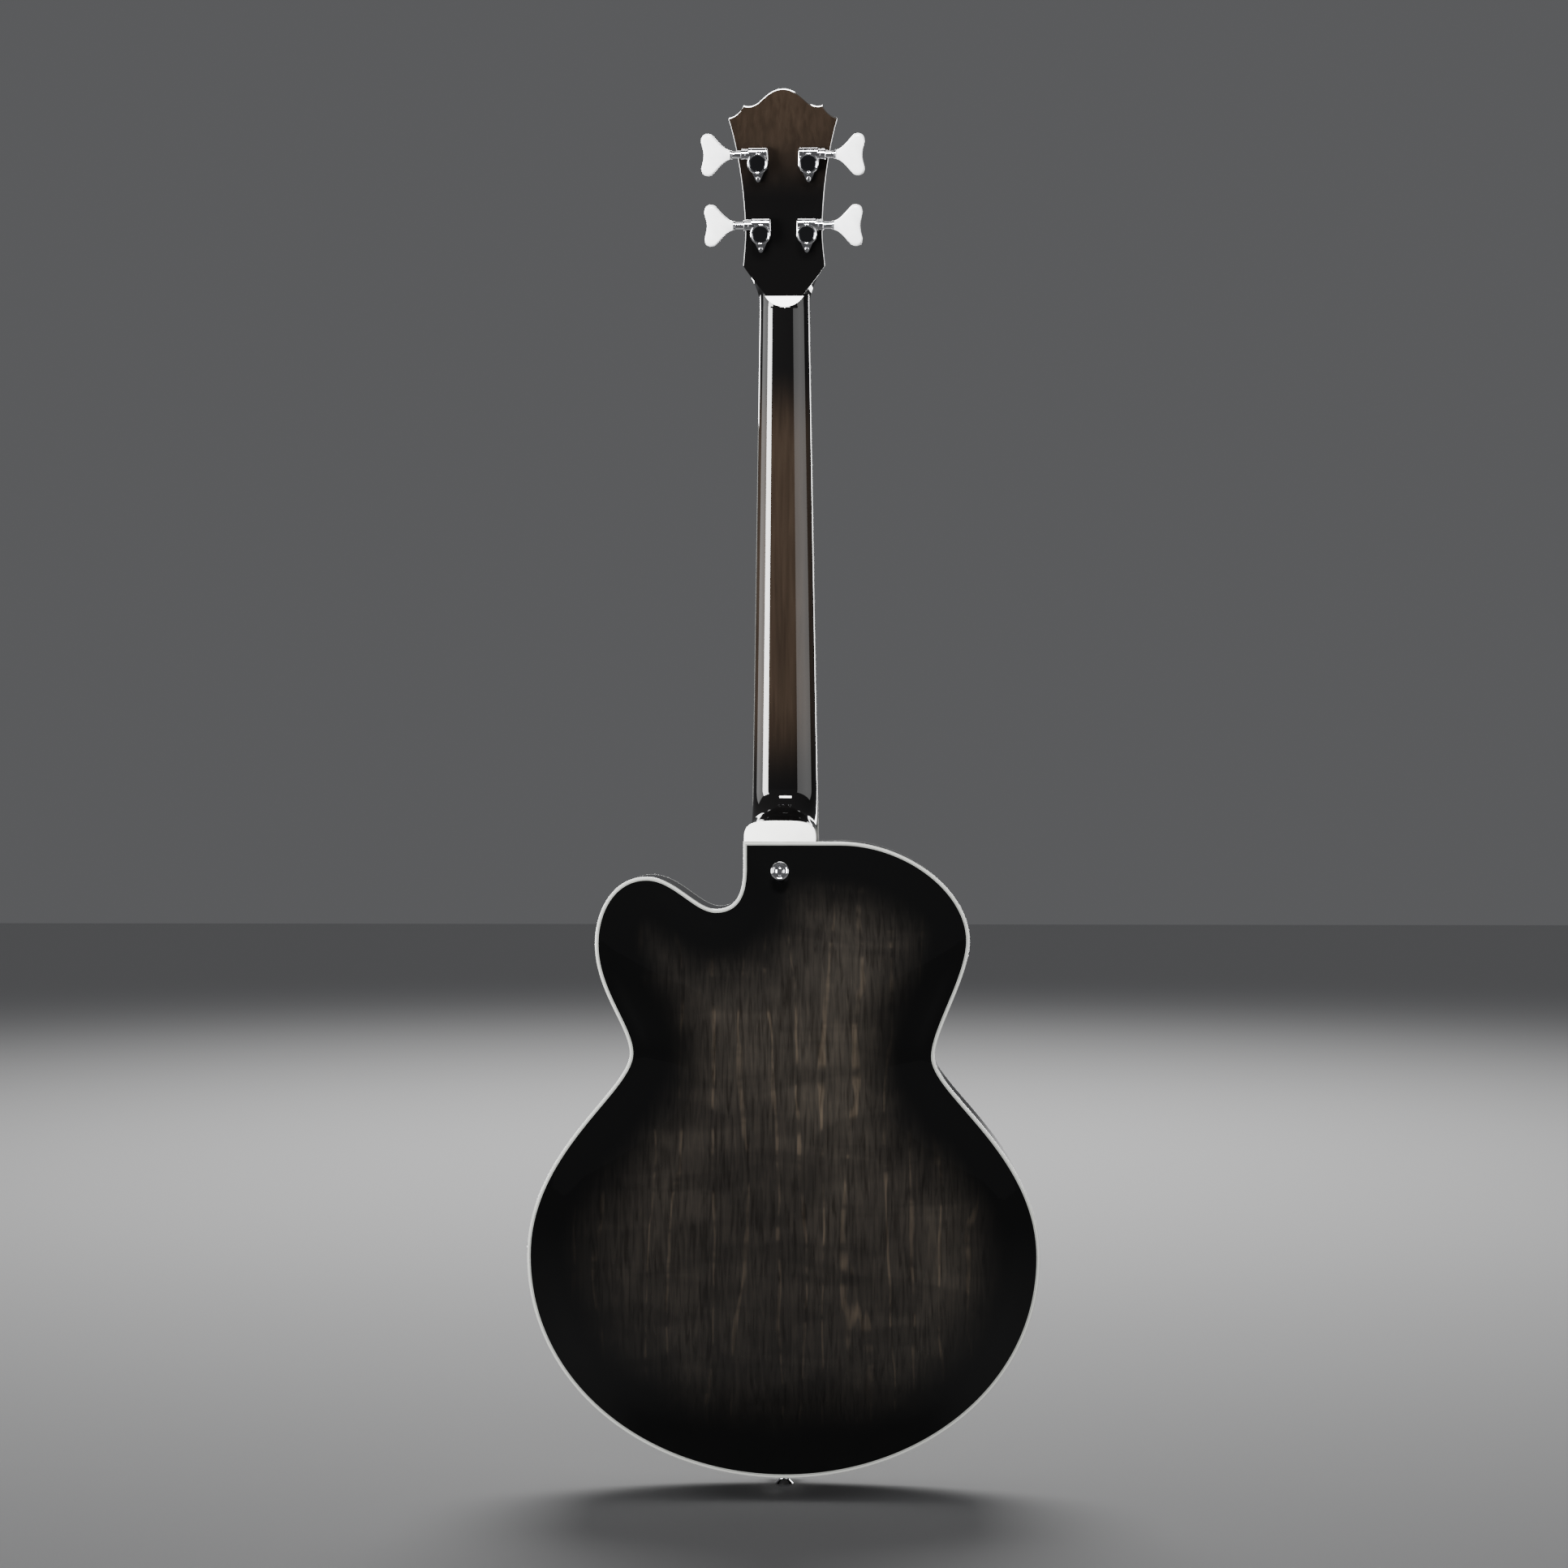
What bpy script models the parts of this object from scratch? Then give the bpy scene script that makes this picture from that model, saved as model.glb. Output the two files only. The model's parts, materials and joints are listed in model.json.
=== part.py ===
"""Hollow-body bass guitar, modelled piece by piece in metres.

The origin is the front of the neck's glue plane at the nut. +Z runs up to the head, -Y faces the
player's audience (the strings' side) and +X is the treble side, where the cutaway is.
"""
import math

import bmesh
import bpy
from mathutils import Matrix, Vector

# Room left between pieces that touch, and how far a cutter or a joined form reaches past a face
SEAT = 0.0003
RUNNING = 0.0004
ARCH_SEAT = 0.0007
CUT_MARGIN = 0.015
EMBED = 0.0004

# Scale and neck
SCALE_LENGTH = 0.770
FRET_COUNT = 20
JOINT_FRET = 14
NECK_ANGLE = math.radians(3)
NUT_WIDTH = 0.040
NUT_THICKNESS = 0.005
NUT_CORNER = 0.001
BOARD_END_WIDTH = 0.0576
BOARD_THICKNESS = 0.006
BOARD_OVERRUN = 0.0085
BOARD_RADIUS = 0.305
BOARD_FACETS = 3
FRET_HEIGHT = 0.0011
FRET_WIDTH = 0.0024
NECK_DEPTH_NUT = 0.0155
NECK_DEPTH_HEEL = 0.0178
NECK_RISE = 0.008
NECK_ROUNDNESS = 2.3
NECK_UNDERCUT = 0.0002
NECK_STATIONS = 3
NECK_END_GAP = 0.003
TENON_WIDTH = 0.038
TENON_LENGTH = 0.055
TENON_DEPTH = 0.045
TENON_SET = 0.0045
ROD_WIDTH = 0.006
ROD_FRONT = 0.0008
ROD_BACK = 0.0090
ROD_END_GAP = 0.030

# Heel
HEEL_FLUSH = 0.0006
HEEL_BASS = 0.0259
HEEL_HEIGHT = 0.0166
HEEL_SWEEP = 0.040
HEEL_NARROWING = 0.0015
HEEL_LEVELS = 7
HEEL_ROUNDNESS = 3.6
HEEL_SOFTENING = 1.4
HEEL_FRONT = 0.0025
HEEL_FRONT_SHARE = 0.93
HEEL_CAP_THICKNESS = 0.0025
HEEL_CAP_EDGE = 0.0006

# Head
HEAD_ANGLE = math.radians(14)
HEAD_WOOD = 0.0112
HEAD_PLATE = 0.0020
HEAD_BINDING_WIDTH = 0.0016
HEAD_START = 0.0006
HEAD_BACK_START = 0.0078
HEAD_BACK_HALF = 0.0145
HEAD_SHOULDER = 0.0315
HEAD_SHOULDER_HALF = 0.0325
HEAD_WAIST = 0.060
HEAD_WAIST_HALF = 0.0304
HEAD_EAR = 0.1459
HEAD_EAR_HALF = 0.0427
HEAD_NOTCH = 0.1556
HEAD_NOTCH_HALF = 0.0310
HEAD_FLANK = 0.1588
HEAD_FLANK_HALF = 0.0180
HEAD_TOP = 0.1683
SCOOP_START = 0.0
SHAFT_IN_HEAD = 0.0115
ROD_WELL_HALF = 0.006
ROD_WELL_END = 0.024
ROD_WELL_DEPTH = 0.0035
COVER_START = 0.0050
COVER_BELLY = 0.0125
COVER_NECK = 0.023
COVER_TIP = 0.032
COVER_BELLY_HALF = 0.0095
COVER_NECK_HALF = 0.006
COVER_TIP_HALF = 0.0025
COVER_THICKNESS = 0.002

# Body outline from the front: heights go up from its lowest point, drops down from the neck joint
BODY_LENGTH = 0.4995
LOWER_HALF = 0.2015
LOWER_HEIGHT = 0.174
WAIST_HALF = 0.1190
WAIST_HEIGHT = 0.326
UPPER_HALF = 0.1465
UPPER_DROP = 0.0775
TREBLE_UPPER_HALF = 0.1480
TREBLE_UPPER_DROP = 0.0805
SHOULDER_FLAT = 0.045
HORN_REACH = 0.1074
HORN_DROP = 0.0277
CUTAWAY_REACH = 0.0527
CUTAWAY_DROP = 0.0530
CUTAWAY_WALL = 0.0312
CUTAWAY_WALL_DROP = 0.0201

# Body build
RIM_DEPTH = 0.068
RIM_WALL = 0.004
PLATE_THICKNESS = 0.005
TOP_ARCH = 0.013
BACK_ARCH = 0.011
BINDING_WIDTH = 0.0029
LINING_WIDTH = 0.006
LINING_HEIGHT = 0.012
SPINE_LOW = 0.150
SPINE_DROP = 0.1695
CROWN = 0.85
PLATE_RINGS = (0.0, 0.08, 0.20, 0.50, 1.0)
ARCH_POWER = 2.2
RECURVE_SHARE = 0.15
RECURVE_DEPTH = 0.5
BLOCK_LENGTH = 0.060
BLOCK_SIDE_ROOM = 0.0030
BLOCK_WALL_ROOM = 0.0007
TAIL_BLOCK_HALF = 0.022
TAIL_BLOCK_LENGTH = 0.022
TAIL_BLOCK_RISE = 0.0026
TONE_BAR_WIDTH = 0.008
TONE_BAR_HEIGHT = 0.012
TONE_BAR_BELOW = 0.0477
TONE_BAR_DROP = 0.1145
TONE_BAR_STATIONS = 8
TONE_BAR_END_SHARE = 0.35
FHOLE_X = 0.098
FHOLE_BELOW = 0.0577
FHOLE_ABOVE = 0.0773
FHOLE_WIDTH = 0.009
FHOLE_TIP_SHARE = 0.45
FHOLE_EYE = 0.0085
FHOLE_EYE_SHARE = 0.6
FHOLE_LEAN = 0.010
FHOLE_BEND = 0.006
FHOLE_STEPS = 10
FHOLE_NOTCH_HALF = 0.007
FHOLE_NOTCH_WIDTH = 0.002

# Strings
STRING_NAMES = ("e_string", "a_string", "d_string", "g_string")
STRING_RADII = (0.0013, 0.00105, 0.00083, 0.00057)
NUT_SPACING = 0.010
BRIDGE_SPACING = 0.018
TAIL_SPREAD = 0.95
NUT_ACTION = 0.0005
BRIDGE_ACTION = 0.0050
STRING_BEND = 0.0045
WRAP_TURNS = 2
WRAP_SIDES = 12
WRAP_GAP = 0.0005
WRAP_LEVEL = 0.0048

# Bridge and tailpiece
BRIDGE_FOOT_HALF = 0.070
BRIDGE_FOOT_WIDTH = 0.022
BRIDGE_FOOT_HEIGHT = 0.007
BRIDGE_FOOT_CREST = 0.7
BRIDGE_FOOT_FALL = 0.55
BRIDGE_FOOT_LEVEL = 0.6
BRIDGE_STATIONS = 8
BRIDGE_POST_X = 0.040
BRIDGE_POST_RADIUS = 0.0020
BRIDGE_POST_IN_FOOT = 0.002
BRIDGE_POST_IN_TOP = 0.0035
BRIDGE_HOLE_DEPTH = 0.0065
BRIDGE_TOP_HALF = 0.052
BRIDGE_TOP_WIDTH = 0.010
BRIDGE_TOP_HEIGHT = 0.0085
BRIDGE_TOP_END_DROP = 0.004
BRIDGE_TOP_EDGE = 0.0015
WHEEL_RADIUS = 0.0075
WHEEL_THICKNESS = 0.003
WHEEL_EDGE = 0.0005
TAIL_BAR_HEIGHT = 0.070
TAIL_BAR_HALF = 0.037
TAIL_BAR_WIDTH = 0.014
TAIL_BAR_DEPTH = 0.009
TAIL_BAR_RISE = 0.0075
TAIL_HINGE_HALF = 0.012
TAIL_KNUCKLE_HALF = 0.0066
TAIL_KNUCKLE_RADIUS = 0.0028
TAIL_LUG_GAP = 0.0006
TAIL_LUG_WIDTH = 0.0042
TAIL_PIN_RADIUS = 0.0012
TAIL_PIN_FORWARD = 0.006
TAIL_PIN_DROP = 0.0035
TAIL_PIN_OVERRUN = 0.0035
TAIL_FRAME = 0.003
TAIL_FOOT_HALF = 0.0022
TAIL_KNEE_FORWARD = 0.004
TAIL_KNEE_RISE = 0.006
TAIL_ARM_INSET = 0.004
TAIL_STRIP = 0.0014
TAIL_STRIP_BELOW_BUTTON = 0.012
STRAP_SCREW_HOLE = 0.003
STRING_ROOM = 0.0012

# Pickups
PICKUP_LENGTH = 0.069
PICKUP_WIDTH = 0.038
PICKUP_BELOW = 0.012
PICKUP_CORNER = 0.003
PICKUP_EDGE = 0.0012
PICKUP_EDGE_SHARE = 0.965
PICKUP_SIDE_ROOM = 0.0008
PICKUP_RING_END = 0.009
PICKUP_RING_SIDE = 0.005
PICKUP_RING_BEVEL = 0.001
PICKUP_RING_SHARE = 0.55
NECK_PICKUP_GAP = 0.0027
BRIDGE_PICKUP_GAP = 0.0293
STRING_CLEARANCE = 0.004
TONE_BAR_PICKUP_GAP = 0.0035

# Controls: knobs go in from the lower bout's side, the switch from the upper bout's
KNOB_RADIUS = 0.0125
KNOB_HEIGHT = 0.017
KNOB_SHOULDER = 0.002
KNOB_WAIST_SHARE = 0.86
KNOB_TOP_SHARE = 0.78
KNOB_HOLLOW = 0.0090
KNOB_HOLLOW_DEPTH = 0.0068
KNOB_CLEARANCE = 0.001
POT_RADIUS = 0.012
POT_DEPTH = 0.010
POT_SHAFT = 0.003
POT_BUSHING = 0.00475
POT_BUSHING_RISE = 0.0060
POT_NUT_RADIUS = 0.0070
POT_NUT_HEIGHT = 0.0028
CONTROL_SIDES = 12
VOLUME_INSET = 0.0585
VOLUME_RISE = 0.008
TONE_INSET = 0.0675
TONE_DROP = 0.056
SWITCH_INSET = 0.0445
SWITCH_DROP = 0.007
SWITCH_CAN_RADIUS = 0.0090
SWITCH_CAN_DEPTH = 0.022
SWITCH_NUT_RADIUS = 0.0075
SWITCH_NUT_HEIGHT = 0.0022
SWITCH_BORE = 0.0036
SWITCH_BORE_DEPTH = 0.0100
SWITCH_LIP = 0.0030
SWITCH_PIVOT = 0.0022
SWITCH_BALL = 0.0029
SWITCH_LEVER_RADIUS = 0.0014
SWITCH_LEVER_LENGTH = 0.0185
SWITCH_LEVER_TAIL = 0.0060
SWITCH_TIP_RADIUS = 0.0032
SWITCH_TIP_START = 0.0105
JACK_BORE = 0.0033
JACK_NUT = 0.0075
JACK_NUT_FACE = 0.0035
JACK_NUT_SEAT = 0.0008
JACK_THREAD = 0.0057
JACK_FLANGE = 0.0085
JACK_DEPTH = 0.022
JACK_SEAT = 0.0018

# Strap buttons
BUTTON_RADIUS = 0.00725
BUTTON_FOOT = 0.0062
BUTTON_NECK = 0.0038
BUTTON_NECK_LOW = 0.0035
BUTTON_NECK_HIGH = 0.0075
BUTTON_HEIGHT = 0.0125
BUTTON_LIP = 0.0012
BUTTON_SCREW = 0.0042
BUTTON_SIDES = 12
HEEL_BUTTON_X = 0.002
HEEL_BUTTON_DROP = 0.0242

# Tuning machines, in the head's plane: half the distance across, distance from the nut
TUNER_PLACES = ((0.0183, 0.0574), (0.0200, 0.1123))
HOUSING_HALF = 0.0079
HOUSING_HEIGHT = 0.0082
HOUSING_BASE = 0.0030
HOUSING_CORNER = 0.0012
HOUSING_RING = 0.00825
HOUSING_EDGE = 0.0007
HOUSING_ABOVE_WORM = 0.0056
HOUSING_LUG = 0.0151
HOUSING_LUG_TIP = 0.0016
WORM_OFFSET = 0.0065
WORM_LIFT = 0.0053
WORM_BAR_HALF = 0.0050
WORM_BAR_BELOW = 0.0061
WORM_BORE = 0.0031
WORM_END = 0.0058
WORM_NECK = 0.0040
GEAR_MODULE = 0.0004
GEAR_TEETH = 20
GEAR_FACE = 0.0022
GEAR_ADDENDUM = 0.85
GEAR_DEDENDUM = 1.1
GEAR_LAND = 0.28
GEAR_FOOT = 0.75
WORM_TURNS = 3
WORM_COLUMNS = 10
WORM_PHASE = 0.75
MESH_BACKLASH = 0.00036
COLLAR_RADIUS = 0.0041
COLLAR_END = 0.0134
SHAFT_RADIUS = 0.0027
FERRULE_RADIUS = 0.0035
FERRULE_LENGTH = 0.0015
BUTTON_START = 0.022
BUTTON_END = 0.0445
BUTTON_STEM = 0.0034
BUTTON_STEM_DEPTH = 0.0068
BUTTON_STEM_LENGTH = 0.010
BUTTON_LOBE = 0.0085
BUTTON_DISH = 0.0022
TUNER_BUTTON_SPAN = 0.0318
TUNER_BUTTON_THICKNESS = 0.0085
TUNER_BUTTON_EDGE = 0.84
POST_RADIUS = 0.0048
POST_LIP = 0.0006
POST_SHANK = 0.0040
POST_CLEARANCE = 0.0008
POST_RISE = 0.019
POST_TOP = 0.0040
BUSHING_RADIUS = 0.0062
BUSHING_FLANGE = 0.0082
BUSHING_RISE = 0.0020
TUNER_SIDES = 12
BARREL_SIDES = 16
POST_SIDES = 10

CUTAWAY_HEEL = CUTAWAY_WALL - HEEL_FLUSH
RIM_MIDDLE = RIM_DEPTH / 2
JOINT_DISTANCE = SCALE_LENGTH * (1 - 2 ** (-JOINT_FRET / 12))
BOARD_LENGTH = SCALE_LENGTH * (1 - 2 ** (-FRET_COUNT / 12)) + BOARD_OVERRUN
BODY_TOP_Z = -JOINT_DISTANCE * math.cos(NECK_ANGLE)
BODY_FRONT_Y = -JOINT_DISTANCE * math.sin(NECK_ANGLE) + NECK_RISE
HOUSING_TOP = WORM_OFFSET + HOUSING_ABOVE_WORM
GEAR_RADIUS = GEAR_MODULE * GEAR_TEETH / 2
GEAR_TIP = GEAR_RADIUS + GEAR_MODULE * GEAR_ADDENDUM
HEAD_FRONT = -(SEAT + HEAD_PLATE)

NECK_FRAME = Matrix.Rotation(-NECK_ANGLE, 4, "X")
HEAD_FRAME = NECK_FRAME @ Matrix.Translation((0, 0, NUT_THICKNESS)) @ Matrix.Rotation(-HEAD_ANGLE, 4, "X")
BODY_FRAME = Matrix.Translation((0, BODY_FRONT_Y, BODY_TOP_Z - BODY_LENGTH))


def material(name, colour, roughness, metallic=0.0):
    """A plain Principled material."""
    mat = bpy.data.materials.get(name) or bpy.data.materials.new(name)
    mat.use_nodes = True
    shader = mat.node_tree.nodes["Principled BSDF"]
    shader.inputs["Base Color"].default_value = (*colour, 1)
    shader.inputs["Roughness"].default_value = roughness
    shader.inputs["Metallic"].default_value = metallic
    mat.diffuse_color = (*colour, 1)
    return mat


def put(name, bm, mat, frame):
    """Turn a bmesh built in a frame's own coordinates into a named object, or into a hidden guide."""
    bmesh.ops.recalc_face_normals(bm, faces=bm.faces)
    mesh = bpy.data.meshes.new(name)
    bm.to_mesh(mesh)
    bm.free()
    mesh.shade_smooth()
    mesh.set_sharp_from_angle(angle=math.radians(35))
    obj = bpy.data.objects.new(name, mesh)
    bpy.context.scene.collection.objects.link(obj)
    obj.matrix_world = frame
    if mat is None:
        obj.hide_render = True
        obj.display_type = "WIRE"
    else:
        mesh.materials.append(mat)
    return obj


def boolean(target, other, operation):
    """Join or cut one object by another, which is then a guide."""
    mod = target.modifiers.new(other.name, "BOOLEAN")
    mod.operation = operation
    mod.solver = "EXACT"
    mod.object = other


def cut(targets, name, bm, frame):
    """Cut one form out of several objects."""
    guide = put(name, bm, None, frame)
    for target in targets:
        boolean(target, guide, "DIFFERENCE")


def join(target, name, bm, frame):
    """Join one form to an object."""
    boolean(target, put(name, bm, None, frame), "UNION")


def loft(rings, wrap=False):
    """Skin a row of rings with equal counts; the ends are capped, or joined to each other by wrap."""
    bm = bmesh.new()
    rows = [[bm.verts.new(point) for point in ring] for ring in rings]
    pairs = list(zip(rows, rows[1:]))
    if wrap:
        pairs.append((rows[-1], rows[0]))
    for lower, upper in pairs:
        count = len(lower)
        for i in range(count):
            j = (i + 1) % count
            bm.faces.new((lower[i], lower[j], upper[j], upper[i]))
    if not wrap:
        bm.faces.new(rows[0])
        bm.faces.new(rows[-1])
    return bm


def prism(outline, y_front, y_back):
    """Extrude an (x, z) outline along y."""
    return loft([[(x, y, z) for x, z in outline] for y in (y_front, y_back)])


def band(outer, inner, y_front, y_back):
    """A closed strip between two (x, z) outlines."""
    rings = [[(x, y_front, z) for x, z in outer], [(x, y_back, z) for x, z in outer],
             [(x, y_back, z) for x, z in inner], [(x, y_front, z) for x, z in inner]]
    return loft(rings, wrap=True)


def box(low, high):
    """A box between two corners."""
    outline = ((low[0], low[2]), (high[0], low[2]), (high[0], high[2]), (low[0], high[2]))
    return prism(outline, low[1], high[1])


def circle(radius, sides, centre=(0, 0)):
    """Points round a circle."""
    steps = (math.tau * i / sides for i in range(sides))
    return [(centre[0] + radius * math.cos(a), centre[1] + radius * math.sin(a)) for a in steps]


def turned(profile, sides, axis="y", centre=(0, 0), wrap=False):
    """Turn a profile of (radius, height) pairs about an axis through centre."""
    rings = []
    for radius, height in profile:
        points = circle(radius, sides, centre)
        if axis == "y":
            rings.append([(x, height, z) for x, z in points])
        elif axis == "x":
            rings.append([(height, x, z) for x, z in points])
        else:
            rings.append([(x, y, height) for x, y in points])
    return loft(rings, wrap)


def rod(radius, low, high, sides, axis="y", centre=(0, 0)):
    """A plain cylinder along an axis."""
    return turned([(radius, low), (radius, high)], sides, axis, centre)


def bezier(start, start_handle, end_handle, end, steps):
    """Points along a cubic, without its last one."""
    points = []
    for i in range(steps):
        t = i / steps
        u = 1 - t
        weights = (u ** 3, 3 * u * u * t, 3 * u * t * t, t ** 3)
        knots = (start, start_handle, end_handle, end)
        points.append(tuple(sum(w * knot[k] for w, knot in zip(weights, knots)) for k in (0, 1)))
    return points


def span(start, end, out_share, in_share, steps):
    """A curve between two knots (x, z, heading) whose handles are shares of the distance between them."""
    distance = math.dist(start[:2], end[:2])
    first = math.radians(start[2])
    last = math.radians(end[2])
    out = out_share * distance
    back = in_share * distance
    start_handle = (start[0] + out * math.cos(first), start[1] + out * math.sin(first))
    end_handle = (end[0] - back * math.cos(last), end[1] - back * math.sin(last))
    return bezier(start, start_handle, end_handle, end, steps)


def inset(outline, distance):
    """Move every side of an outline inwards; the outline runs anticlockwise in (x, z)."""
    moved = []
    count = len(outline)
    for i in range(count):
        before = Vector(outline[i]) - Vector(outline[i - 1])
        after = Vector(outline[(i + 1) % count]) - Vector(outline[i])
        normal_before = Vector((-before.y, before.x)).normalized()
        normal_after = Vector((-after.y, after.x)).normalized()
        middle = normal_before + normal_after
        moved.append(tuple(Vector(outline[i]) + middle * (distance * 2 / middle.length_squared)))
    return moved


def body_outline():
    """The body's edge, from the bass side of the neck down, round and up to the cutaway's corner."""
    shoulder = (-SHOULDER_FLAT, BODY_LENGTH, 180)
    bass_upper = (-UPPER_HALF, BODY_LENGTH - UPPER_DROP, 270)
    bass_waist = (-WAIST_HALF, WAIST_HEIGHT, 270)
    bass_lower = (-LOWER_HALF, LOWER_HEIGHT, 270)
    tail = (0, 0, 0)
    treble_lower = (LOWER_HALF, LOWER_HEIGHT, 90)
    treble_waist = (WAIST_HALF, WAIST_HEIGHT, 90)
    treble_upper = (TREBLE_UPPER_HALF, BODY_LENGTH - TREBLE_UPPER_DROP, 90)
    horn = (HORN_REACH, BODY_LENGTH - HORN_DROP, 180)
    cutaway = (CUTAWAY_REACH, BODY_LENGTH - CUTAWAY_DROP, 180)
    wall = (CUTAWAY_WALL, BODY_LENGTH - CUTAWAY_WALL_DROP, 90)
    points = span(shoulder, bass_upper, 0.41, 0.31, 6)
    points += span(bass_upper, bass_waist, 0.30, 0.25, 4)
    points += span(bass_waist, bass_lower, 0.08, 0.46, 5)
    points += span(bass_lower, tail, 0.39, 0.40, 8)
    points += span(tail, treble_lower, 0.40, 0.39, 8)
    points += span(treble_lower, treble_waist, 0.46, 0.08, 5)
    points += span(treble_waist, treble_upper, 0.26, 0.41, 4)
    points += span(treble_upper, horn, 0.41, 0.39, 4)
    points += span(horn, cutaway, 0.37, 0.26, 4)
    points += span(cutaway, wall, 0.45, 0.45, 3)
    points += [wall[:2], (CUTAWAY_WALL, BODY_LENGTH)]
    return points


def spine_point(z):
    """The nearest point of the arch's level middle line."""
    return 0.0, min(max(z, SPINE_LOW), BODY_LENGTH - SPINE_DROP)


def arch_share(along):
    """Share of the full arch at a share of the way from the edge to the crown."""
    rise = 1 - (1 - along) ** ARCH_POWER
    recurve = min(along / RECURVE_SHARE, 1.0)
    return rise * (1 - RECURVE_DEPTH + RECURVE_DEPTH * recurve * recurve * (3 - 2 * recurve))


def faceted_share(along):
    """The arch as the plate's straight facets give it between two of its rings."""
    along = min(max(along, 0.0), 1.0)
    for low, high in zip(PLATE_RINGS, PLATE_RINGS[1:]):
        if along <= high:
            part = (along - low) / (high - low)
            return arch_share(low) + (arch_share(high) - arch_share(low)) * part
    return 1.0


def way_in(x, z, edge):
    """How far (x, z) lies from the edge towards the spine, 0 to 1."""
    sx, sz = spine_point(z)
    dx, dz = x - sx, z - sz
    if math.hypot(dx, dz) < 1e-6:
        return 1.0
    best = None
    for i in range(len(edge)):
        ax, az = edge[i - 1]
        bx, bz = edge[i]
        ex, ez = bx - ax, bz - az
        cross = dx * ez - dz * ex
        if abs(cross) < 1e-12:
            continue
        ray = ((ax - sx) * ez - (az - sz) * ex) / cross
        side = ((ax - sx) * dz - (az - sz) * dx) / cross
        if ray > 0 and -1e-9 <= side <= 1 + 1e-9:
            best = ray if best is None else min(best, ray)
    return 1 - 1 / best


def front_y(x, z, edge):
    """The top's outer surface in the body frame."""
    return -TOP_ARCH * faceted_share(way_in(x, z, edge) / CROWN)


def back_y(x, z, edge):
    """The back's outer surface in the body frame."""
    return RIM_DEPTH + BACK_ARCH * faceted_share(way_in(x, z, edge) / CROWN)


def plate(edge, level, arch, thickness):
    """An arched plate: level is its edge's outer face, arch its signed rise, thickness its signed wall."""
    outer = []
    for ring in PLATE_RINGS:
        share = ring * CROWN
        row = []
        for x, z in edge:
            sx, sz = spine_point(z)
            row.append((x + share * (sx - x), level + arch * arch_share(ring), z + share * (sz - z)))
        outer.append(row)
    inner = [[(x, y + thickness, z) for x, y, z in row] for row in outer]
    return loft(inner[::-1] + outer)


def surface_frame(x, z, surface, edge):
    """A frame on an arched surface whose local -Y (top) or +Y (back) points out of it."""
    step = 0.004
    height = surface(x, z, edge)
    slope_x = (surface(x + step, z, edge) - surface(x - step, z, edge)) / (2 * step)
    slope_z = (surface(x, z + step, edge) - surface(x, z - step, edge)) / (2 * step)
    y_axis = Vector((-slope_x, 1, -slope_z)).normalized()
    z_axis = Vector((1, slope_x, 0)).cross(y_axis).normalized()
    x_axis = y_axis.cross(z_axis)
    rotation = Matrix((x_axis, y_axis, z_axis)).transposed().to_4x4()
    return BODY_FRAME @ Matrix.Translation((x, height, z)) @ rotation


def make_body(edge, finish):
    """Rim, plates, bindings, linings, blocks and tone bars."""
    outline = body_outline()
    under = PLATE_THICKNESS + SEAT
    lining_edge = inset(outline, RIM_WALL + SEAT)
    lining_inner = inset(lining_edge, LINING_WIDTH)
    binding_inner = inset(outline, BINDING_WIDTH)
    back_low = RIM_DEPTH - PLATE_THICKNESS
    back_under = RIM_DEPTH - under
    strips = {
        "rim": (outline, inset(outline, RIM_WALL), under, back_under, "wood"),
        "top_binding": (outline, binding_inner, 0, PLATE_THICKNESS, "cream"),
        "back_binding": (outline, binding_inner, back_low, RIM_DEPTH, "cream"),
        "top_lining": (lining_edge, lining_inner, under, under + LINING_HEIGHT, "pale"),
        "back_lining": (lining_edge, lining_inner, back_under - LINING_HEIGHT, back_under, "pale"),
    }
    made = {}
    for name, (outer, inner, y_front, y_back, colour) in strips.items():
        made[name] = put(name, band(outer, inner, y_front, y_back), finish[colour], BODY_FRAME)
    top = plate(edge, 0, -TOP_ARCH, PLATE_THICKNESS)
    made["top_plate"] = put("top_plate", top, finish["wood"], BODY_FRAME)
    put("back_plate", plate(edge, RIM_DEPTH, BACK_ARCH, -PLATE_THICKNESS), finish["wood"], BODY_FRAME)
    make_blocks(made, finish)
    make_tone_bars(edge, finish)
    return made


def make_blocks(made, finish):
    """The neck block, for which the linings stop, and the tail block between the linings."""
    under = PLATE_THICKNESS + SEAT
    top = BODY_LENGTH - RIM_WALL - SEAT
    low = (BLOCK_SIDE_ROOM - SHOULDER_FLAT, under, top - BLOCK_LENGTH)
    high = (CUTAWAY_WALL - RIM_WALL - BLOCK_WALL_ROOM, RIM_DEPTH - under, top)
    made["neck_block"] = put("neck_block", box(low, high), finish["inner_wood"], BODY_FRAME)
    room = box([value - SEAT for value in low], (high[0] + SEAT, high[1] + SEAT, BODY_LENGTH))
    cut((made["top_lining"], made["back_lining"]), "neck_block_room", room, BODY_FRAME)
    between = under + LINING_HEIGHT + SEAT
    foot = RIM_WALL + TAIL_BLOCK_RISE
    low = (-TAIL_BLOCK_HALF, between, foot)
    high = (TAIL_BLOCK_HALF, RIM_DEPTH - between, foot + TAIL_BLOCK_LENGTH)
    put("tail_block", box(low, high), finish["inner_wood"], BODY_FRAME)


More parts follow.
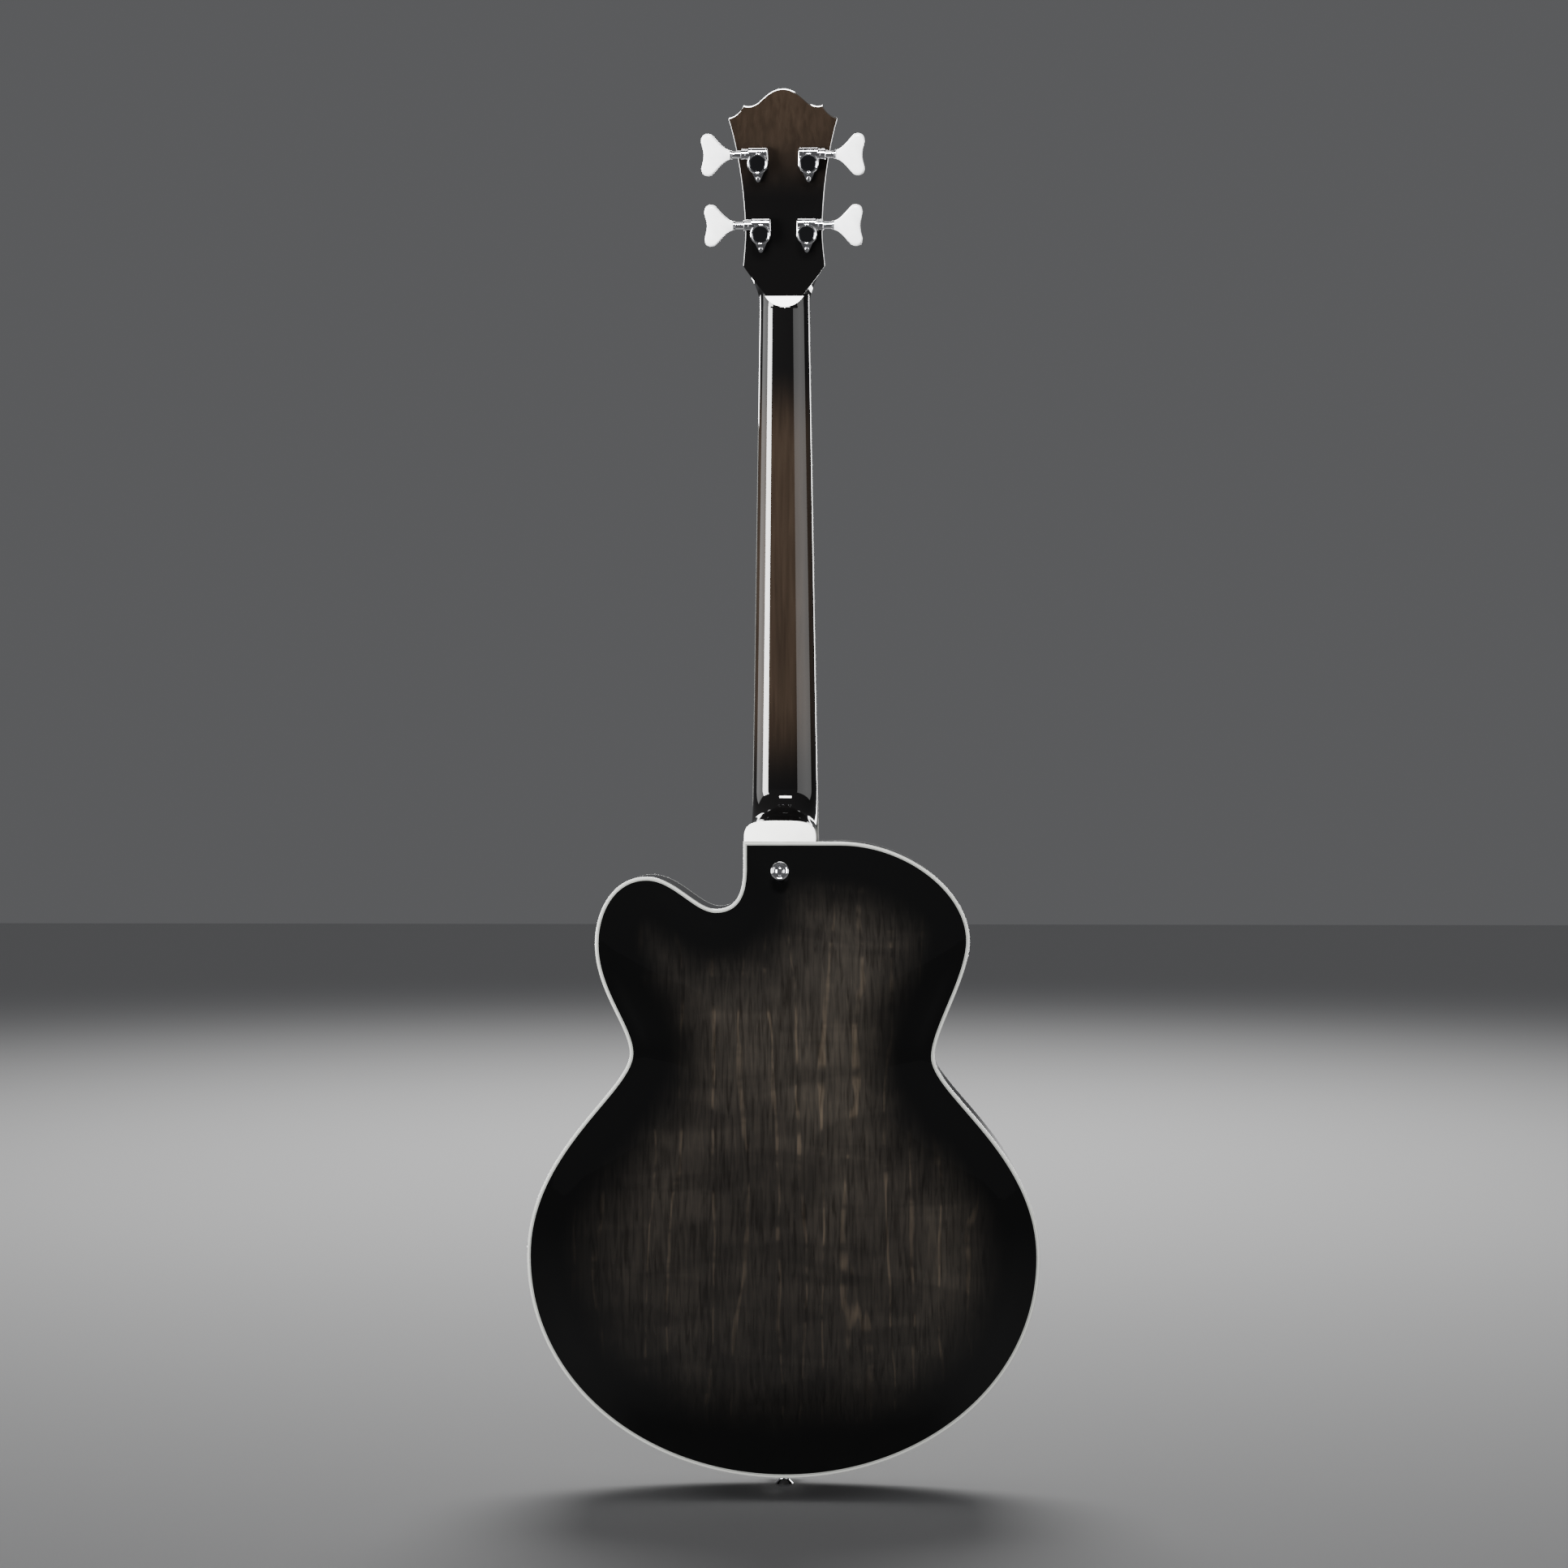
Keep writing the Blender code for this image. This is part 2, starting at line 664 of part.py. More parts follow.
def make_tone_bars(edge, finish):
    """Two bars under the top, beside the pickups, fitted to its inner face and tapered at their ends."""
    middle = PICKUP_LENGTH / 2 + TONE_BAR_PICKUP_GAP + TONE_BAR_WIDTH / 2
    low = bridge_height() - TONE_BAR_BELOW
    high = BODY_LENGTH - TONE_BAR_DROP
    for side, name in ((-1, "bass_tone_bar"), (1, "treble_tone_bar")):
        x_in = side * (middle - TONE_BAR_WIDTH / 2)
        x_out = side * (middle + TONE_BAR_WIDTH / 2)
        rings = []
        for i in range(TONE_BAR_STATIONS + 1):
            z = low + (high - low) * i / TONE_BAR_STATIONS
            head = max(front_y(x_in, z, edge), front_y(x_out, z, edge)) + PLATE_THICKNESS + 2 * SEAT
            to_end = min(i, TONE_BAR_STATIONS - i) / TONE_BAR_STATIONS
            taper = min(1.0, TONE_BAR_END_SHARE + 4 * (1 - TONE_BAR_END_SHARE) * to_end)
            foot = head + TONE_BAR_HEIGHT * taper
            rings.append([(x_in, head, z), (x_out, head, z), (x_out, foot, z), (x_in, foot, z)])
        put(name, loft(rings), finish["pale"], BODY_FRAME)


def cut_fholes(top):
    """Two f-holes beside the bridge: a leaning slot with an eye at each end and a notch at its middle."""
    low, high = bridge_height() - FHOLE_BELOW, bridge_height() + FHOLE_ABOVE
    middle = (low + high) / 2
    front = -TOP_ARCH - CUT_MARGIN
    back = PLATE_THICKNESS + CUT_MARGIN
    for side in (-1, 1):
        left = []
        right = []
        for i in range(FHOLE_STEPS + 1):
            t = i / FHOLE_STEPS
            z = low + (high - low) * t
            x = side * (FHOLE_X + FHOLE_LEAN * (1 - 2 * t) + FHOLE_BEND * math.sin(math.tau * t))
            half = FHOLE_WIDTH / 2 * (FHOLE_TIP_SHARE + (1 - FHOLE_TIP_SHARE) * math.sin(math.pi * t))
            left.append((x - half, z))
            right.append((x + half, z))
        cut([top], f"f_slot_{side}", prism(left + right[::-1], front, back), BODY_FRAME)
        for turn, z in ((1, low), (-1, high)):
            x = side * (FHOLE_X + turn * (FHOLE_LEAN - FHOLE_EYE * FHOLE_EYE_SHARE))
            eye = prism(circle(FHOLE_EYE, 12, (x, z)), front, back)
            cut([top], f"f_eye_{side}_{turn}", eye, BODY_FRAME)
        notch = box((side * FHOLE_X - FHOLE_NOTCH_HALF, front, middle - FHOLE_NOTCH_WIDTH / 2),
                    (side * FHOLE_X + FHOLE_NOTCH_HALF, back, middle + FHOLE_NOTCH_WIDTH / 2))
        cut([top], f"f_notch_{side}", notch, BODY_FRAME)


def neck_half_width(distance):
    """Half the neck's width at a distance from the nut."""
    return (NUT_WIDTH + (BOARD_END_WIDTH - NUT_WIDTH) * distance / BOARD_LENGTH) / 2


def superellipse(half, height, power, steps, centre=0.0, foot=0.0):
    """The upper half of a superellipse as (across, up) points, from its right end to its left."""
    points = []
    for i in range(steps + 1):
        angle = math.pi * i / steps
        c, s = math.cos(angle), max(math.sin(angle), 0.0)
        across = math.copysign(abs(c) ** (2 / power), c)
        points.append((centre + half * across, foot + height * s ** (2 / power)))
    return points


def heel_outline(steps=12, grow=0.0, height=HEEL_HEIGHT, power=HEEL_ROUNDNESS, narrowing=0.0):
    """The heel's edge above the body, seen from the back, as (x, z) above the joint."""
    half = (CUTAWAY_HEEL + HEEL_BASS) / 2 - narrowing - grow
    return superellipse(half, height - SEAT - grow, power, steps, (CUTAWAY_HEEL - HEEL_BASS) / 2, SEAT)


def head_outline(start=(NUT_WIDTH / 2, HEAD_START, 90), inset_by=0.0):
    """The head's edge in its own plane: x and distance from the nut's upper side."""
    shoulder = (HEAD_SHOULDER_HALF, HEAD_SHOULDER)
    waist = (HEAD_WAIST_HALF, HEAD_WAIST)
    ear = (HEAD_EAR_HALF, HEAD_EAR)
    notch = (HEAD_NOTCH_HALF, HEAD_NOTCH)
    flank = (HEAD_FLANK_HALF, HEAD_FLANK)
    half = span(start, (*shoulder, 57), 0.25, 0.35, 4)
    half += span((*shoulder, 95), (*waist, 90), 0.33, 0.36, 2)
    half += span((*waist, 89), (*ear, 73), 0.34, 0.30, 4)
    half += span((*ear, 165), (*notch, 117), 0.40, 0.40, 2)
    half += span((*notch, 204), (*flank, 136), 0.33, 0.35, 2)
    half += span((*flank, 138), (0, HEAD_TOP, 180), 0.36, 0.36, 3)
    outline = half + [(0, HEAD_TOP)] + [(-x, z) for x, z in half[::-1]]
    return inset(outline, inset_by) if inset_by else outline


def make_neck(body, finish):
    """Neck, head and heel in one piece of wood, let into the body, with the truss rod in its channel."""
    neck = put("neck", shaft_form(), finish["neck_wood"], NECK_FRAME)
    cut([neck], "scoop", scoop_cutter(), HEAD_FRAME)
    back_outline = head_outline((HEAD_BACK_HALF, HEAD_BACK_START, 50))
    levels = ((head_outline(), 0), (back_outline, HEAD_WOOD))
    join(neck, "head_slab", loft([[(x, y, z) for x, z in edge] for edge, y in levels]), HEAD_FRAME)
    join(neck, "heel_form", heel_form(), BODY_FRAME)

    low = (-TENON_WIDTH / 2, TENON_SET - NECK_RISE, BODY_LENGTH - TENON_LENGTH)
    high = (TENON_WIDTH / 2, TENON_DEPTH, BODY_LENGTH + NECK_END_GAP + EMBED)
    join(neck, "tenon_form", box(low, high), BODY_FRAME)
    pocket = box((low[0] - SEAT, -TOP_ARCH - CUT_MARGIN, low[2] - SEAT),
                 (high[0] + SEAT, TENON_DEPTH + SEAT, BODY_LENGTH + CUT_MARGIN))
    cut([body[name] for name in ("rim", "top_plate", "top_binding", "top_lining", "neck_block")],
        "neck_pocket", pocket, BODY_FRAME)

    rod_low = (-ROD_WIDTH / 2, ROD_FRONT, ROD_END_GAP - JOINT_DISTANCE)
    rod_high = (ROD_WIDTH / 2, ROD_BACK, 2 * NUT_THICKNESS)
    channel = box((rod_low[0] - SEAT, -CUT_MARGIN, rod_low[2] - SEAT),
                  (rod_high[0] + SEAT, rod_high[1] + SEAT, rod_high[2] + CUT_MARGIN / 2))
    cut([neck], "rod_channel", channel, NECK_FRAME)
    put("truss_rod", box(rod_low, rod_high), finish["steel"], NECK_FRAME)
    return neck


def shaft_form():
    """The neck's shaft, its rounded section carried on into the head along the head's face."""
    rings = []
    length = JOINT_DISTANCE - NECK_END_GAP
    for i in range(NECK_STATIONS + 1):
        distance = length * (1 - i / NECK_STATIONS)
        depth = NECK_DEPTH_NUT + (NECK_DEPTH_HEEL - NECK_DEPTH_NUT) * distance / JOINT_DISTANCE
        section = superellipse(neck_half_width(distance) - NECK_UNDERCUT, depth, NECK_ROUNDNESS, 12)
        rings.append([(x, y, -distance) for x, y in section])
    to_head = NECK_FRAME.inverted() @ HEAD_FRAME
    for along in (0, SHAFT_IN_HEAD):
        rings.append([tuple(to_head @ Vector((x, y, along))) for x, y in section])
    return loft(rings)


def scoop_cutter():
    """What the head's back leaves off the shaft: a flat ramp down to the head's plane, then that plane."""
    neck_back = Vector((0, NECK_DEPTH_NUT, SCOOP_START))
    low = HEAD_FRAME.inverted() @ NECK_FRAME @ neck_back
    floor = HEAD_WOOD - EMBED
    slope = (low.y - floor) / (low.z - HEAD_BACK_START)
    outer = floor + CUT_MARGIN
    side = [(floor, HEAD_BACK_START), (floor, SHAFT_IN_HEAD + EMBED), (outer, SHAFT_IN_HEAD + EMBED),
            (outer, HEAD_BACK_START + CUT_MARGIN / slope)]
    half = NUT_WIDTH / 2 + EMBED
    return loft([[(x, y, z) for y, z in side] for x in (-half, half)])


def heel_form():
    """The heel: the cap's outline at the back, swept up the neck and narrowed as it comes forward."""
    back = RIM_DEPTH - HEEL_CAP_THICKNESS - SEAT
    shaft_back = NECK_DEPTH_HEEL - NECK_RISE
    rings = []
    for i in range(HEEL_LEVELS + 1):
        forward = 1 - (1 - i / HEEL_LEVELS) ** 1.8
        height = HEEL_HEIGHT + (HEEL_SWEEP - HEEL_HEIGHT) * (1 - math.sqrt(max(0.0, 1 - forward ** 3)))
        roundness = HEEL_ROUNDNESS - HEEL_SOFTENING * forward
        edge = heel_outline(12, 0, height, roundness, HEEL_NARROWING * forward)
        y = back + (shaft_back - back) * forward
        rings.append([(x, y, BODY_LENGTH + z) for x, z in edge])
    rings.append([(x * HEEL_FRONT_SHARE, HEEL_FRONT - NECK_RISE, z) for x, y, z in rings[-1]])
    return loft(rings)


def make_head_trim(neck, finish):
    """The bound plate on the head's face, the truss rod's cover and the heel's cap."""
    edge = head_outline(inset_by=HEAD_BINDING_WIDTH + SEAT)
    head_plate = put("head_plate", prism(edge, HEAD_FRONT, -SEAT), finish["black"], HEAD_FRAME)
    binding = band(head_outline(), head_outline(inset_by=HEAD_BINDING_WIDTH), HEAD_FRONT, -SEAT)
    put("head_binding", binding, finish["cream"], HEAD_FRAME)
    well = box((-ROD_WELL_HALF, -CUT_MARGIN, -NUT_THICKNESS), (ROD_WELL_HALF, ROD_WELL_DEPTH, ROD_WELL_END))
    cut([head_plate], "rod_well", well, HEAD_FRAME)
    half = [(COVER_BELLY_HALF - HEAD_BINDING_WIDTH / 3, COVER_START), (COVER_BELLY_HALF, COVER_BELLY),
            (COVER_NECK_HALF, COVER_NECK), (COVER_TIP_HALF, COVER_TIP - COVER_TIP_HALF / 2)]
    cover = half + [(0, COVER_TIP)] + [(-x, z) for x, z in half[::-1]]
    cover_back = HEAD_FRONT - SEAT
    cover_form = prism(cover, cover_back - COVER_THICKNESS, cover_back)
    put("truss_rod_cover", cover_form, finish["black"], HEAD_FRAME)

    rings = []
    cap_front = RIM_DEPTH - HEEL_CAP_THICKNESS
    for y, grow in ((cap_front, 0.0), (RIM_DEPTH - HEEL_CAP_EDGE, 0.0), (RIM_DEPTH, HEEL_CAP_EDGE)):
        rings.append([(x, y, BODY_LENGTH + z) for x, z in heel_outline(16, grow)])
    put("heel_cap", loft(rings), finish["cream"], BODY_FRAME)
    return [neck, head_plate]


def board_arc(half, lift, z):
    """The fingerboard's section at z: a flat underside and a curved face."""
    points = [(-half, -SEAT, z)]
    for i in range(BOARD_FACETS + 1):
        x = -half + 2 * half * i / BOARD_FACETS
        drop = BOARD_RADIUS - math.sqrt(BOARD_RADIUS ** 2 - x * x)
        points.append((x, -SEAT - BOARD_THICKNESS + drop - lift, z))
    points.append((half, -SEAT, z))
    return points


def make_board(finish):
    """Fingerboard with its frets, and the nut with its string slots."""
    rings = [board_arc(neck_half_width(BOARD_LENGTH), 0, -BOARD_LENGTH)]
    for fret in range(FRET_COUNT, 0, -1):
        distance = SCALE_LENGTH * (1 - 2 ** (-fret / 12))
        for offset, lift in ((-0.5, 0), (-0.25, FRET_HEIGHT), (0.25, FRET_HEIGHT), (0.5, 0)):
            rings.append(board_arc(neck_half_width(distance), lift, -distance + offset * FRET_WIDTH))
    rings.append(board_arc(neck_half_width(0), 0, -SEAT))
    put("fingerboard", loft(rings), finish["rosewood"], NECK_FRAME)

    half = NUT_WIDTH / 2 - SEAT
    top = string_nut_y(1) - STRING_RADII[0] / 2
    outline = [(-half, -SEAT), (-half, top + NUT_CORNER), (NUT_CORNER - half, top)]
    for i, radius in enumerate(STRING_RADII):
        x = nut_x(i)
        room = radius + SEAT
        low = string_nut_y(i) + room
        outline += [(x - room, top), (x - room, low), (x + room, low), (x + room, top)]
    outline += [(half - NUT_CORNER, top), (half, top + NUT_CORNER), (half, -SEAT)]
    rings = [[(x, y, z) for x, y in outline] for z in (0, NUT_THICKNESS - SEAT)]
    put("nut", loft(rings), finish["bone"], NECK_FRAME)


def nut_x(i):
    """A string's place across the nut."""
    return (i - 1.5) * NUT_SPACING


def bridge_x(i):
    """A string's place across the bridge."""
    return (i - 1.5) * BRIDGE_SPACING


def string_nut_y(i):
    """Height of a string's centre over the nut, in the neck frame."""
    return -(SEAT + BOARD_THICKNESS + FRET_HEIGHT + NUT_ACTION + STRING_RADII[i])


def string_bridge_y():
    """Height of the strings' centres over the bridge, in the neck frame."""
    return string_nut_y(0) - BRIDGE_ACTION


def string_underside(height):
    """The strings' lowest side over the top at a height of the body, in the body frame."""
    local = NECK_FRAME.inverted() @ BODY_FRAME @ Vector((0, 0, height))
    share = -local.z / SCALE_LENGTH
    y = string_nut_y(0) + (string_bridge_y() - string_nut_y(0)) * share + STRING_RADII[0]
    return (BODY_FRAME.inverted() @ NECK_FRAME @ Vector((0, y, local.z))).y


def bridge_height():
    """Height of the saddle line above the body's lowest point."""
    return (BODY_FRAME.inverted() @ NECK_FRAME @ Vector((0, string_bridge_y(), -SCALE_LENGTH))).z


def pickup_heights():
    """The neck pickup follows the fingerboard's end, the bridge pickup the bridge's foot."""
    ring_half = PICKUP_WIDTH / 2 + PICKUP_RING_SIDE
    board_end = (BODY_FRAME.inverted() @ NECK_FRAME @ Vector((0, 0, -BOARD_LENGTH))).z
    high = board_end - NECK_PICKUP_GAP - ring_half
    low = bridge_height() + BRIDGE_FOOT_WIDTH / 2 + BRIDGE_PICKUP_GAP + ring_half
    return {"neck_pickup": high, "bridge_pickup": low}


def make_bridge(edge, finish):
    """Foot with its two posts, two thumbwheels and the saddle piece on them."""
    centre = bridge_height()
    under_string = string_underside(centre) + SEAT
    half = BRIDGE_FOOT_WIDTH / 2
    level = -TOP_ARCH - BRIDGE_FOOT_HEIGHT
    rings = []
    for i in range(BRIDGE_STATIONS + 1):
        x = BRIDGE_FOOT_HALF * (2 * i / BRIDGE_STATIONS - 1)
        bottom = [front_y(x, centre + side * half, edge) - SEAT for side in (-1, 1)]
        end = max(0.0, (abs(x) / BRIDGE_FOOT_HALF - BRIDGE_FOOT_LEVEL) / (1 - BRIDGE_FOOT_LEVEL))
        crest = level + BRIDGE_FOOT_HEIGHT * BRIDGE_FOOT_FALL * end ** 2
        rings.append([(x, bottom[0], centre - half), (x, crest, centre - half * BRIDGE_FOOT_CREST),
                      (x, crest, centre + half * BRIDGE_FOOT_CREST), (x, bottom[1], centre + half)])
    foot = put("bridge_base", loft(rings), finish["rosewood"], BODY_FRAME)

    top_low = under_string + BRIDGE_TOP_HEIGHT
    end_y = under_string + BRIDGE_TOP_END_DROP
    flat = BRIDGE_TOP_HALF * 0.8
    foot_half = BRIDGE_TOP_HALF * 0.9
    end_low = top_low - BRIDGE_TOP_EDGE
    half = BRIDGE_TOP_HALF
    outline = [(-half, end_low), (-half, end_y), (-flat, under_string), (flat, under_string),
               (half, end_y), (half, end_low), (foot_half, top_low), (-foot_half, top_low)]
    ends = (centre - BRIDGE_TOP_WIDTH / 2, centre + BRIDGE_TOP_WIDTH / 2)
    rings = [[(x, y, z) for x, y in outline] for z in ends]
    saddle = put("bridge_top", loft(rings), finish["rosewood"], BODY_FRAME)
    for side, name in ((-1, "bass_thumbwheel"), (1, "treble_thumbwheel")):
        spot = (side * BRIDGE_POST_X, centre)
        reach = (level + BRIDGE_POST_IN_FOOT, top_low - BRIDGE_POST_IN_TOP)
        post = rod(BRIDGE_POST_RADIUS, *reach, 12, "y", spot)
        join(foot, f"bridge_post_{side}", post, BODY_FRAME)
        bore = BRIDGE_POST_RADIUS + RUNNING
        hole = rod(bore, top_low + BRIDGE_HOLE_DEPTH, top_low - BRIDGE_HOLE_DEPTH, 12, "y", spot)
        cut([saddle], f"saddle_hole_{side}", hole, BODY_FRAME)
        low = top_low + SEAT
        high = low + WHEEL_THICKNESS
        profile = [(bore, low), (WHEEL_RADIUS - WHEEL_EDGE, low), (WHEEL_RADIUS, low + WHEEL_EDGE),
                   (WHEEL_RADIUS, high - WHEEL_EDGE), (WHEEL_RADIUS - WHEEL_EDGE, high), (bore, high)]
        frame = BODY_FRAME @ Matrix.Translation((spot[0], 0, spot[1]))
        put(name, turned(profile, CONTROL_SIDES, wrap=True), finish["bright"], frame)


def make_tailpiece(edge, finish):
    """Bracket on the rim, hinge pin and the trapeze frame with its string bar."""
    pin_y, pin_z = -TAIL_PIN_FORWARD, -TAIL_PIN_DROP
    strip = box((-TAIL_HINGE_HALF, pin_y, -SEAT - TAIL_STRIP),
                (TAIL_HINGE_HALF, RIM_MIDDLE + TAIL_STRIP_BELOW_BUTTON, -SEAT))
    bracket = put("tailpiece_bracket", strip, finish["bright"], BODY_FRAME)
    knuckle = rod(TAIL_KNUCKLE_RADIUS, -TAIL_KNUCKLE_HALF, TAIL_KNUCKLE_HALF, 12, "x", (pin_y, pin_z))
    join(bracket, "bracket_knuckle", knuckle, BODY_FRAME)
    pin_bore = TAIL_PIN_RADIUS + SEAT
    reach = TAIL_HINGE_HALF + CUT_MARGIN
    cut([bracket], "pin_hole", rod(pin_bore, -reach, reach, 12, "x", (pin_y, pin_z)), BODY_FRAME)
    screw_hole = rod(STRAP_SCREW_HOLE, -CUT_MARGIN, CUT_MARGIN, 12, "z", (0, RIM_MIDDLE))
    cut([bracket], "strap_hole", screw_hole, BODY_FRAME)
    for side in (-1, 1):
        near, far = sorted((side * TAIL_KNUCKLE_HALF, side * reach))
        corner = box((near, pin_y - CUT_MARGIN, -CUT_MARGIN), (far, -2 * EMBED, CUT_MARGIN))
        cut([bracket], f"bracket_side_{side}", corner, BODY_FRAME)
    frame = BODY_FRAME @ Matrix.Translation((0, pin_y, pin_z))
    pin_half = TAIL_HINGE_HALF + TAIL_PIN_OVERRUN
    put("tailpiece_pin", rod(TAIL_PIN_RADIUS, -pin_half, pin_half, 12, "x"), finish["bright"], frame)

    bar_y = tail_bar_y(edge) - pin_y
    bar_z = TAIL_BAR_HEIGHT - pin_z
    low = (-TAIL_BAR_HALF, bar_y - TAIL_BAR_DEPTH / 2, bar_z - TAIL_BAR_WIDTH / 2)
    high = (TAIL_BAR_HALF, bar_y + TAIL_BAR_DEPTH / 2, bar_z + TAIL_BAR_WIDTH / 2)
    bar = put("tailpiece", box(low, high), finish["bright"], frame)
    half = TAIL_FRAME / 2
    inner = TAIL_KNUCKLE_HALF + TAIL_LUG_GAP
    for side in (-1, 1):
        foot_x = side * (inner + TAIL_LUG_WIDTH / 2)
        end_x = side * (TAIL_BAR_HALF - TAIL_ARM_INSET)
        foot = TAIL_FOOT_HALF
        rings = [[(foot_x - half, foot, 0), (foot_x + half, foot, 0), (foot_x + half, -foot, -foot),
                  (foot_x - half, -foot, -foot)]]
        for x, y, z in ((foot_x, -TAIL_KNEE_FORWARD, TAIL_KNEE_RISE), (end_x, bar_y, low[2] + half)):
            rings.append([(x - half, y + half, z), (x + half, y + half, z), (x + half, y - half, z),
                          (x - half, y - half, z)])
        join(bar, f"tail_arm_{side}", loft(rings), frame)
        lug = rod(TAIL_KNUCKLE_RADIUS, side * inner, side * (inner + TAIL_LUG_WIDTH), 12, "x")
        join(bar, f"tail_lug_{side}", lug, frame)
    cut([bar], "lug_hole", rod(pin_bore, -reach, reach, 12, "x"), frame)
    for i, radius in enumerate(STRING_RADII):
        room = radius + STRING_ROOM
        x = bridge_x(i) * TAIL_SPREAD
        hole_low = (x - room, bar_y - room, bar_z - TAIL_FRAME)
        hole_high = (x + room, bar_y + room, high[2] + CUT_MARGIN)
        cut([bar], f"string_hole_{i}", box(hole_low, hole_high), frame)


def tail_bar_y(edge):
    """Depth of the string bar's centre, in the body frame."""
    return front_y(TAIL_BAR_HALF, TAIL_BAR_HEIGHT, edge) - TAIL_BAR_RISE - TAIL_BAR_DEPTH / 2


def rectangle(half_x, half_z, steps_x=6, steps_z=2):
    """Points round a rectangle, closer than its corners so that they can follow an arch."""
    points = [(half_x * (2 * i / steps_x - 1), -half_z) for i in range(steps_x)]
    points += [(half_x, half_z * (2 * i / steps_z - 1)) for i in range(steps_z)]
    return points + [(-x, -z) for x, z in points]


def make_pickups(edge, top, finish):
    """Two pickups, each in its ring on the top."""
    half_x, half_z = PICKUP_LENGTH / 2, PICKUP_WIDTH / 2
    room = PICKUP_SIDE_ROOM
    for name, height in pickup_heights().items():
        face = string_underside(height) + STRING_CLEARANCE
        surface = front_y(0, height, edge)
        opening = box((-half_x - room, -TOP_ARCH - CUT_MARGIN, height - half_z - room),
                      (half_x + room, PLATE_THICKNESS + CUT_MARGIN, height + half_z + room))
        cut([top], f"{name}_opening", opening, BODY_FRAME)
        crest = surface + (face - surface) * PICKUP_RING_SHARE
        bevel = PICKUP_RING_BEVEL
        outer = rectangle(half_x + PICKUP_RING_END, half_z + PICKUP_RING_SIDE)
        top_outer = rectangle(half_x + PICKUP_RING_END - bevel, half_z + PICKUP_RING_SIDE - bevel)
        inner = rectangle(half_x + room / 2, half_z + room / 2)
        rings = []
        for side, seated in ((outer, True), (top_outer, False), (inner, False), (inner, True)):
            ring = []
            for x, z in side:
                y = front_y(x, height + z, edge) - ARCH_SEAT if seated else crest
                ring.append((x, y, height + z))
            rings.append(ring)
        put(f"{name}_ring", loft(rings, wrap=True), finish["black"], BODY_FRAME)
        flat_x, flat_z = half_x - PICKUP_CORNER, half_z - PICKUP_CORNER
        quarter = [(-flat_x, -half_z), (flat_x, -half_z), (half_x, -flat_z), (half_x, flat_z)]
        outline = quarter + [(-x, -z) for x, z in quarter]
        rings = []
        below = surface + PICKUP_BELOW
        for y, share in ((below, 1.0), (face + PICKUP_EDGE, 1.0), (face, PICKUP_EDGE_SHARE)):
            rings.append([(x * share, y, height + z * share) for x, z in outline])
        put(name, loft(rings), finish["chrome"], BODY_FRAME)


def make_knobs(edge, top, finish):
    """Volume and tone: a pot held under the top by its bushing's nut, and a hollow knob on its shaft."""
    spots = {
        "volume": (LOWER_HALF - VOLUME_INSET, LOWER_HEIGHT + VOLUME_RISE),
        "tone": (LOWER_HALF - TONE_INSET, LOWER_HEIGHT - TONE_DROP),
    }
    bore = POT_SHAFT + RUNNING
    under = PLATE_THICKNESS + RUNNING
    floor = under + POT_DEPTH
    for name, spot in spots.items():
        frame = surface_frame(*spot, front_y, edge)
        cut([top], f"{name}_hole", rod(POT_BUSHING + SEAT, -CUT_MARGIN, CUT_MARGIN, CONTROL_SIDES), frame)
        profile = [(bore, -POT_BUSHING_RISE), (POT_BUSHING, -POT_BUSHING_RISE),
                   (POT_BUSHING, -POT_NUT_HEIGHT), (POT_NUT_RADIUS, -POT_NUT_HEIGHT),
                   (POT_NUT_RADIUS, -RUNNING), (POT_BUSHING, -RUNNING), (POT_BUSHING, under),
                   (POT_RADIUS, under), (POT_RADIUS, floor), (bore, floor)]
        put(f"{name}_pot", turned(profile, CONTROL_SIDES, wrap=True), finish["steel"], frame)
        foot = -KNOB_CLEARANCE
        top_y = foot - KNOB_HEIGHT
        profile = [(POT_SHAFT, floor - KNOB_CLEARANCE), (POT_SHAFT, -KNOB_HOLLOW_DEPTH),
                   (KNOB_HOLLOW, -KNOB_HOLLOW_DEPTH), (KNOB_HOLLOW, foot), (KNOB_RADIUS * 0.99, foot),
                   (KNOB_RADIUS, foot - KNOB_CLEARANCE),
                   (KNOB_RADIUS * KNOB_WAIST_SHARE, top_y + KNOB_SHOULDER),
                   (KNOB_RADIUS * KNOB_TOP_SHARE, top_y)]
        put(f"{name}_knob", turned(profile, CONTROL_SIDES + 2), finish["black"], frame)


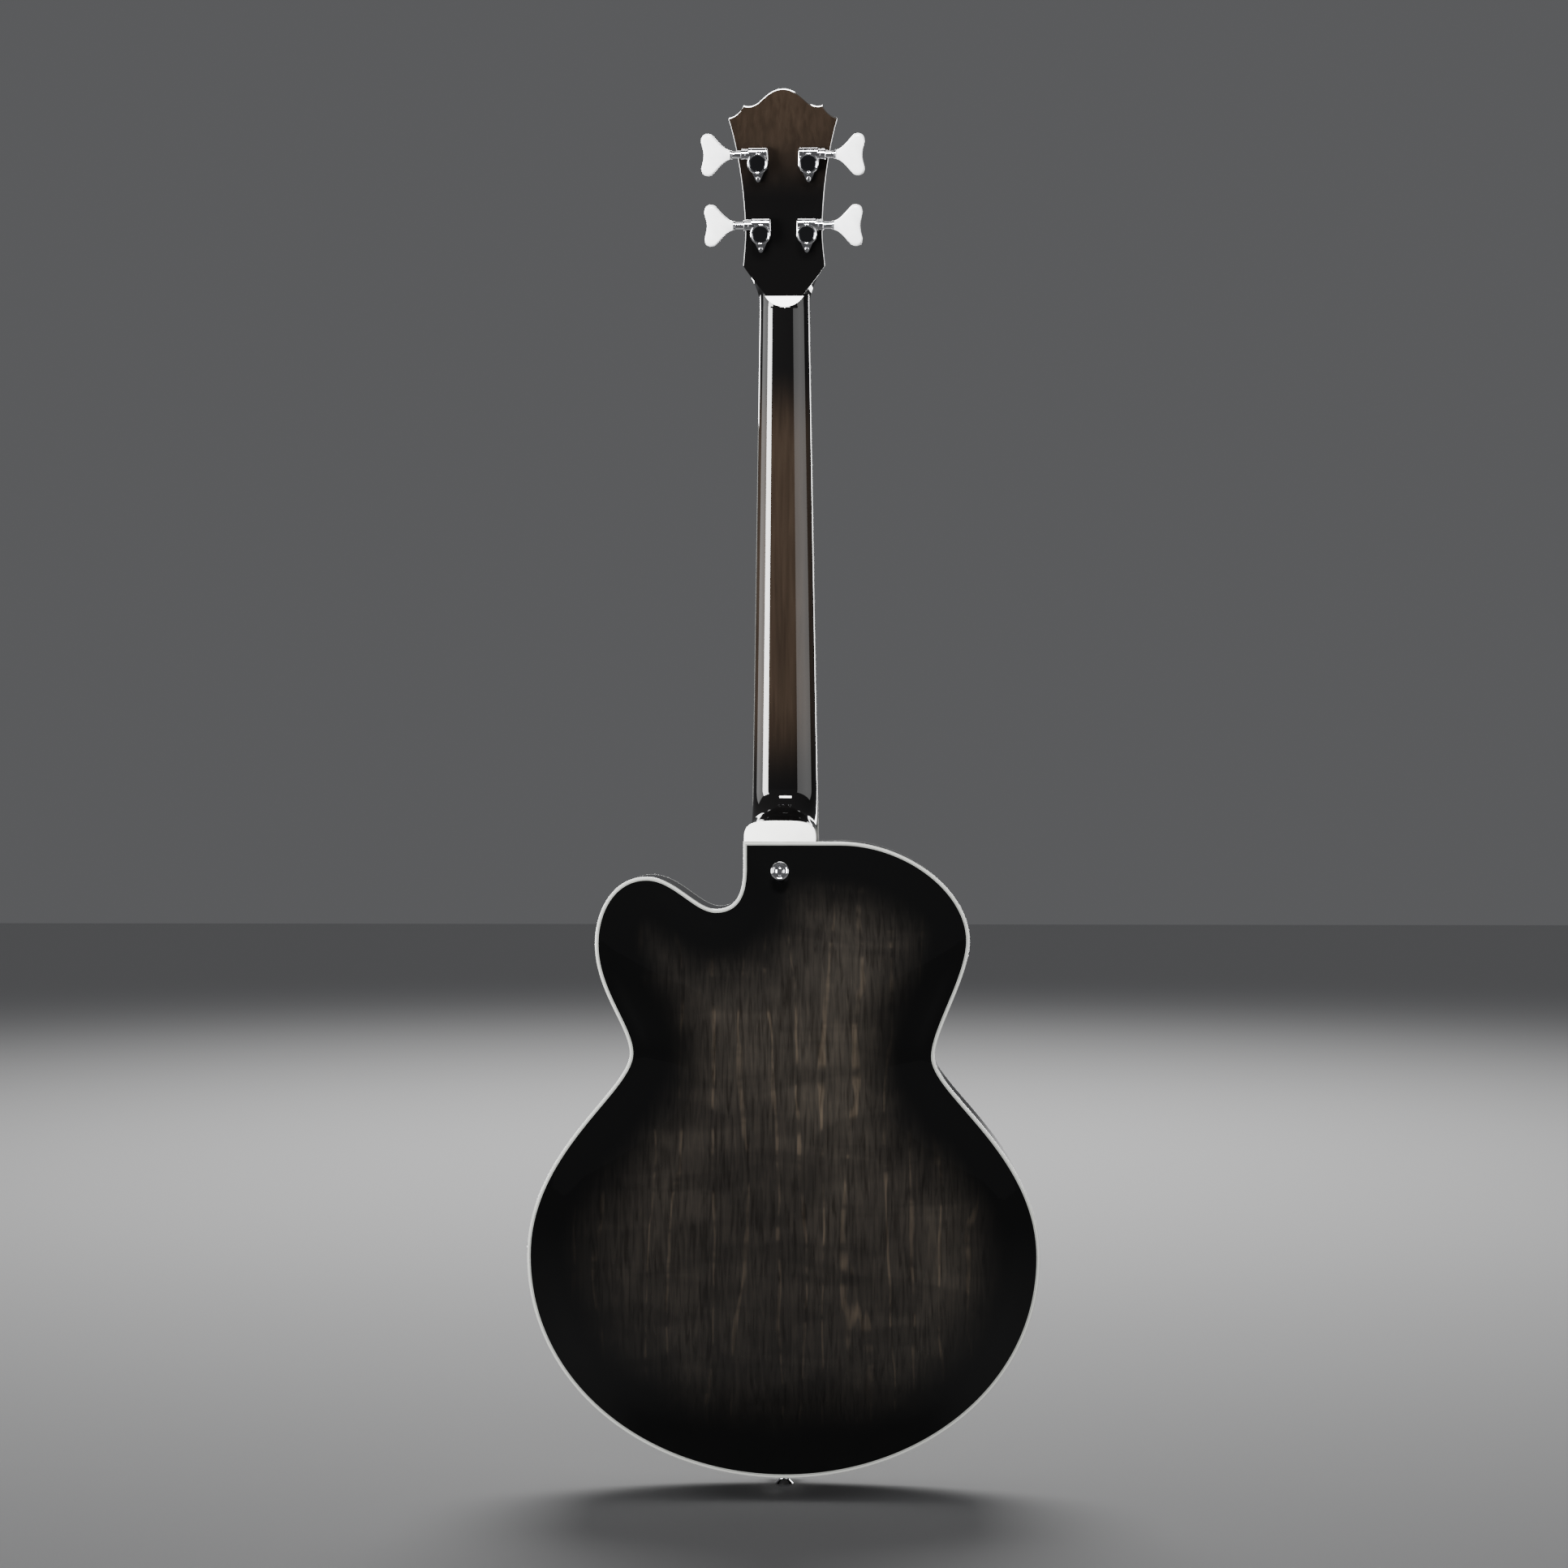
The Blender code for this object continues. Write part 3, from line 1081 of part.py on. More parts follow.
def make_switch(edge, top, finish):
    """The pickup selector: a can under the top, its ring nut and a lever on a ball."""
    spot = (SWITCH_INSET - UPPER_HALF, BODY_LENGTH - UPPER_DROP - SWITCH_DROP)
    frame = surface_frame(*spot, front_y, edge)
    cut([top], "switch_hole", rod(POT_BUSHING + SEAT, -CUT_MARGIN, CUT_MARGIN, CONTROL_SIDES), frame)
    under = PLATE_THICKNESS + RUNNING
    profile = [(SWITCH_CAN_RADIUS, SWITCH_CAN_DEPTH), (SWITCH_CAN_RADIUS, under), (POT_BUSHING, under),
               (POT_BUSHING, -RUNNING), (SWITCH_NUT_RADIUS, -RUNNING),
               (SWITCH_NUT_RADIUS, -SWITCH_NUT_HEIGHT), (SWITCH_BORE + EMBED, -SWITCH_LIP),
               (SWITCH_BORE, SWITCH_BORE_DEPTH)]
    put("switch_body", turned(profile, CONTROL_SIDES), finish["steel"], frame)
    ball = SWITCH_BALL / 3
    shaft = SWITCH_LEVER_RADIUS
    profile = [(shaft, SWITCH_LEVER_TAIL), (shaft, SWITCH_PIVOT), (SWITCH_BALL, ball), (SWITCH_BALL, -ball),
               (shaft, -SWITCH_PIVOT), (shaft, EMBED - SWITCH_TIP_START), (shaft * 1.6, -SWITCH_TIP_START),
               (SWITCH_TIP_RADIUS, shaft * 2.5 - SWITCH_LEVER_LENGTH),
               (SWITCH_BALL, shaft - SWITCH_LEVER_LENGTH), (shaft, -SWITCH_LEVER_LENGTH)]
    pivot = frame @ Matrix.Translation((0, SWITCH_PIVOT, 0))
    put("switch_lever", turned(profile, CONTROL_SIDES), finish["chrome"], pivot)


def make_jack(rim, finish):
    """The output jack through the rim at the lower bout's widest point."""
    frame = BODY_FRAME @ Matrix.Translation((LOWER_HALF, RIM_MIDDLE, LOWER_HEIGHT))
    cut([rim], "jack_hole", rod(JACK_THREAD + SEAT, -CUT_MARGIN, CUT_MARGIN, CONTROL_SIDES, "x"), frame)
    flange = -RIM_WALL - JACK_SEAT
    profile = [(JACK_BORE, JACK_NUT_FACE), (JACK_NUT, JACK_NUT_FACE), (JACK_NUT, JACK_NUT_SEAT),
               (JACK_THREAD, JACK_NUT_SEAT), (JACK_THREAD, flange), (JACK_FLANGE, flange),
               (JACK_FLANGE, -JACK_DEPTH), (JACK_BORE, -JACK_DEPTH)]
    put("output_jack", turned(profile, CONTROL_SIDES, "x", wrap=True), finish["chrome"], frame)


def make_strap_buttons(edge, finish):
    """Mushroom buttons on the back behind the neck block and at the tail."""
    face = BUTTON_HEIGHT
    profile = ((BUTTON_FOOT, SEAT), (BUTTON_FOOT, BUTTON_LIP), (BUTTON_NECK, BUTTON_NECK_LOW),
               (BUTTON_NECK, BUTTON_NECK_HIGH), (BUTTON_RADIUS, face - BUTTON_LIP - EMBED),
               (BUTTON_RADIUS, face - EMBED), (BUTTON_RADIUS - BUTTON_LIP, face),
               (BUTTON_SCREW + EMBED, face - EMBED), (BUTTON_SCREW, face))
    frame = surface_frame(HEEL_BUTTON_X, BODY_LENGTH - HEEL_BUTTON_DROP, back_y, edge)
    put("heel_strap_button", turned(profile, BUTTON_SIDES), finish["chrome"], frame)
    turn = Matrix.Rotation(math.radians(-90), 4, "X")
    frame = BODY_FRAME @ Matrix.Translation((0, RIM_MIDDLE, -SEAT - TAIL_STRIP)) @ turn
    put("end_strap_button", turned(profile, BUTTON_SIDES), finish["chrome"], frame)


def worm(side):
    """A single-start worm on its shaft, along x; every column steps a share of the lead."""
    lead = math.pi * GEAR_MODULE
    crest = WORM_OFFSET - GEAR_RADIUS + GEAR_MODULE * GEAR_ADDENDUM
    root = crest - GEAR_MODULE * (GEAR_ADDENDUM + GEAR_DEDENDUM)
    half_thick = (lead - MESH_BACKLASH) / 4
    base = half_thick + GEAR_MODULE * 0.30
    tip = half_thick - GEAR_MODULE * 0.30
    start = -WORM_TURNS * lead / 2 - lead * WORM_PHASE
    bm = bmesh.new()

    def vertex(x, radius, column):
        angle = math.tau * column / WORM_COLUMNS
        return bm.verts.new((side * x, radius * math.cos(angle), radius * math.sin(angle)))

    corners = []
    for column in range(WORM_COLUMNS):
        row = []
        for turn in range(WORM_TURNS):
            middle = start + lead * (turn + 0.5 + column / WORM_COLUMNS)
            row += [vertex(middle - base, root, column), vertex(middle - tip, crest, column),
                    vertex(middle + tip, crest, column), vertex(middle + base, root, column)]
        corners.append(row)
    inner_end = [vertex(-WORM_END, root, column) for column in range(WORM_COLUMNS)]
    ferrule_start = BUTTON_START - SEAT - FERRULE_LENGTH
    rows = []
    for x, radius in ((WORM_NECK, root), (WORM_NECK + EMBED, SHAFT_RADIUS), (ferrule_start, SHAFT_RADIUS),
                      (ferrule_start, FERRULE_RADIUS), (BUTTON_START - SEAT, FERRULE_RADIUS)):
        rows.append([vertex(x, radius, column) for column in range(WORM_COLUMNS)])
    neck_ring = rows[0]
    count = 4 * WORM_TURNS
    for column in range(WORM_COLUMNS - 1):
        left, right = corners[column], corners[column + 1]
        bm.faces.new((inner_end[column], inner_end[column + 1], right[0], left[0]))
        for k in range(count - 1):
            bm.faces.new((left[k], right[k], right[k + 1], left[k + 1]))
        bm.faces.new((left[-1], right[-1], neck_ring[column + 1], neck_ring[column]))
    # The last column meets the first one turn further on, so its end faces are longer
    last, first = corners[-1], corners[0]
    bm.faces.new([inner_end[-1], inner_end[0]] + first[:5] + [last[0]])
    for k in range(count - 5):
        bm.faces.new((last[k], first[k + 4], first[k + 5], last[k + 1]))
    bm.faces.new([last[count - 5], first[-1], neck_ring[0], neck_ring[-1]] + last[:count - 5:-1])
    for lower, upper in zip(rows, rows[1:]):
        for i in range(WORM_COLUMNS):
            j = (i + 1) % WORM_COLUMNS
            bm.faces.new((lower[i], lower[j], upper[j], upper[i]))
    bm.faces.new(inner_end)
    bm.faces.new(rows[-1])
    return bm


def worm_wheel(side):
    """The wheel on the string post, along y, its teeth leaning with the worm's lead."""
    root_radius = GEAR_RADIUS - GEAR_MODULE * GEAR_DEDENDUM
    pitch = math.tau / GEAR_TEETH
    thick = pitch / 2 - MESH_BACKLASH / 2 / GEAR_RADIUS
    worm_radius = WORM_OFFSET - GEAR_RADIUS
    swing = side * GEAR_FACE / 2 * (GEAR_MODULE / 2 / worm_radius) / GEAR_RADIUS
    flank = ((GEAR_LAND, GEAR_TIP), (GEAR_FOOT, root_radius))
    flanks = [(-offset, radius) for offset, radius in flank[::-1]] + list(flank)
    rings = []
    for y, turn in ((WORM_LIFT + GEAR_FACE / 2, -swing), (WORM_LIFT - GEAR_FACE / 2, swing)):
        points = []
        for tooth in range(GEAR_TEETH):
            middle = pitch * (tooth + 0.5) + math.pi / 2 + turn
            for offset, radius in flanks:
                angle = middle + offset * thick
                points.append((radius * math.cos(angle), y, radius * math.sin(angle)))
        rings.append(points)
    return loft(rings)


def make_post(name, side, frame, finish):
    """The string post, which the worm wheel turns; -y is the head's front."""
    front = HEAD_FRONT - HEAD_WOOD
    shank = POST_SHANK - POST_CLEARANCE
    shank_end = front - BUSHING_RISE - SEAT
    end = front - POST_RISE
    lip = POST_RADIUS + POST_LIP
    profile = [(shank, WORM_LIFT - GEAR_FACE / 2 + EMBED), (shank, shank_end - POST_LIP / 3),
               (lip, shank_end - POST_LIP / 2), (POST_RADIUS, shank_end - POST_LIP * 1.5),
               (POST_RADIUS, end + POST_TOP), (lip, end + 4 * POST_LIP), (lip, end + POST_LIP),
               (POST_RADIUS - POST_CLEARANCE, end)]
    post = put(f"{name}_post", worm_wheel(side), finish["steel"], frame)
    join(post, f"{name}_post_form", turned(profile, POST_SIDES), frame)


def make_housing(name, side, frame, worm_axis, finish):
    """A machine's cast housing with its bushing through the head, its gear chamber and its bores."""
    half, top = HOUSING_HALF, HOUSING_TOP
    corner = HOUSING_CORNER
    outline = [(half, top - corner), (half - corner, top), (corner - half, top), (-half, top - corner)]
    arc = []
    for i in range(11):
        angle = math.pi + math.pi * i / 10
        arc.append((HOUSING_RING * math.cos(angle), HOUSING_RING * math.sin(angle)))
    lug_edge = HOUSING_EDGE - HOUSING_LUG
    lug = [(-HOUSING_LUG_TIP, lug_edge), (0, -HOUSING_LUG), (HOUSING_LUG_TIP, lug_edge)]
    outline += arc[:3] + lug + arc[8:]
    plinth = prism([(side * x, z) for x, z in outline], SEAT, HOUSING_BASE)
    base = put(f"{name}_housing", plinth, finish["chrome"], frame)
    ring = HOUSING_RING - NECK_UNDERCUT
    barrel = [(ring, HOUSING_BASE / 2), (ring, HOUSING_HEIGHT - HOUSING_EDGE),
              (ring - HOUSING_EDGE, HOUSING_HEIGHT)]
    join(base, f"{name}_barrel_form", turned(barrel, BARREL_SIDES), frame)
    low, high = WORM_OFFSET - WORM_BAR_BELOW, top - NECK_UNDERCUT
    back = HOUSING_HEIGHT - SEAT
    section = [(HOUSING_BASE / 2, low), (HOUSING_BASE / 2, high), (back, high),
               (WORM_LIFT + WORM_BAR_HALF - SEAT, WORM_OFFSET + WORM_BAR_HALF * 0.76),
               (WORM_LIFT + WORM_BAR_HALF, WORM_OFFSET), (back, low)]
    ends = (SEAT - half, half - SEAT)
    join(base, f"{name}_bar_form", loft([[(side * x, y, z) for y, z in section] for x in ends]), frame)
    collar = rod(COLLAR_RADIUS, side * HOUSING_BASE / 2, side * COLLAR_END, TUNER_SIDES, "x")
    join(base, f"{name}_collar_form", collar, worm_axis)
    front = HEAD_FRONT - HEAD_WOOD - SEAT
    bushing = [(BUSHING_RADIUS, HOUSING_BASE / 3), (BUSHING_RADIUS, front), (BUSHING_FLANGE, front),
               (BUSHING_FLANGE - HOUSING_EDGE, front - BUSHING_RISE + SEAT)]
    join(base, f"{name}_bushing_form", turned(bushing, TUNER_SIDES), frame)

    chamber_front = WORM_LIFT - GEAR_FACE / 2 - RUNNING
    chamber = rod(GEAR_TIP + RUNNING, chamber_front, WORM_LIFT + GEAR_FACE / 2 + RUNNING, BARREL_SIDES)
    cut([base], f"{name}_chamber", chamber, frame)
    cut([base], f"{name}_post_bore", rod(POST_SHANK, WORM_LIFT, front - CUT_MARGIN, POST_SIDES), frame)
    bore_ends = (-side * (WORM_END + RUNNING), side * (COLLAR_END + CUT_MARGIN))
    worm_bore = rod(WORM_BORE, *bore_ends, TUNER_SIDES, "x")
    cut([base], f"{name}_worm_bore", worm_bore, worm_axis)


def make_tuner_button(name, side, worm_axis, finish):
    """A two-lobed button with a dished outer edge, thinner at its stem."""
    start, end = BUTTON_START, BUTTON_END
    lobe = TUNER_BUTTON_SPAN / 2
    stem = (start, BUTTON_STEM)
    top = (end - BUTTON_LOBE, lobe - EMBED)
    side_edge = (end - SEAT, lobe * 0.62)
    dish = (end - BUTTON_DISH, 0)
    upper = [stem] + bezier(stem, (start + 0.22 * (end - start), BUTTON_STEM * 1.25),
                            (top[0] - 0.18 * (end - start), lobe * 0.75), top, 4)[1:]
    upper += bezier(top, (end - BUTTON_LOBE * 0.65, lobe * 1.06), (end, lobe * 1.06), side_edge, 4)
    upper += bezier(side_edge, (end - BUTTON_DISH / 2, lobe * 0.40), (dish[0], lobe * 0.22), dish, 2)
    outline = upper + [dish] + [(x, -z) for x, z in upper[::-1]]
    centre = (start + end) / 2
    rings = []
    for share, y in ((TUNER_BUTTON_EDGE, -0.5), (1.0, -0.22), (1.0, 0.22), (TUNER_BUTTON_EDGE, 0.5)):
        row = []
        for x, z in outline:
            swell = min((x - start) / BUTTON_STEM_LENGTH, 1.0)
            depth = BUTTON_STEM_DEPTH + (TUNER_BUTTON_THICKNESS - BUTTON_STEM_DEPTH) * swell
            narrow = 1 - (1 - share) * (0.35 + 0.65 * swell)
            reach = 0.5 + 0.5 * share if x > centre else 1.0
            row.append((side * (centre + (x - centre) * reach), y * depth, z * narrow))
        rings.append(row)
    put(f"{name}_button", loft(rings), finish["white"], worm_axis)


def make_tuner(name, side, place, bored, finish):
    """One tuning machine: housing with its bushing, worm shaft, button and string post."""
    frame = HEAD_FRAME @ Matrix.Translation((side * place[0], HEAD_WOOD, place[1]))
    worm_axis = frame @ Matrix.Translation((0, WORM_LIFT, WORM_OFFSET))
    make_housing(name, side, frame, worm_axis, finish)
    bore = rod(BUSHING_RADIUS + SEAT, CUT_MARGIN, -HEAD_WOOD - CUT_MARGIN, TUNER_SIDES)
    cut(bored, f"{name}_head_bore", bore, frame)
    put(f"{name}_worm_shaft", worm(side), finish["steel"], worm_axis)
    make_tuner_button(name, side, worm_axis, finish)
    make_post(name, side, frame, finish)


def string_path(i, side, place, edge):
    """A string's route from the tailpiece over bridge and nut to its turns on the post."""
    radius = STRING_RADII[i]
    tail_x = bridge_x(i) * TAIL_SPREAD
    tail_y = tail_bar_y(edge)
    anchor = (TAIL_BAR_HEIGHT - SEAT, TAIL_BAR_HEIGHT + TAIL_BAR_WIDTH / 2 + TAIL_FRAME / 2)
    points = [BODY_FRAME @ Vector((tail_x, tail_y, z)) for z in anchor]
    saddle = NECK_FRAME @ Vector((bridge_x(i), string_bridge_y(), -SCALE_LENGTH))
    points += [saddle - Vector((0, 0, STRING_BEND)), saddle + Vector((0, 0, STRING_BEND))]
    nut_ends = (-NUT_CORNER, NUT_THICKNESS + EMBED)
    points += [NECK_FRAME @ Vector((nut_x(i), string_nut_y(i), z)) for z in nut_ends]

    coil = (POST_RADIUS + radius + SEAT) / math.cos(math.pi / WRAP_SIDES)
    level = HEAD_FRONT - POST_RISE + WRAP_LEVEL + radius
    centre = Vector((side * place[0], place[1]))
    nut_in_head = HEAD_FRAME.inverted() @ points[-1]
    to_post = centre - Vector((nut_in_head.x, nut_in_head.z))
    lean = math.asin(coil / to_post.length)
    start_angle = math.atan2(to_post.y, to_post.x) + side * (lean + math.pi / 2)
    pitch = 2 * radius + WRAP_GAP
    for k in range(WRAP_TURNS * WRAP_SIDES + 1):
        angle = start_angle - side * math.tau * k / WRAP_SIDES
        x, z = centre.x + coil * math.cos(angle), centre.y + coil * math.sin(angle)
        points.append(HEAD_FRAME @ Vector((x, level + pitch * k / WRAP_SIDES, z)))
    return points


def least_turn_gap(points, radius):
    """The least gap between a point of a string's winding and the ones a turn or more further on."""
    wound = points[-WRAP_TURNS * WRAP_SIDES - 1:]
    gaps = []
    for i, point in enumerate(wound):
        gaps += [(point - other).length - 2 * radius for other in wound[i + WRAP_SIDES:]]
    return min(gaps)


def make_string(name, points, radius, mat):
    """A taut string as a bevelled poly curve."""
    curve = bpy.data.curves.new(name, "CURVE")
    curve.dimensions = "3D"
    curve.bevel_depth = radius
    curve.bevel_resolution = 1
    curve.use_fill_caps = True
    spline = curve.splines.new("POLY")
    spline.points.add(len(points) - 1)
    for slot, point in zip(spline.points, points):
        slot.co = (*point, 1)
    curve.materials.append(mat)
    obj = bpy.data.objects.new(name, curve)
    bpy.context.scene.collection.objects.link(obj)


def make_finishes():
    """The materials of the pieces, by name."""
    return {
        "wood": material("stained_maple", (0.030, 0.024, 0.020), 0.15),
        "neck_wood": material("stained_neck", (0.075, 0.052, 0.038), 0.15),
        "inner_wood": material("raw_mahogany", (0.35, 0.20, 0.11), 0.6),
        "pale": material("raw_spruce", (0.60, 0.44, 0.26), 0.6),
        "cream": material("cream_plastic", (0.85, 0.84, 0.78), 0.25),
        "white": material("white_plastic", (0.90, 0.90, 0.90), 0.2),
        "black": material("black_plastic", (0.012, 0.012, 0.012), 0.2),
        "rosewood": material("rosewood", (0.045, 0.022, 0.014), 0.45),
        "bone": material("bone", (0.80, 0.75, 0.62), 0.4),
        "chrome": material("chrome", (0.80, 0.80, 0.82), 0.08, 1.0),
        "bright": material("bright_metal", (0.78, 0.78, 0.80), 0.12, 1.0),
        "steel": material("steel", (0.55, 0.55, 0.56), 0.3, 1.0),
    }


def main():
    for obj in list(bpy.data.objects):
        bpy.data.objects.remove(obj, do_unlink=True)
    finish = make_finishes()
    edge = inset(body_outline(), BINDING_WIDTH + SEAT)
    body = make_body(edge, finish)
    top = body["top_plate"]
    cut_fholes(top)
    bored = make_head_trim(make_neck(body, finish), finish)
    make_board(finish)
    make_bridge(edge, finish)
    make_tailpiece(edge, finish)
    make_pickups(edge, top, finish)
    make_knobs(edge, top, finish)
    make_switch(edge, top, finish)
    make_jack(body["rim"], finish)
    make_strap_buttons(edge, finish)
    machines = ((-1, TUNER_PLACES[0]), (-1, TUNER_PLACES[1]), (1, TUNER_PLACES[1]), (1, TUNER_PLACES[0]))
    for i, (side, place) in enumerate(machines):
        make_tuner(f"{STRING_NAMES[i][0]}_tuner", side, place, bored, finish)
        points = string_path(i, side, place, edge)
        make_string(STRING_NAMES[i], points, STRING_RADII[i], finish["steel"])
        gap = least_turn_gap(points, STRING_RADII[i])
        print(f"{STRING_NAMES[i]}: least gap in its winding {gap * 1000:.2f} mm")
    bpy.context.view_layer.update()


main()
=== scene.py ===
import bpy
import bmesh
import json
import math
import numpy
from mathutils import Matrix, Vector


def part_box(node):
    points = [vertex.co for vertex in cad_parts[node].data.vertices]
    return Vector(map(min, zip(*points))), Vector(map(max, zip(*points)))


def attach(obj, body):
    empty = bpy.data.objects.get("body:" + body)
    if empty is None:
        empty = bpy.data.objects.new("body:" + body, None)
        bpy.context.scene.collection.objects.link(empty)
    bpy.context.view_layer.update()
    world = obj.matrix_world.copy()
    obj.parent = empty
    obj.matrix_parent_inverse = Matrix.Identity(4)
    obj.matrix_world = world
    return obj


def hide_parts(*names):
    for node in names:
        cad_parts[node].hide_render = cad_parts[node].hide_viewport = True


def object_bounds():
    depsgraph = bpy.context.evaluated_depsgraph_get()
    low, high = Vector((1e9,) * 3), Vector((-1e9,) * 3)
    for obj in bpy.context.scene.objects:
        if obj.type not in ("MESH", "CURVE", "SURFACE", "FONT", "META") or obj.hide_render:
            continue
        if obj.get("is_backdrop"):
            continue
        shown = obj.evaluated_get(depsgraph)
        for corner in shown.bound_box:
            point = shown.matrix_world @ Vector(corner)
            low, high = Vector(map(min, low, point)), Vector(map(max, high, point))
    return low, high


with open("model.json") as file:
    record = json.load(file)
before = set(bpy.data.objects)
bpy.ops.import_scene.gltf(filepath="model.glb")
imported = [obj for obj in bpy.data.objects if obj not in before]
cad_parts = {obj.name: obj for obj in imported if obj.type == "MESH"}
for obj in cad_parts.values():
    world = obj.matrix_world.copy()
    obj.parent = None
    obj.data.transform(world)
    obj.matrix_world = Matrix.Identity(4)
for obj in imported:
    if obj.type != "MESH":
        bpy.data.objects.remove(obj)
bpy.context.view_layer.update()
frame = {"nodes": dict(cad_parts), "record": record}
print("frame loaded:", len(frame["nodes"]), "nodes")

neckAngle = math.radians(3)
headAngle = math.radians(14)
nutThickness = 0.005
seat = 0.0003                # room between pieces that touch
scaleLength = 0.770
boardLength = 0.53597        # nut to the fingerboard's end
jointDistance = 0.42700      # nut to the body
neckFrame = Matrix.Rotation(-neckAngle, 4, "X")
headFrame = neckFrame @ Matrix.Translation((0, 0, nutThickness)) @ Matrix.Rotation(-headAngle, 4, "X")
rimLow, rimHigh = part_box("top_binding")[0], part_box("back_binding")[1]
bodyFrame = Matrix.Translation((0, rimLow[1], rimLow[2]))   # front edge of the rim at the body's lowest point
rimDepth = rimHigh[1] - rimLow[1]
bodyLength = rimHigh[2] - rimLow[2]


# camera and light

viewSettings = {
    "distance": 2.20,        # from the body's back edge to the lens
    "backPlane": 0.05365,    # y of the back's bound edge
    "frameWidth": 1.2307,    # metres across the picture at that edge
    "aimX": -0.0600,
    "aimZ": -0.3810,
    "yaw": 1.54,
}
studio = {
    "surround": (0.108, 0.109, 0.113),
    "floorColour": (0.72, 0.72, 0.72),
    "floorGap": 0.004,
    "floorHalf": 9.0,
    "lamps": {               # name: place, aim, size, power, spread in degrees
        "neckStrip": ((1.24, 1.04, -0.17), (0.0, 0.03, -0.21), (0.62, 0.96), 48, 120),
        "neckStripWide": ((1.60, 0.20, -0.17), (0.0, 0.03, -0.21), (1.26, 0.96), 6, 120),
        "greyPanel": ((-1.40, 1.05, -0.16), (0.0, 0.03, -0.20), (2.05, 0.94), 9, 140),
        "topBox": ((0.0, 1.75, 1.28), (0, 0.03, -0.05), (0.70, 0.40), 40, 100),
        "frontBox": ((0.7, -2.3, 0.7), (0, 0, -0.5), (1.6, 1.0), 36, 120),
        "frontSide": ((-1.2, -2.4, -0.2), (0, 0, -0.5), (0.5, 1.8), 20, 120),
    },
    "neckOnly": ("neckStrip", "neckStripWide", "greyPanel"),
    "floorWash": ((0.0, -2.2, 2.4), (0, -2.0, -0.9), (2.5, 2.0), 34, 90),
}


def makeCamera(s):
    data = bpy.data.cameras.new("photoCamera")
    data.sensor_width = 36
    data.lens = 36 * s["distance"] / s["frameWidth"]
    data.clip_end = 50
    camera = bpy.data.objects.new("photoCamera", data)
    bpy.context.scene.collection.objects.link(camera)
    camera.location = (s["aimX"], s["backPlane"] + s["distance"], s["aimZ"])
    camera.rotation_euler = (math.radians(90), 0, math.radians(180 + s["yaw"]))
    bpy.context.scene.camera = camera


def areaLight(name, place, aim, size, power, spread, receivers):
    data = bpy.data.lights.new(name, "AREA")
    data.shape = "RECTANGLE"
    data.size, data.size_y = size
    data.energy = power
    data.spread = math.radians(spread)
    lamp = bpy.data.objects.new(name, data)
    bpy.context.scene.collection.objects.link(lamp)
    lamp.location = place
    lamp.rotation_euler = (Vector(aim) - Vector(place)).to_track_quat("-Z", "Y").to_euler()
    lamp.light_linking.receiver_collection = receivers


offFloor = bpy.data.collections.new("offFloor")   # the boxes light the object and leave the floor to its own lamp
offBody = bpy.data.collections.new("offBody")     # the neck's strips leave the arched back dark too


def keepOff(collection, piece):
    collection.objects.link(piece)
    collection.collection_objects[-1].light_linking.link_state = "EXCLUDE"


def makeStage(s):
    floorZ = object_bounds()[0][2] - s["floorGap"]
    half = s["floorHalf"]
    mesh = bpy.data.meshes.new("floor")
    corners = [(-half, -half, floorZ), (half, -half, floorZ), (half, half, floorZ), (-half, half, floorZ)]
    mesh.from_pydata(corners, [], [(0, 1, 2, 3)])
    floor = bpy.data.objects.new("floor", mesh)
    bpy.context.scene.collection.objects.link(floor)
    mat = bpy.data.materials.new("paleFloor")
    mat.use_nodes = True
    shader = mat.node_tree.nodes["Principled BSDF"]
    shader.inputs["Base Color"].default_value = (*s["floorColour"], 1)
    shader.inputs["Roughness"].default_value = 0.8
    mesh.materials.append(mat)
    floor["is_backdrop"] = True
    world = bpy.data.worlds.new("studio")
    bpy.context.scene.world = world
    world.use_nodes = True
    world.node_tree.nodes["Background"].inputs["Color"].default_value = (*s["surround"], 1)
    keepOff(offFloor, floor)
    keepOff(offBody, floor)
    for name, settings in s["lamps"].items():
        areaLight(name, *settings, offBody if name in s["neckOnly"] else offFloor)
    areaLight("floorWash", *s["floorWash"], None)


makeCamera(viewSettings)
makeStage(studio)
print("camera and light set")


# finishes


def newFinish(name, metallic=0.0, roughness=0.3, coat=0.0, specular=0.5):
    mat = bpy.data.materials.new(name)
    mat.use_nodes = True
    shader = mat.node_tree.nodes["Principled BSDF"]
    shader.inputs["Metallic"].default_value = metallic
    shader.inputs["Roughness"].default_value = roughness
    shader.inputs["Specular IOR Level"].default_value = specular
    if coat:
        shader.inputs["Coat Weight"].default_value = coat
        shader.inputs["Coat Roughness"].default_value = 0.03
    return mat, mat.node_tree.nodes, mat.node_tree.links, shader


def mapped(nodes, links, scale, source="Object"):
    place = nodes.new("ShaderNodeTexCoord")
    mapping = nodes.new("ShaderNodeMapping")
    mapping.inputs["Scale"].default_value = scale
    links.new(place.outputs[source], mapping.inputs["Vector"])
    return mapping.outputs["Vector"]


def noiseOn(nodes, links, vector, scale, detail=4.0, distortion=0.0):
    noise = nodes.new("ShaderNodeTexNoise")
    noise.inputs["Scale"].default_value = scale
    noise.inputs["Detail"].default_value = detail
    noise.inputs["Distortion"].default_value = distortion
    links.new(vector, noise.inputs["Vector"])
    return noise.outputs["Fac"]


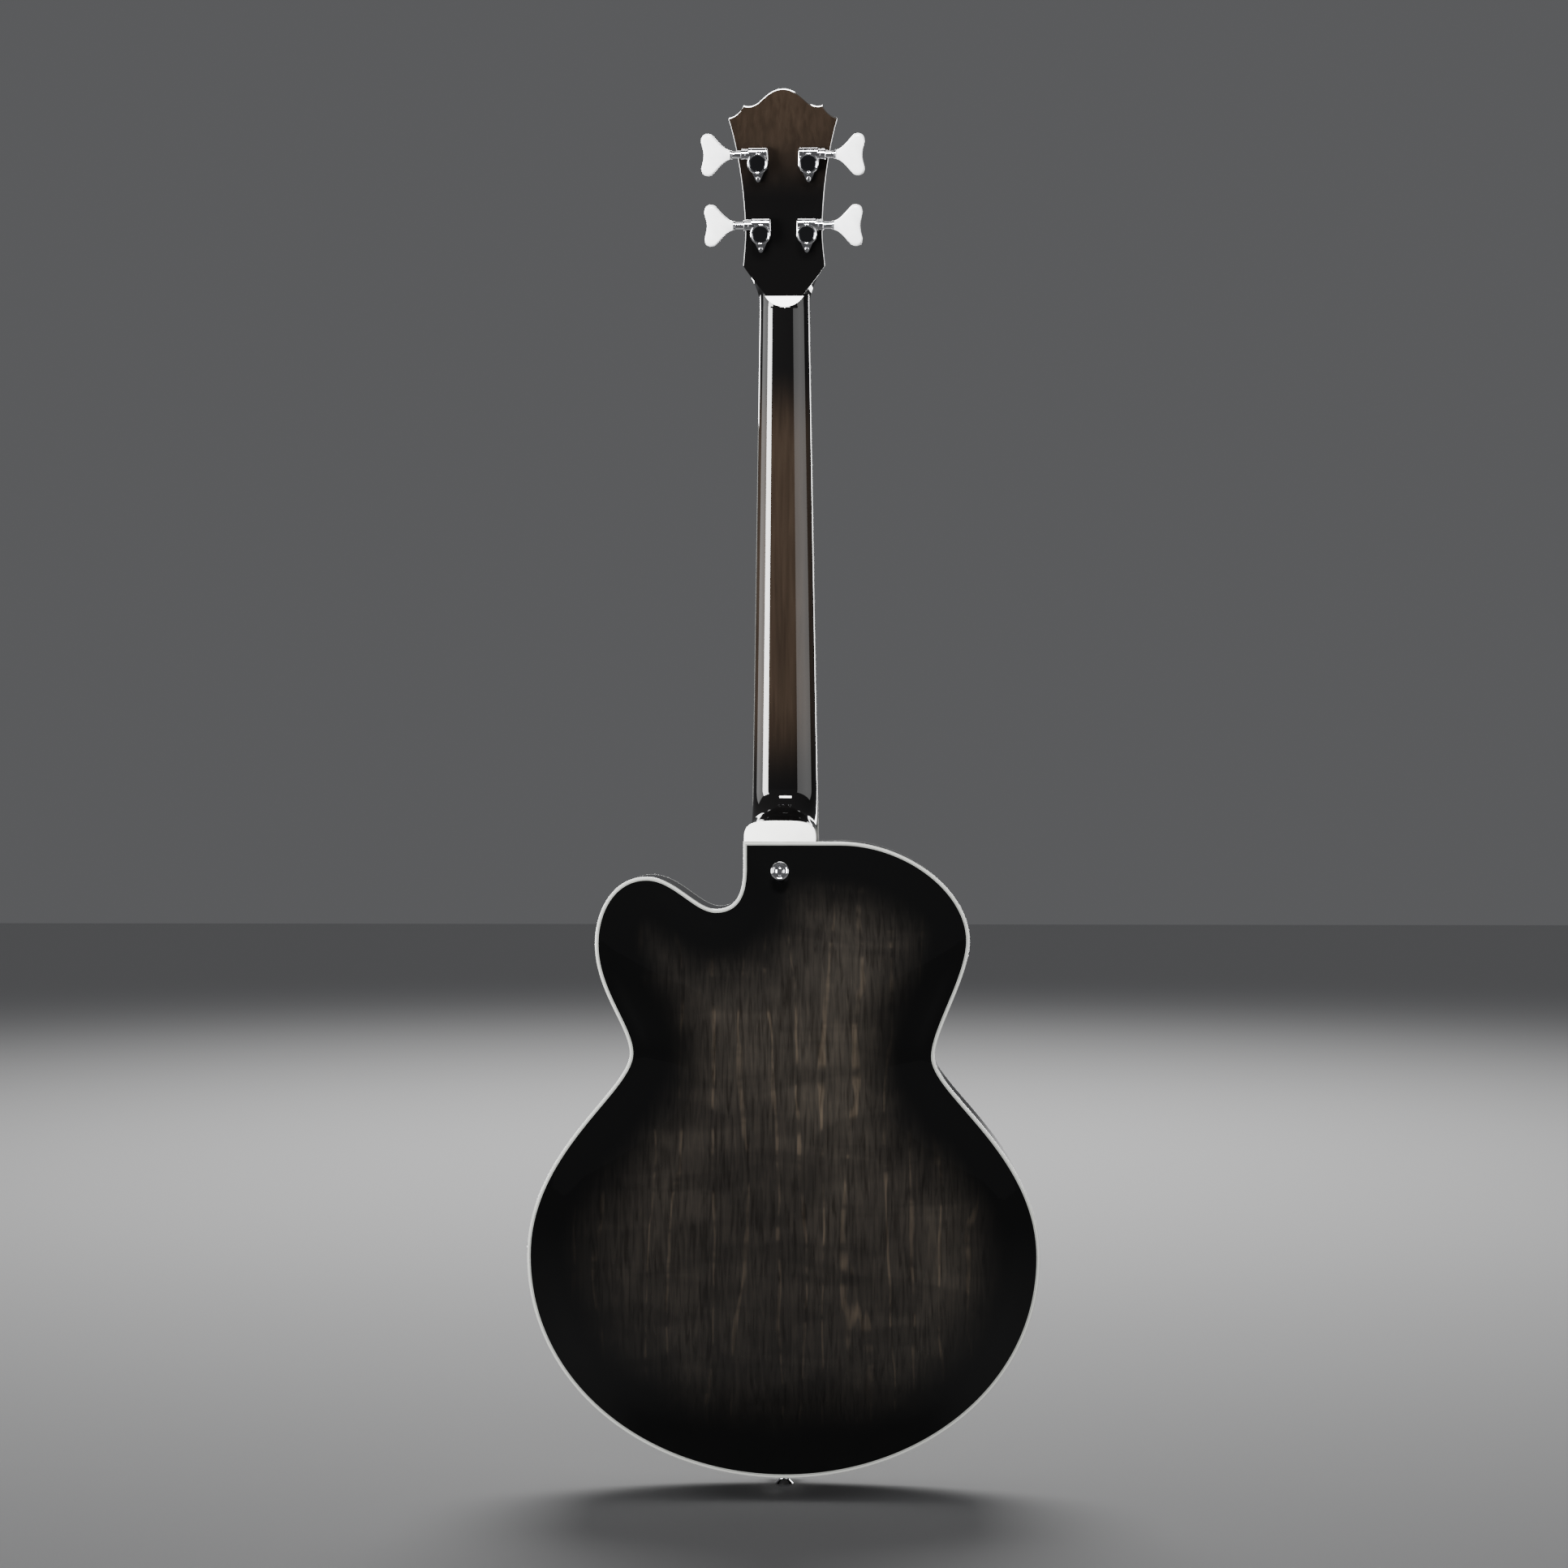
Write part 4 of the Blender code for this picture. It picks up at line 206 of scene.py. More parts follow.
def rampOn(nodes, links, factor, stops):
    ramp = nodes.new("ShaderNodeValToRGB")
    elements = ramp.color_ramp.elements
    while len(elements) < len(stops):
        elements.new(0.5)
    for element, (position, colour) in zip(elements, stops):
        element.position = position
        element.color = (*colour, 1)
    links.new(factor, ramp.inputs["Fac"])
    return ramp.outputs["Color"]


def rangeOn(nodes, links, value, low, high, smooth=False, to=(0.0, 1.0)):
    fade = nodes.new("ShaderNodeMapRange")
    fade.interpolation_type = "SMOOTHSTEP" if smooth else "LINEAR"
    for label, number in (("From Min", low), ("From Max", high), ("To Min", to[0]), ("To Max", to[1])):
        fade.inputs[label].default_value = number
    links.new(value, fade.inputs["Value"])
    return fade.outputs["Result"]


def sumOn(nodes, links, operation, first, second, third=None):
    node = nodes.new("ShaderNodeMath")
    node.operation = operation
    for socket, value in zip(node.inputs, (first, second, third)):
        if hasattr(value, "links"):
            links.new(value, socket)
        elif value is not None:
            socket.default_value = value
    return node.outputs["Value"]


def mixOn(nodes, links, factor, first, second, blend="MIX"):
    mix = nodes.new("ShaderNodeMix")
    mix.data_type = "RGBA"
    mix.blend_type = blend
    for slotIndex, value in ((0, factor), (6, first), (7, second)):
        if hasattr(value, "links"):
            links.new(value, mix.inputs[slotIndex])
        elif slotIndex == 0:
            mix.inputs[0].default_value = value
        else:
            mix.inputs[slotIndex].default_value = (*value, 1)
    return mix.outputs[2]


def bumpOn(nodes, links, shader, height, strength, distance=0.0002):
    bump = nodes.new("ShaderNodeBump")
    bump.inputs["Strength"].default_value = strength
    bump.inputs["Distance"].default_value = distance
    links.new(height, bump.inputs["Height"])
    links.new(bump.outputs["Normal"], shader.inputs["Normal"])


def attributeOn(nodes, name):
    node = nodes.new("ShaderNodeAttribute")
    node.attribute_name = name
    return node.outputs["Fac"]


def axisOn(nodes, links, axis):
    place = nodes.new("ShaderNodeTexCoord")
    parts = nodes.new("ShaderNodeSeparateXYZ")
    links.new(place.outputs["Object"], parts.inputs["Vector"])
    return parts.outputs[axis]


stain = {
    "light": (0.0330, 0.0286, 0.0240),
    "middle": (0.0252, 0.0218, 0.0187),
    "dark": (0.0180, 0.0158, 0.0139),
    "edge": (0.0019, 0.0019, 0.0019),
    "lower": (-0.93, -0.62),     # heights over which the painted shade on the lower bout fades out going up: darker towards the bottom
    "paintedShadeShare": 0.55,
}


def lacqueredMaple(name, s, burst):
    mat, nodes, links, shader = newFinish(name, roughness=0.5, coat=1.0, specular=0.0)
    long = mapped(nodes, links, (1.0, 1.0, 0.085))
    broad = noiseOn(nodes, links, mapped(nodes, links, (1.0, 1.0, 0.32)), 11.0, 3.0, 0.9)
    grain = noiseOn(nodes, links, long, 380.0, 6.0, 0.6)
    flame = noiseOn(nodes, links, mapped(nodes, links, (0.35, 1.0, 1.0)), 42.0, 2.0, 0.6)
    base = rampOn(nodes, links, broad, [(0.30, s["dark"]), (0.50, s["middle"]), (0.68, s["light"])])
    fine = rampOn(nodes, links, grain, [(0.30, (0.50, 0.48, 0.46)), (0.50, (1.0, 1.0, 1.0)), (0.72, (1.45, 1.41, 1.36))])
    figured = mixOn(nodes, links, 1.0, base, fine, "MULTIPLY")
    shimmer = rampOn(nodes, links, flame, [(0.35, (0.80, 0.80, 0.80)), (0.65, (1.18, 1.17, 1.15))])
    figured = mixOn(nodes, links, 1.0, figured, shimmer, "MULTIPLY")
    wave = nodes.new("ShaderNodeTexWave")   # cathedral lines of the growth rings
    wave.wave_type = "BANDS"
    wave.bands_direction = "X"
    wave.inputs["Scale"].default_value = 13.0
    wave.inputs["Distortion"].default_value = 9.0
    wave.inputs["Detail"].default_value = 4.0
    wave.inputs["Detail Scale"].default_value = 1.6
    links.new(mapped(nodes, links, (1.0, 1.0, 0.16)), wave.inputs["Vector"])
    lines = rampOn(nodes, links, wave.outputs["Fac"], [(0.0, (1.0, 1.0, 1.0)), (0.95, (1.0, 1.0, 1.0)), (1.0, (2.1, 1.95, 1.75))])
    figured = mixOn(nodes, links, rangeOn(nodes, links, flame, 0.42, 0.56), figured, lines, "MULTIPLY")
    if burst:
        # painted shade: the maple is darker towards the bottom of the lower bout, standing in for light that falls off
        # there
        fade = rangeOn(nodes, links, axisOn(nodes, links, "Z"), *s["lower"], True, (s["paintedShadeShare"], 1.0))
        figured = mixOn(nodes, links, 1.0, figured, fade, "MULTIPLY")
        reach = sumOn(nodes, links, "MULTIPLY_ADD", broad, 0.024, attributeOn(nodes, "inward"))
        figured = mixOn(nodes, links, rangeOn(nodes, links, reach, *burst, True), s["edge"], figured)
    links.new(figured, shader.inputs["Base Color"])
    bumpOn(nodes, links, shader, grain, 0.03)
    return mat


def plainWood(name, dark, light, roughness, stretch=(1.0, 1.0, 0.06), scale=220.0, coat=0.0):
    mat, nodes, links, shader = newFinish(name, roughness=roughness, coat=coat)
    grain = noiseOn(nodes, links, mapped(nodes, links, stretch), scale, 6.0, 0.4)
    pores = noiseOn(nodes, links, mapped(nodes, links, (1.0, 1.0, stretch[2] * 0.5)), scale * 3.2, 3.0, 0.2)
    colour = rampOn(nodes, links, grain, [(0.32, dark), (0.68, light)])
    flecks = rampOn(nodes, links, pores, [(0.30, (0.55, 0.53, 0.50)), (0.42, (1.0, 1.0, 1.0)), (1.0, (1.0, 1.0, 1.0))])
    links.new(mixOn(nodes, links, 0.8, colour, flecks, "MULTIPLY"), shader.inputs["Base Color"])
    bumpOn(nodes, links, shader, pores, 0.15)
    return mat


def mouldedPlastic(name, colour, roughness, mottle=0.06, scale=90.0, coat=0.0, swirl=0.0):
    mat, nodes, links, shader = newFinish(name, roughness=roughness, coat=coat)
    cloud = noiseOn(nodes, links, mapped(nodes, links, (1, 1, 1)), scale, 4.0, 0.3 + swirl)
    low = tuple(c * (1 - mottle) for c in colour)
    high = tuple(min(c * (1 + mottle), 1.0) for c in colour)
    links.new(rampOn(nodes, links, cloud, [(0.3, low), (0.7, high)]), shader.inputs["Base Color"])
    links.new(rangeOn(nodes, links, cloud, 0.0, 1.0, False, (roughness * 0.85, roughness * 1.15)),
              shader.inputs["Roughness"])
    return mat


def platedMetal(name, colour, roughness, smudge=0.35, scale=140.0):
    mat, nodes, links, shader = newFinish(name, metallic=1.0, roughness=roughness)
    cloud = noiseOn(nodes, links, mapped(nodes, links, (1, 1, 1)), scale, 5.0)
    low = tuple(c * 0.95 for c in colour)
    links.new(rampOn(nodes, links, cloud, [(0.3, low), (0.7, colour)]), shader.inputs["Base Color"])
    links.new(rangeOn(nodes, links, cloud, 0.0, 1.0, False, (roughness * (1 - smudge), roughness * (1 + smudge))),
              shader.inputs["Roughness"])
    return mat


def brushedMetal(name, colour, roughness, stretch):
    mat, nodes, links, shader = newFinish(name, metallic=1.0, roughness=roughness)
    lines = noiseOn(nodes, links, mapped(nodes, links, stretch), 60.0, 6.0)
    low = tuple(c * 0.88 for c in colour)
    links.new(rampOn(nodes, links, lines, [(0.3, low), (0.7, colour)]), shader.inputs["Base Color"])
    links.new(rangeOn(nodes, links, lines, 0.2, 0.8, False, (roughness * 0.6, roughness * 1.6)), shader.inputs["Roughness"])
    bumpOn(nodes, links, shader, lines, 0.05)
    return mat


# metal with a fine thread or winding: along a named attribute, or up the Y axis
def wavyMetal(name, colour, roughness, pitch, along):
    mat, nodes, links, shader = newFinish(name, metallic=1.0, roughness=roughness)
    cloud = noiseOn(nodes, links, mapped(nodes, links, (1, 1, 1)), 120.0, 4.0)
    low = tuple(c * 0.85 for c in colour)
    links.new(rampOn(nodes, links, cloud, [(0.3, low), (0.7, colour)]), shader.inputs["Base Color"])
    run = attributeOn(nodes, along) if along else axisOn(nodes, links, "Y")
    wave = sumOn(nodes, links, "SINE", sumOn(nodes, links, "MULTIPLY", run, math.tau / pitch), 0.0)
    links.new(rangeOn(nodes, links, wave, -1.0, 1.0, False, (roughness * 1.5, roughness * 0.8)), shader.inputs["Roughness"])
    bumpOn(nodes, links, shader, wave, 0.5, 0.0001)
    return mat


def stripedBinding(name, stops, coat=0.7):
    mat, nodes, links, shader = newFinish(name, roughness=0.4, coat=coat, specular=0.3 * coat)
    ramp = rampOn(nodes, links, attributeOn(nodes, "across"), stops)
    ramp.node.color_ramp.interpolation = "CONSTANT"
    cloud = noiseOn(nodes, links, mapped(nodes, links, (1, 1, 1)), 60.0, 4.0)
    tint = rampOn(nodes, links, cloud, [(0.3, (0.95, 0.95, 0.93)), (0.7, (1.0, 1.0, 1.0))])
    links.new(mixOn(nodes, links, 1.0, ramp, tint, "MULTIPLY"), shader.inputs["Base Color"])
    return mat


def neckStain(name, s):
    mat, nodes, links, shader = newFinish(name, roughness=0.5, coat=1.0, specular=0.0)
    grain = noiseOn(nodes, links, mapped(nodes, links, (1.0, 1.0, 0.05)), 260.0, 5.0, 0.3)
    broad = noiseOn(nodes, links, mapped(nodes, links, (1.0, 1.0, 0.15)), 30.0, 3.0, 0.4)
    base = rampOn(nodes, links, broad, [(0.3, s["dark"]), (0.7, s["light"])])
    fine = rampOn(nodes, links, grain, [(0.3, (0.72, 0.70, 0.68)), (0.7, (1.15, 1.13, 1.10))])
    brown = mixOn(nodes, links, 1.0, base, fine, "MULTIPLY")
    z = axisOn(nodes, links, "Z")
    above = rangeOn(nodes, links, z, *s["throat"], True)
    below = rangeOn(nodes, links, z, *s["heel"], True)
    head = rangeOn(nodes, links, z, *s["head"], True)
    black = sumOn(nodes, links, "MULTIPLY", above, head)
    black = sumOn(nodes, links, "MAXIMUM", black, below)
    shade = mixOn(nodes, links, black, brown, s["black"])
    links.new(shade, shader.inputs["Base Color"])
    bumpOn(nodes, links, shader, grain, 0.03)
    return mat


neckColours = {
    "dark": (0.0100, 0.0068, 0.0048),
    "light": (0.0163, 0.0113, 0.0079),
    "black": (0.0016, 0.0015, 0.0015),
    "throat": (-0.110, -0.045),     # heights between which the shaft's brown goes to black
    "heel": (-0.315, -0.385),
    "head": (0.145, 0.080),
}
cream, blackLine, lightLine = (0.28, 0.285, 0.27), (0.005, 0.005, 0.005), (0.17, 0.175, 0.165)
bodyStripes = [(0.0, cream), (0.60, blackLine), (0.68, lightLine), (0.93, blackLine)]
headStripes = [(0.0, (0.09, 0.09, 0.085)), (0.80, blackLine)]
darkLacquer = {"light": (0.0055, 0.0050, 0.0046), "middle": (0.0042, 0.0040, 0.0038),
               "dark": (0.0032, 0.0031, 0.0030)}

finishes = {
    "stained_maple": lacqueredMaple("burstLacquer", stain, (0.038, 0.098)),
    "sideLacquer": lacqueredMaple("sideLacquer", darkLacquer, None),
    "stained_neck": neckStain("neckLacquer", neckColours),
    "raw_mahogany": plainWood("mahogany", (0.20, 0.095, 0.050), (0.36, 0.20, 0.11), 0.6),
    "raw_spruce": plainWood("spruce", (0.50, 0.34, 0.19), (0.66, 0.50, 0.30), 0.6),
    "cream_plastic": mouldedPlastic("creamPlastic", (0.92, 0.925, 0.885), 0.28, 0.02, coat=0.5),
    "white_plastic": mouldedPlastic("pearlPlastic", (0.93, 0.935, 0.945), 0.22, 0.04, 85.0, 0.5, 1.6),
    "black_plastic": mouldedPlastic("blackPlastic", (0.010, 0.010, 0.010), 0.2, 0.2, coat=0.8),
    "rosewood": plainWood("rosewoodOiled", (0.011, 0.0055, 0.0038), (0.042, 0.021, 0.0125), 0.5, (1.0, 1.0, 0.04), 320.0),
    "bone": mouldedPlastic("boneNut", (0.76, 0.71, 0.58), 0.35, 0.08, 200.0),
    "chrome": platedMetal("chromePlate", (0.82, 0.82, 0.84), 0.05),
    # a darker copy of chrome: painted shade for the dark surroundings that the tuners' flat discs reflect
    "paintedShadeChrome": platedMetal("chromeInShade", (0.16, 0.16, 0.17), 0.08),
    "bright_metal": platedMetal("nickelPlate", (0.76, 0.75, 0.73), 0.12),
    "steel": platedMetal("drawnSteel", (0.52, 0.52, 0.53), 0.26),
    "brushedChrome": brushedMetal("brushedChrome", (0.74, 0.74, 0.76), 0.16, (1.0, 1.0, 40.0)),
    "threadedSteel": wavyMetal("threadedSteel", (0.50, 0.50, 0.51), 0.28, 0.0007, None),
    "woundSteel": wavyMetal("woundSteel", (0.60, 0.59, 0.57), 0.24, 0.00045, "along"),
    "pearl": mouldedPlastic("pearlInlay", (0.72, 0.73, 0.70), 0.18, 0.22, 130.0, 0.8, 3.0),
    "boardEdge": mouldedPlastic("boardEdge", (0.17, 0.172, 0.162), 0.45, 0.02),
    "boundEdge": stripedBinding("boundEdge", bodyStripes),
    "headEdge": stripedBinding("headEdge", headStripes, 0.0),
}
slotOf = {entry["node"]: entry["material_slot"] for entry in frame["record"]["subparts"]}
for nodeName, node in frame["nodes"].items():
    node.data.materials.clear()
    node.data.materials.append(finishes[slotOf[nodeName]])
print("finishes set")


# shared shape helpers


def newObject(name, mesh):
    obj = bpy.data.objects.new(name, mesh)
    bpy.context.scene.collection.objects.link(obj)
    return obj


def meshOf(name, bm, place=None):
    if place is not None:
        bm.transform(place)
    bmesh.ops.recalc_face_normals(bm, faces=bm.faces)
    mesh = bpy.data.meshes.new(name)
    bm.to_mesh(mesh)
    bm.free()
    return mesh


# a piece's modifiers become its own mesh
def settle(piece):
    graph = bpy.context.evaluated_depsgraph_get()
    mesh = bpy.data.meshes.new_from_object(piece.evaluated_get(graph))
    piece.modifiers.clear()
    piece.data = mesh
    return piece


# shading and material of a finished mesh, what carries it and what it stands for
def dress(piece, body, finish, smooth=35, nodes=(), weighted=False):
    mesh = piece.data
    mesh.shade_smooth()
    mesh.set_sharp_from_angle(angle=math.radians(smooth))
    if finish:
        mesh.materials.clear()
        mesh.materials.append(finishes[finish])
    if weighted:
        mod = piece.modifiers.new("even", "WEIGHTED_NORMAL")
        mod.keep_sharp = True
        settle(piece)
    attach(piece, body)
    if nodes:
        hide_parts(*nodes)
    return piece


def meshPiece(name, bm, body, finish, smooth=35, place=None, nodes=(), weighted=False):
    return dress(newObject(name, meshOf(name, bm, place)), body, finish, smooth, nodes, weighted)


# one closed form from overlapping ones, less the cutters; all are (bmesh, place) pairs
def joined(name, parts, cutters=(), operation="UNION"):
    first, *rest = parts
    piece = newObject(name, meshOf(name, *first))
    helpers = []
    for group, kind in ((rest, operation), (cutters, "DIFFERENCE")):
        for form in group:
            helper = newObject("helper", meshOf("helper", *form))
            helpers.append(helper)
            mod = piece.modifiers.new("form", "BOOLEAN")
            mod.operation = kind
            mod.solver = "EXACT"
            mod.object = helper
    settle(piece)
    for helper in helpers:
        old = helper.data
        bpy.data.objects.remove(helper)
        bpy.data.meshes.remove(old)
    return piece


def loft(rings, wrap=False, bm=None, values=None, layerName=None):
    bm = bm or bmesh.new()
    if layerName and layerName not in bm.verts.layers.float:
        bm.verts.layers.float.new(layerName)
    layer = bm.verts.layers.float[layerName] if layerName else None
    rows = []
    for r, ring in enumerate(rings):
        row = [bm.verts.new(point) for point in ring]
        if layer is not None:
            for i, vertex in enumerate(row):
                vertex[layer] = values[r][i]
        rows.append(row)
    pairs = list(zip(rows, rows[1:]))
    if wrap:
        pairs.append((rows[-1], rows[0]))
    for lower, upper in pairs:
        count = len(lower)
        for i in range(count):
            j = (i + 1) % count
            bm.faces.new((lower[i], lower[j], upper[j], upper[i]))
    if not wrap:
        bm.faces.new(rows[0])
        bm.faces.new(rows[-1])
    return bm


def circle(radius, sides, centre=(0, 0)):
    return [(centre[0] + radius * math.cos(math.tau * i / sides), centre[1] + radius * math.sin(math.tau * i / sides))
            for i in range(sides)]


# (radius, height) pairs turned about an axis; a zero radius closes to a point
def turned(profile, sides=48, axis="y", centre=(0, 0), wrap=False, bm=None):
    rings = []
    for radius, height in profile:
        points = circle(max(radius, 1e-6), sides, centre)
        if axis == "y":
            rings.append([(x, height, z) for x, z in points])
        elif axis == "x":
            rings.append([(height, x, z) for x, z in points])
        else:
            rings.append([(x, y, height) for x, y in points])
    bm = loft(rings, wrap, bm)
    bmesh.ops.remove_doubles(bm, verts=bm.verts, dist=4e-6)
    return bm


# an (x, z) outline from y low to y high, its far rim softened by edge
def prism(outline, low, high, edge=0.0, bm=None):
    levels = [(low, 0.0), (high, 0.0)]
    if edge:
        step = math.copysign(edge, high - low)
        levels = [(low, 0.0), (high - step, 0.0), (high - step * 0.3, edge * 0.3), (high, edge)]
    return loft([[(x, y, z) for x, z in (inset(outline, grow) if grow else outline)] for y, grow in levels], bm=bm)


def block(low, high, bm=None):
    return prism(((low[0], low[2]), (high[0], low[2]), (high[0], high[2]), (low[0], high[2])), low[1], high[1], 0.0, bm)


def roundedRectangle(halfX, halfZ, corner, steps=6):
    points = []
    for turn, (sx, sz) in enumerate(((1, 1), (-1, 1), (-1, -1), (1, -1))):
        for i in range(steps + 1):
            a = math.radians(90 * (turn + i / steps))
            points.append((sx * (halfX - corner) + corner * math.cos(a), sz * (halfZ - corner) + corner * math.sin(a)))
    return points


def bezier(start, startHandle, endHandle, end, steps):
    points = []
    for i in range(steps):
        t = i / steps
        u = 1 - t
        points.append(tuple(u ** 3 * start[k] + 3 * u * u * t * startHandle[k] + 3 * u * t * t * endHandle[k] + t ** 3 * end[k]
                            for k in (0, 1)))
    return points


def span(start, end, outShare, inShare, steps):
    distance = math.dist(start[:2], end[:2])
    first, last = math.radians(start[2]), math.radians(end[2])
    startHandle = (start[0] + outShare * distance * math.cos(first), start[1] + outShare * distance * math.sin(first))
    endHandle = (end[0] - inShare * distance * math.cos(last), end[1] - inShare * distance * math.sin(last))
    return bezier(start, startHandle, endHandle, end, steps)


def inset(outline, distance):
    moved = []
    count = len(outline)
    for i in range(count):
        before = Vector(outline[i]) - Vector(outline[i - 1])
        after = Vector(outline[(i + 1) % count]) - Vector(outline[i])
        normalBefore = Vector((-before.y, before.x)).normalized()
        normalAfter = Vector((-after.y, after.x)).normalized()
        middle = normalBefore + normalAfter
        moved.append(tuple(Vector(outline[i]) + middle * (distance * 2 / middle.length_squared)))
    return moved


def superellipse(half, height, power, steps, centre=0.0, foot=0.0):
    points = []
    for i in range(steps + 1):
        angle = math.pi * i / steps
        c, s = math.cos(angle), max(math.sin(angle), 0.0)
        points.append((centre + half * math.copysign(abs(c) ** (2 / power), c), foot + height * s ** (2 / power)))
    return points


# what repeats: trees of geometry nodes


def newTree(name, inputs):
    tree = bpy.data.node_groups.new(name, "GeometryNodeTree")
    tree.interface.new_socket("Geometry", in_out="INPUT", socket_type="NodeSocketGeometry")
    tree.interface.new_socket("Geometry", in_out="OUTPUT", socket_type="NodeSocketGeometry")
    for label, value in inputs.items():
        kind = {int: "Int", float: "Float", bool: "Bool", tuple: "Vector"}[type(value)]
        tree.interface.new_socket(label, in_out="INPUT", socket_type=f"NodeSocket{kind}").default_value = value
    tree.interface.new_socket("Finish", in_out="INPUT", socket_type="NodeSocketMaterial")
    return tree, tree.nodes.new("NodeGroupInput").outputs


# a node whose inputs are set or linked by name, with spaces as underscores or a number as _0
def addNode(tree, kind, output=0, settings=(), **inputs):
    node = tree.nodes.new(kind)
    for label, value in dict(settings).items():
        setattr(node, label, value)
    for label, value in inputs.items():
        key = int(label[1:]) if label[0] == "_" else label.replace("_", " ")
        socket = node.inputs[key]
        if hasattr(value, "is_output"):
            tree.links.new(value, socket)
        else:
            socket.default_value = value
    return node.outputs[output]


def mathNode(tree, operation, first, second=0.0):
    return addNode(tree, "ShaderNodeMath", settings={"operation": operation}, _0=first, _1=second)


# every tree ends the same way: real geometry with its finish
def closeTree(tree, geometry, finish):
    real = addNode(tree, "GeometryNodeRealizeInstances", Geometry=geometry)
    last = addNode(tree, "GeometryNodeSetMaterial", Geometry=real, Material=finish)
    tree.links.new(last, tree.nodes.new("NodeGroupOutput").inputs["Geometry"])
    return tree


# runs a tree on a host mesh and keeps its result as a plain piece
def grown(name, tree, host, values, body, finish, smooth=35, nodes=(), place=None):
    mod = host.modifiers.new("grow", "NODES")
    mod.node_group = tree
    sockets = {item.name: item.identifier for item in tree.interface.items_tree if item.in_out == "INPUT"}
    for label, value in dict(values, Finish=finishes[finish]).items():
        mod[sockets[label]] = value
    settle(host)
    host.name = name
    if place is not None:
        host.data.transform(place)
    return dress(host, body, finish, smooth, nodes)


# places for a tree: bare points, each with the vectors that the tree reads
def hostPoints(points, aims=(), **vectors):
    mesh = bpy.data.meshes.new("places")
    mesh.from_pydata([tuple(point) for point in points], [], [])
    for label, values in {"aim": aims, **vectors}.items():
        if len(values):
            layer = mesh.attributes.new(label, "FLOAT_VECTOR", "POINT")
            for entry, value in zip(layer.data, values):
                entry.vector = value
    return newObject("places", mesh)


def hostPath(points):
    mesh = bpy.data.meshes.new("path")
    mesh.from_pydata([tuple(point) for point in points], [(i, i + 1) for i in range(len(points) - 1)], [])
    return newObject("path", mesh)


def vectorNamed(tree, name):
    return addNode(tree, "GeometryNodeInputNamedAttribute", settings={"data_type": "FLOAT_VECTOR"}, Name=name)


def facing(tree):
    aim = vectorNamed(tree, "aim")
    return addNode(tree, "FunctionNodeAlignRotationToVector", settings={"axis": "Z"}, Vector=aim)


# domed screw heads with a cross or a single slot, facing out along each point's aim
def screwTree():
    tree, given = newTree("screwHeads", {"Head Radius": 0.002, "Dome Height": 0.0008, "Slot Length": 0.0024,
                                         "Slot Width": 0.0005, "Slot Depth": 0.0005, "Cross": True})
    ball = addNode(tree, "GeometryNodeMeshUVSphere", Segments=28, Rings=14, Radius=1.0)
    shape = addNode(tree, "ShaderNodeCombineXYZ", X=given["Head Radius"], Y=given["Head Radius"], Z=given["Dome Height"])
    dome = addNode(tree, "GeometryNodeTransform", Geometry=ball, Scale=shape)
    depth = mathNode(tree, "MULTIPLY", given["Slot Depth"], 2.0)
    lift = addNode(tree, "ShaderNodeCombineXYZ", Z=given["Dome Height"])
    slots = []
    for first, second in (("Slot Length", "Slot Width"), ("Slot Width", "Slot Length")):
        size = addNode(tree, "ShaderNodeCombineXYZ", X=given[first], Y=given[second], Z=depth)
        cube = addNode(tree, "GeometryNodeMeshCube", Size=size)
        slots.append(addNode(tree, "GeometryNodeTransform", Geometry=cube, Translation=lift))
    single = addNode(tree, "GeometryNodeMeshBoolean", settings={"operation": "DIFFERENCE", "solver": "EXACT"},
                     Mesh_1=dome, Mesh_2=slots[0])
    double = addNode(tree, "GeometryNodeMeshBoolean", settings={"operation": "DIFFERENCE", "solver": "EXACT"},
                     Mesh_1=single, Mesh_2=slots[1])
    head = addNode(tree, "GeometryNodeSwitch", settings={"input_type": "GEOMETRY"},
                   Switch=given["Cross"], **{"False": single, "True": double})
    heads = addNode(tree, "GeometryNodeInstanceOnPoints", Points=given["Geometry"], Instance=head, Rotation=facing(tree))
    return closeTree(tree, heads, given["Finish"])


# small rods set round an edge, for knurls and grips
def ridgeTree():
    tree, given = newTree("ridges", {"Radius": 0.0004, "Length": 0.003, "Sides": 8})
    rod = addNode(tree, "GeometryNodeMeshCylinder", Vertices=given["Sides"], Radius=given["Radius"], Depth=given["Length"])
    rods = addNode(tree, "GeometryNodeInstanceOnPoints", Points=given["Geometry"], Instance=rod, Rotation=facing(tree))
    return closeTree(tree, rods, given["Finish"])


# a round rod or wire along a path, with its length written as it goes
def wireTree():
    tree, given = newTree("wire", {"Radius": 0.001, "Sides": 12})
    curve = addNode(tree, "GeometryNodeMeshToCurve", Mesh=given["Geometry"])
    length = addNode(tree, "GeometryNodeSplineParameter", "Length")
    marked = addNode(tree, "GeometryNodeStoreNamedAttribute", settings={"data_type": "FLOAT", "domain": "POINT"},
                     Geometry=curve, Name="along", Value=length)
    section = addNode(tree, "GeometryNodeCurvePrimitiveCircle", Resolution=given["Sides"], Radius=given["Radius"])
    wire = addNode(tree, "GeometryNodeCurveToMesh", Curve=marked, Profile_Curve=section, Fill_Caps=True)
    return closeTree(tree, wire, given["Finish"])


# lays flat geometry on a round board: each point drops by the arc of the board's radius
def bentOnBoard(tree, geometry, radius):
    parts = addNode(tree, "ShaderNodeSeparateXYZ", _0=addNode(tree, "GeometryNodeInputPosition"))
    square = mathNode(tree, "MULTIPLY", parts, parts)
    drop = mathNode(tree, "DIVIDE", square, mathNode(tree, "MULTIPLY", radius, 2.0))
    return addNode(tree, "GeometryNodeSetPosition", Geometry=geometry, Offset=addNode(tree, "ShaderNodeCombineXYZ", Y=drop))


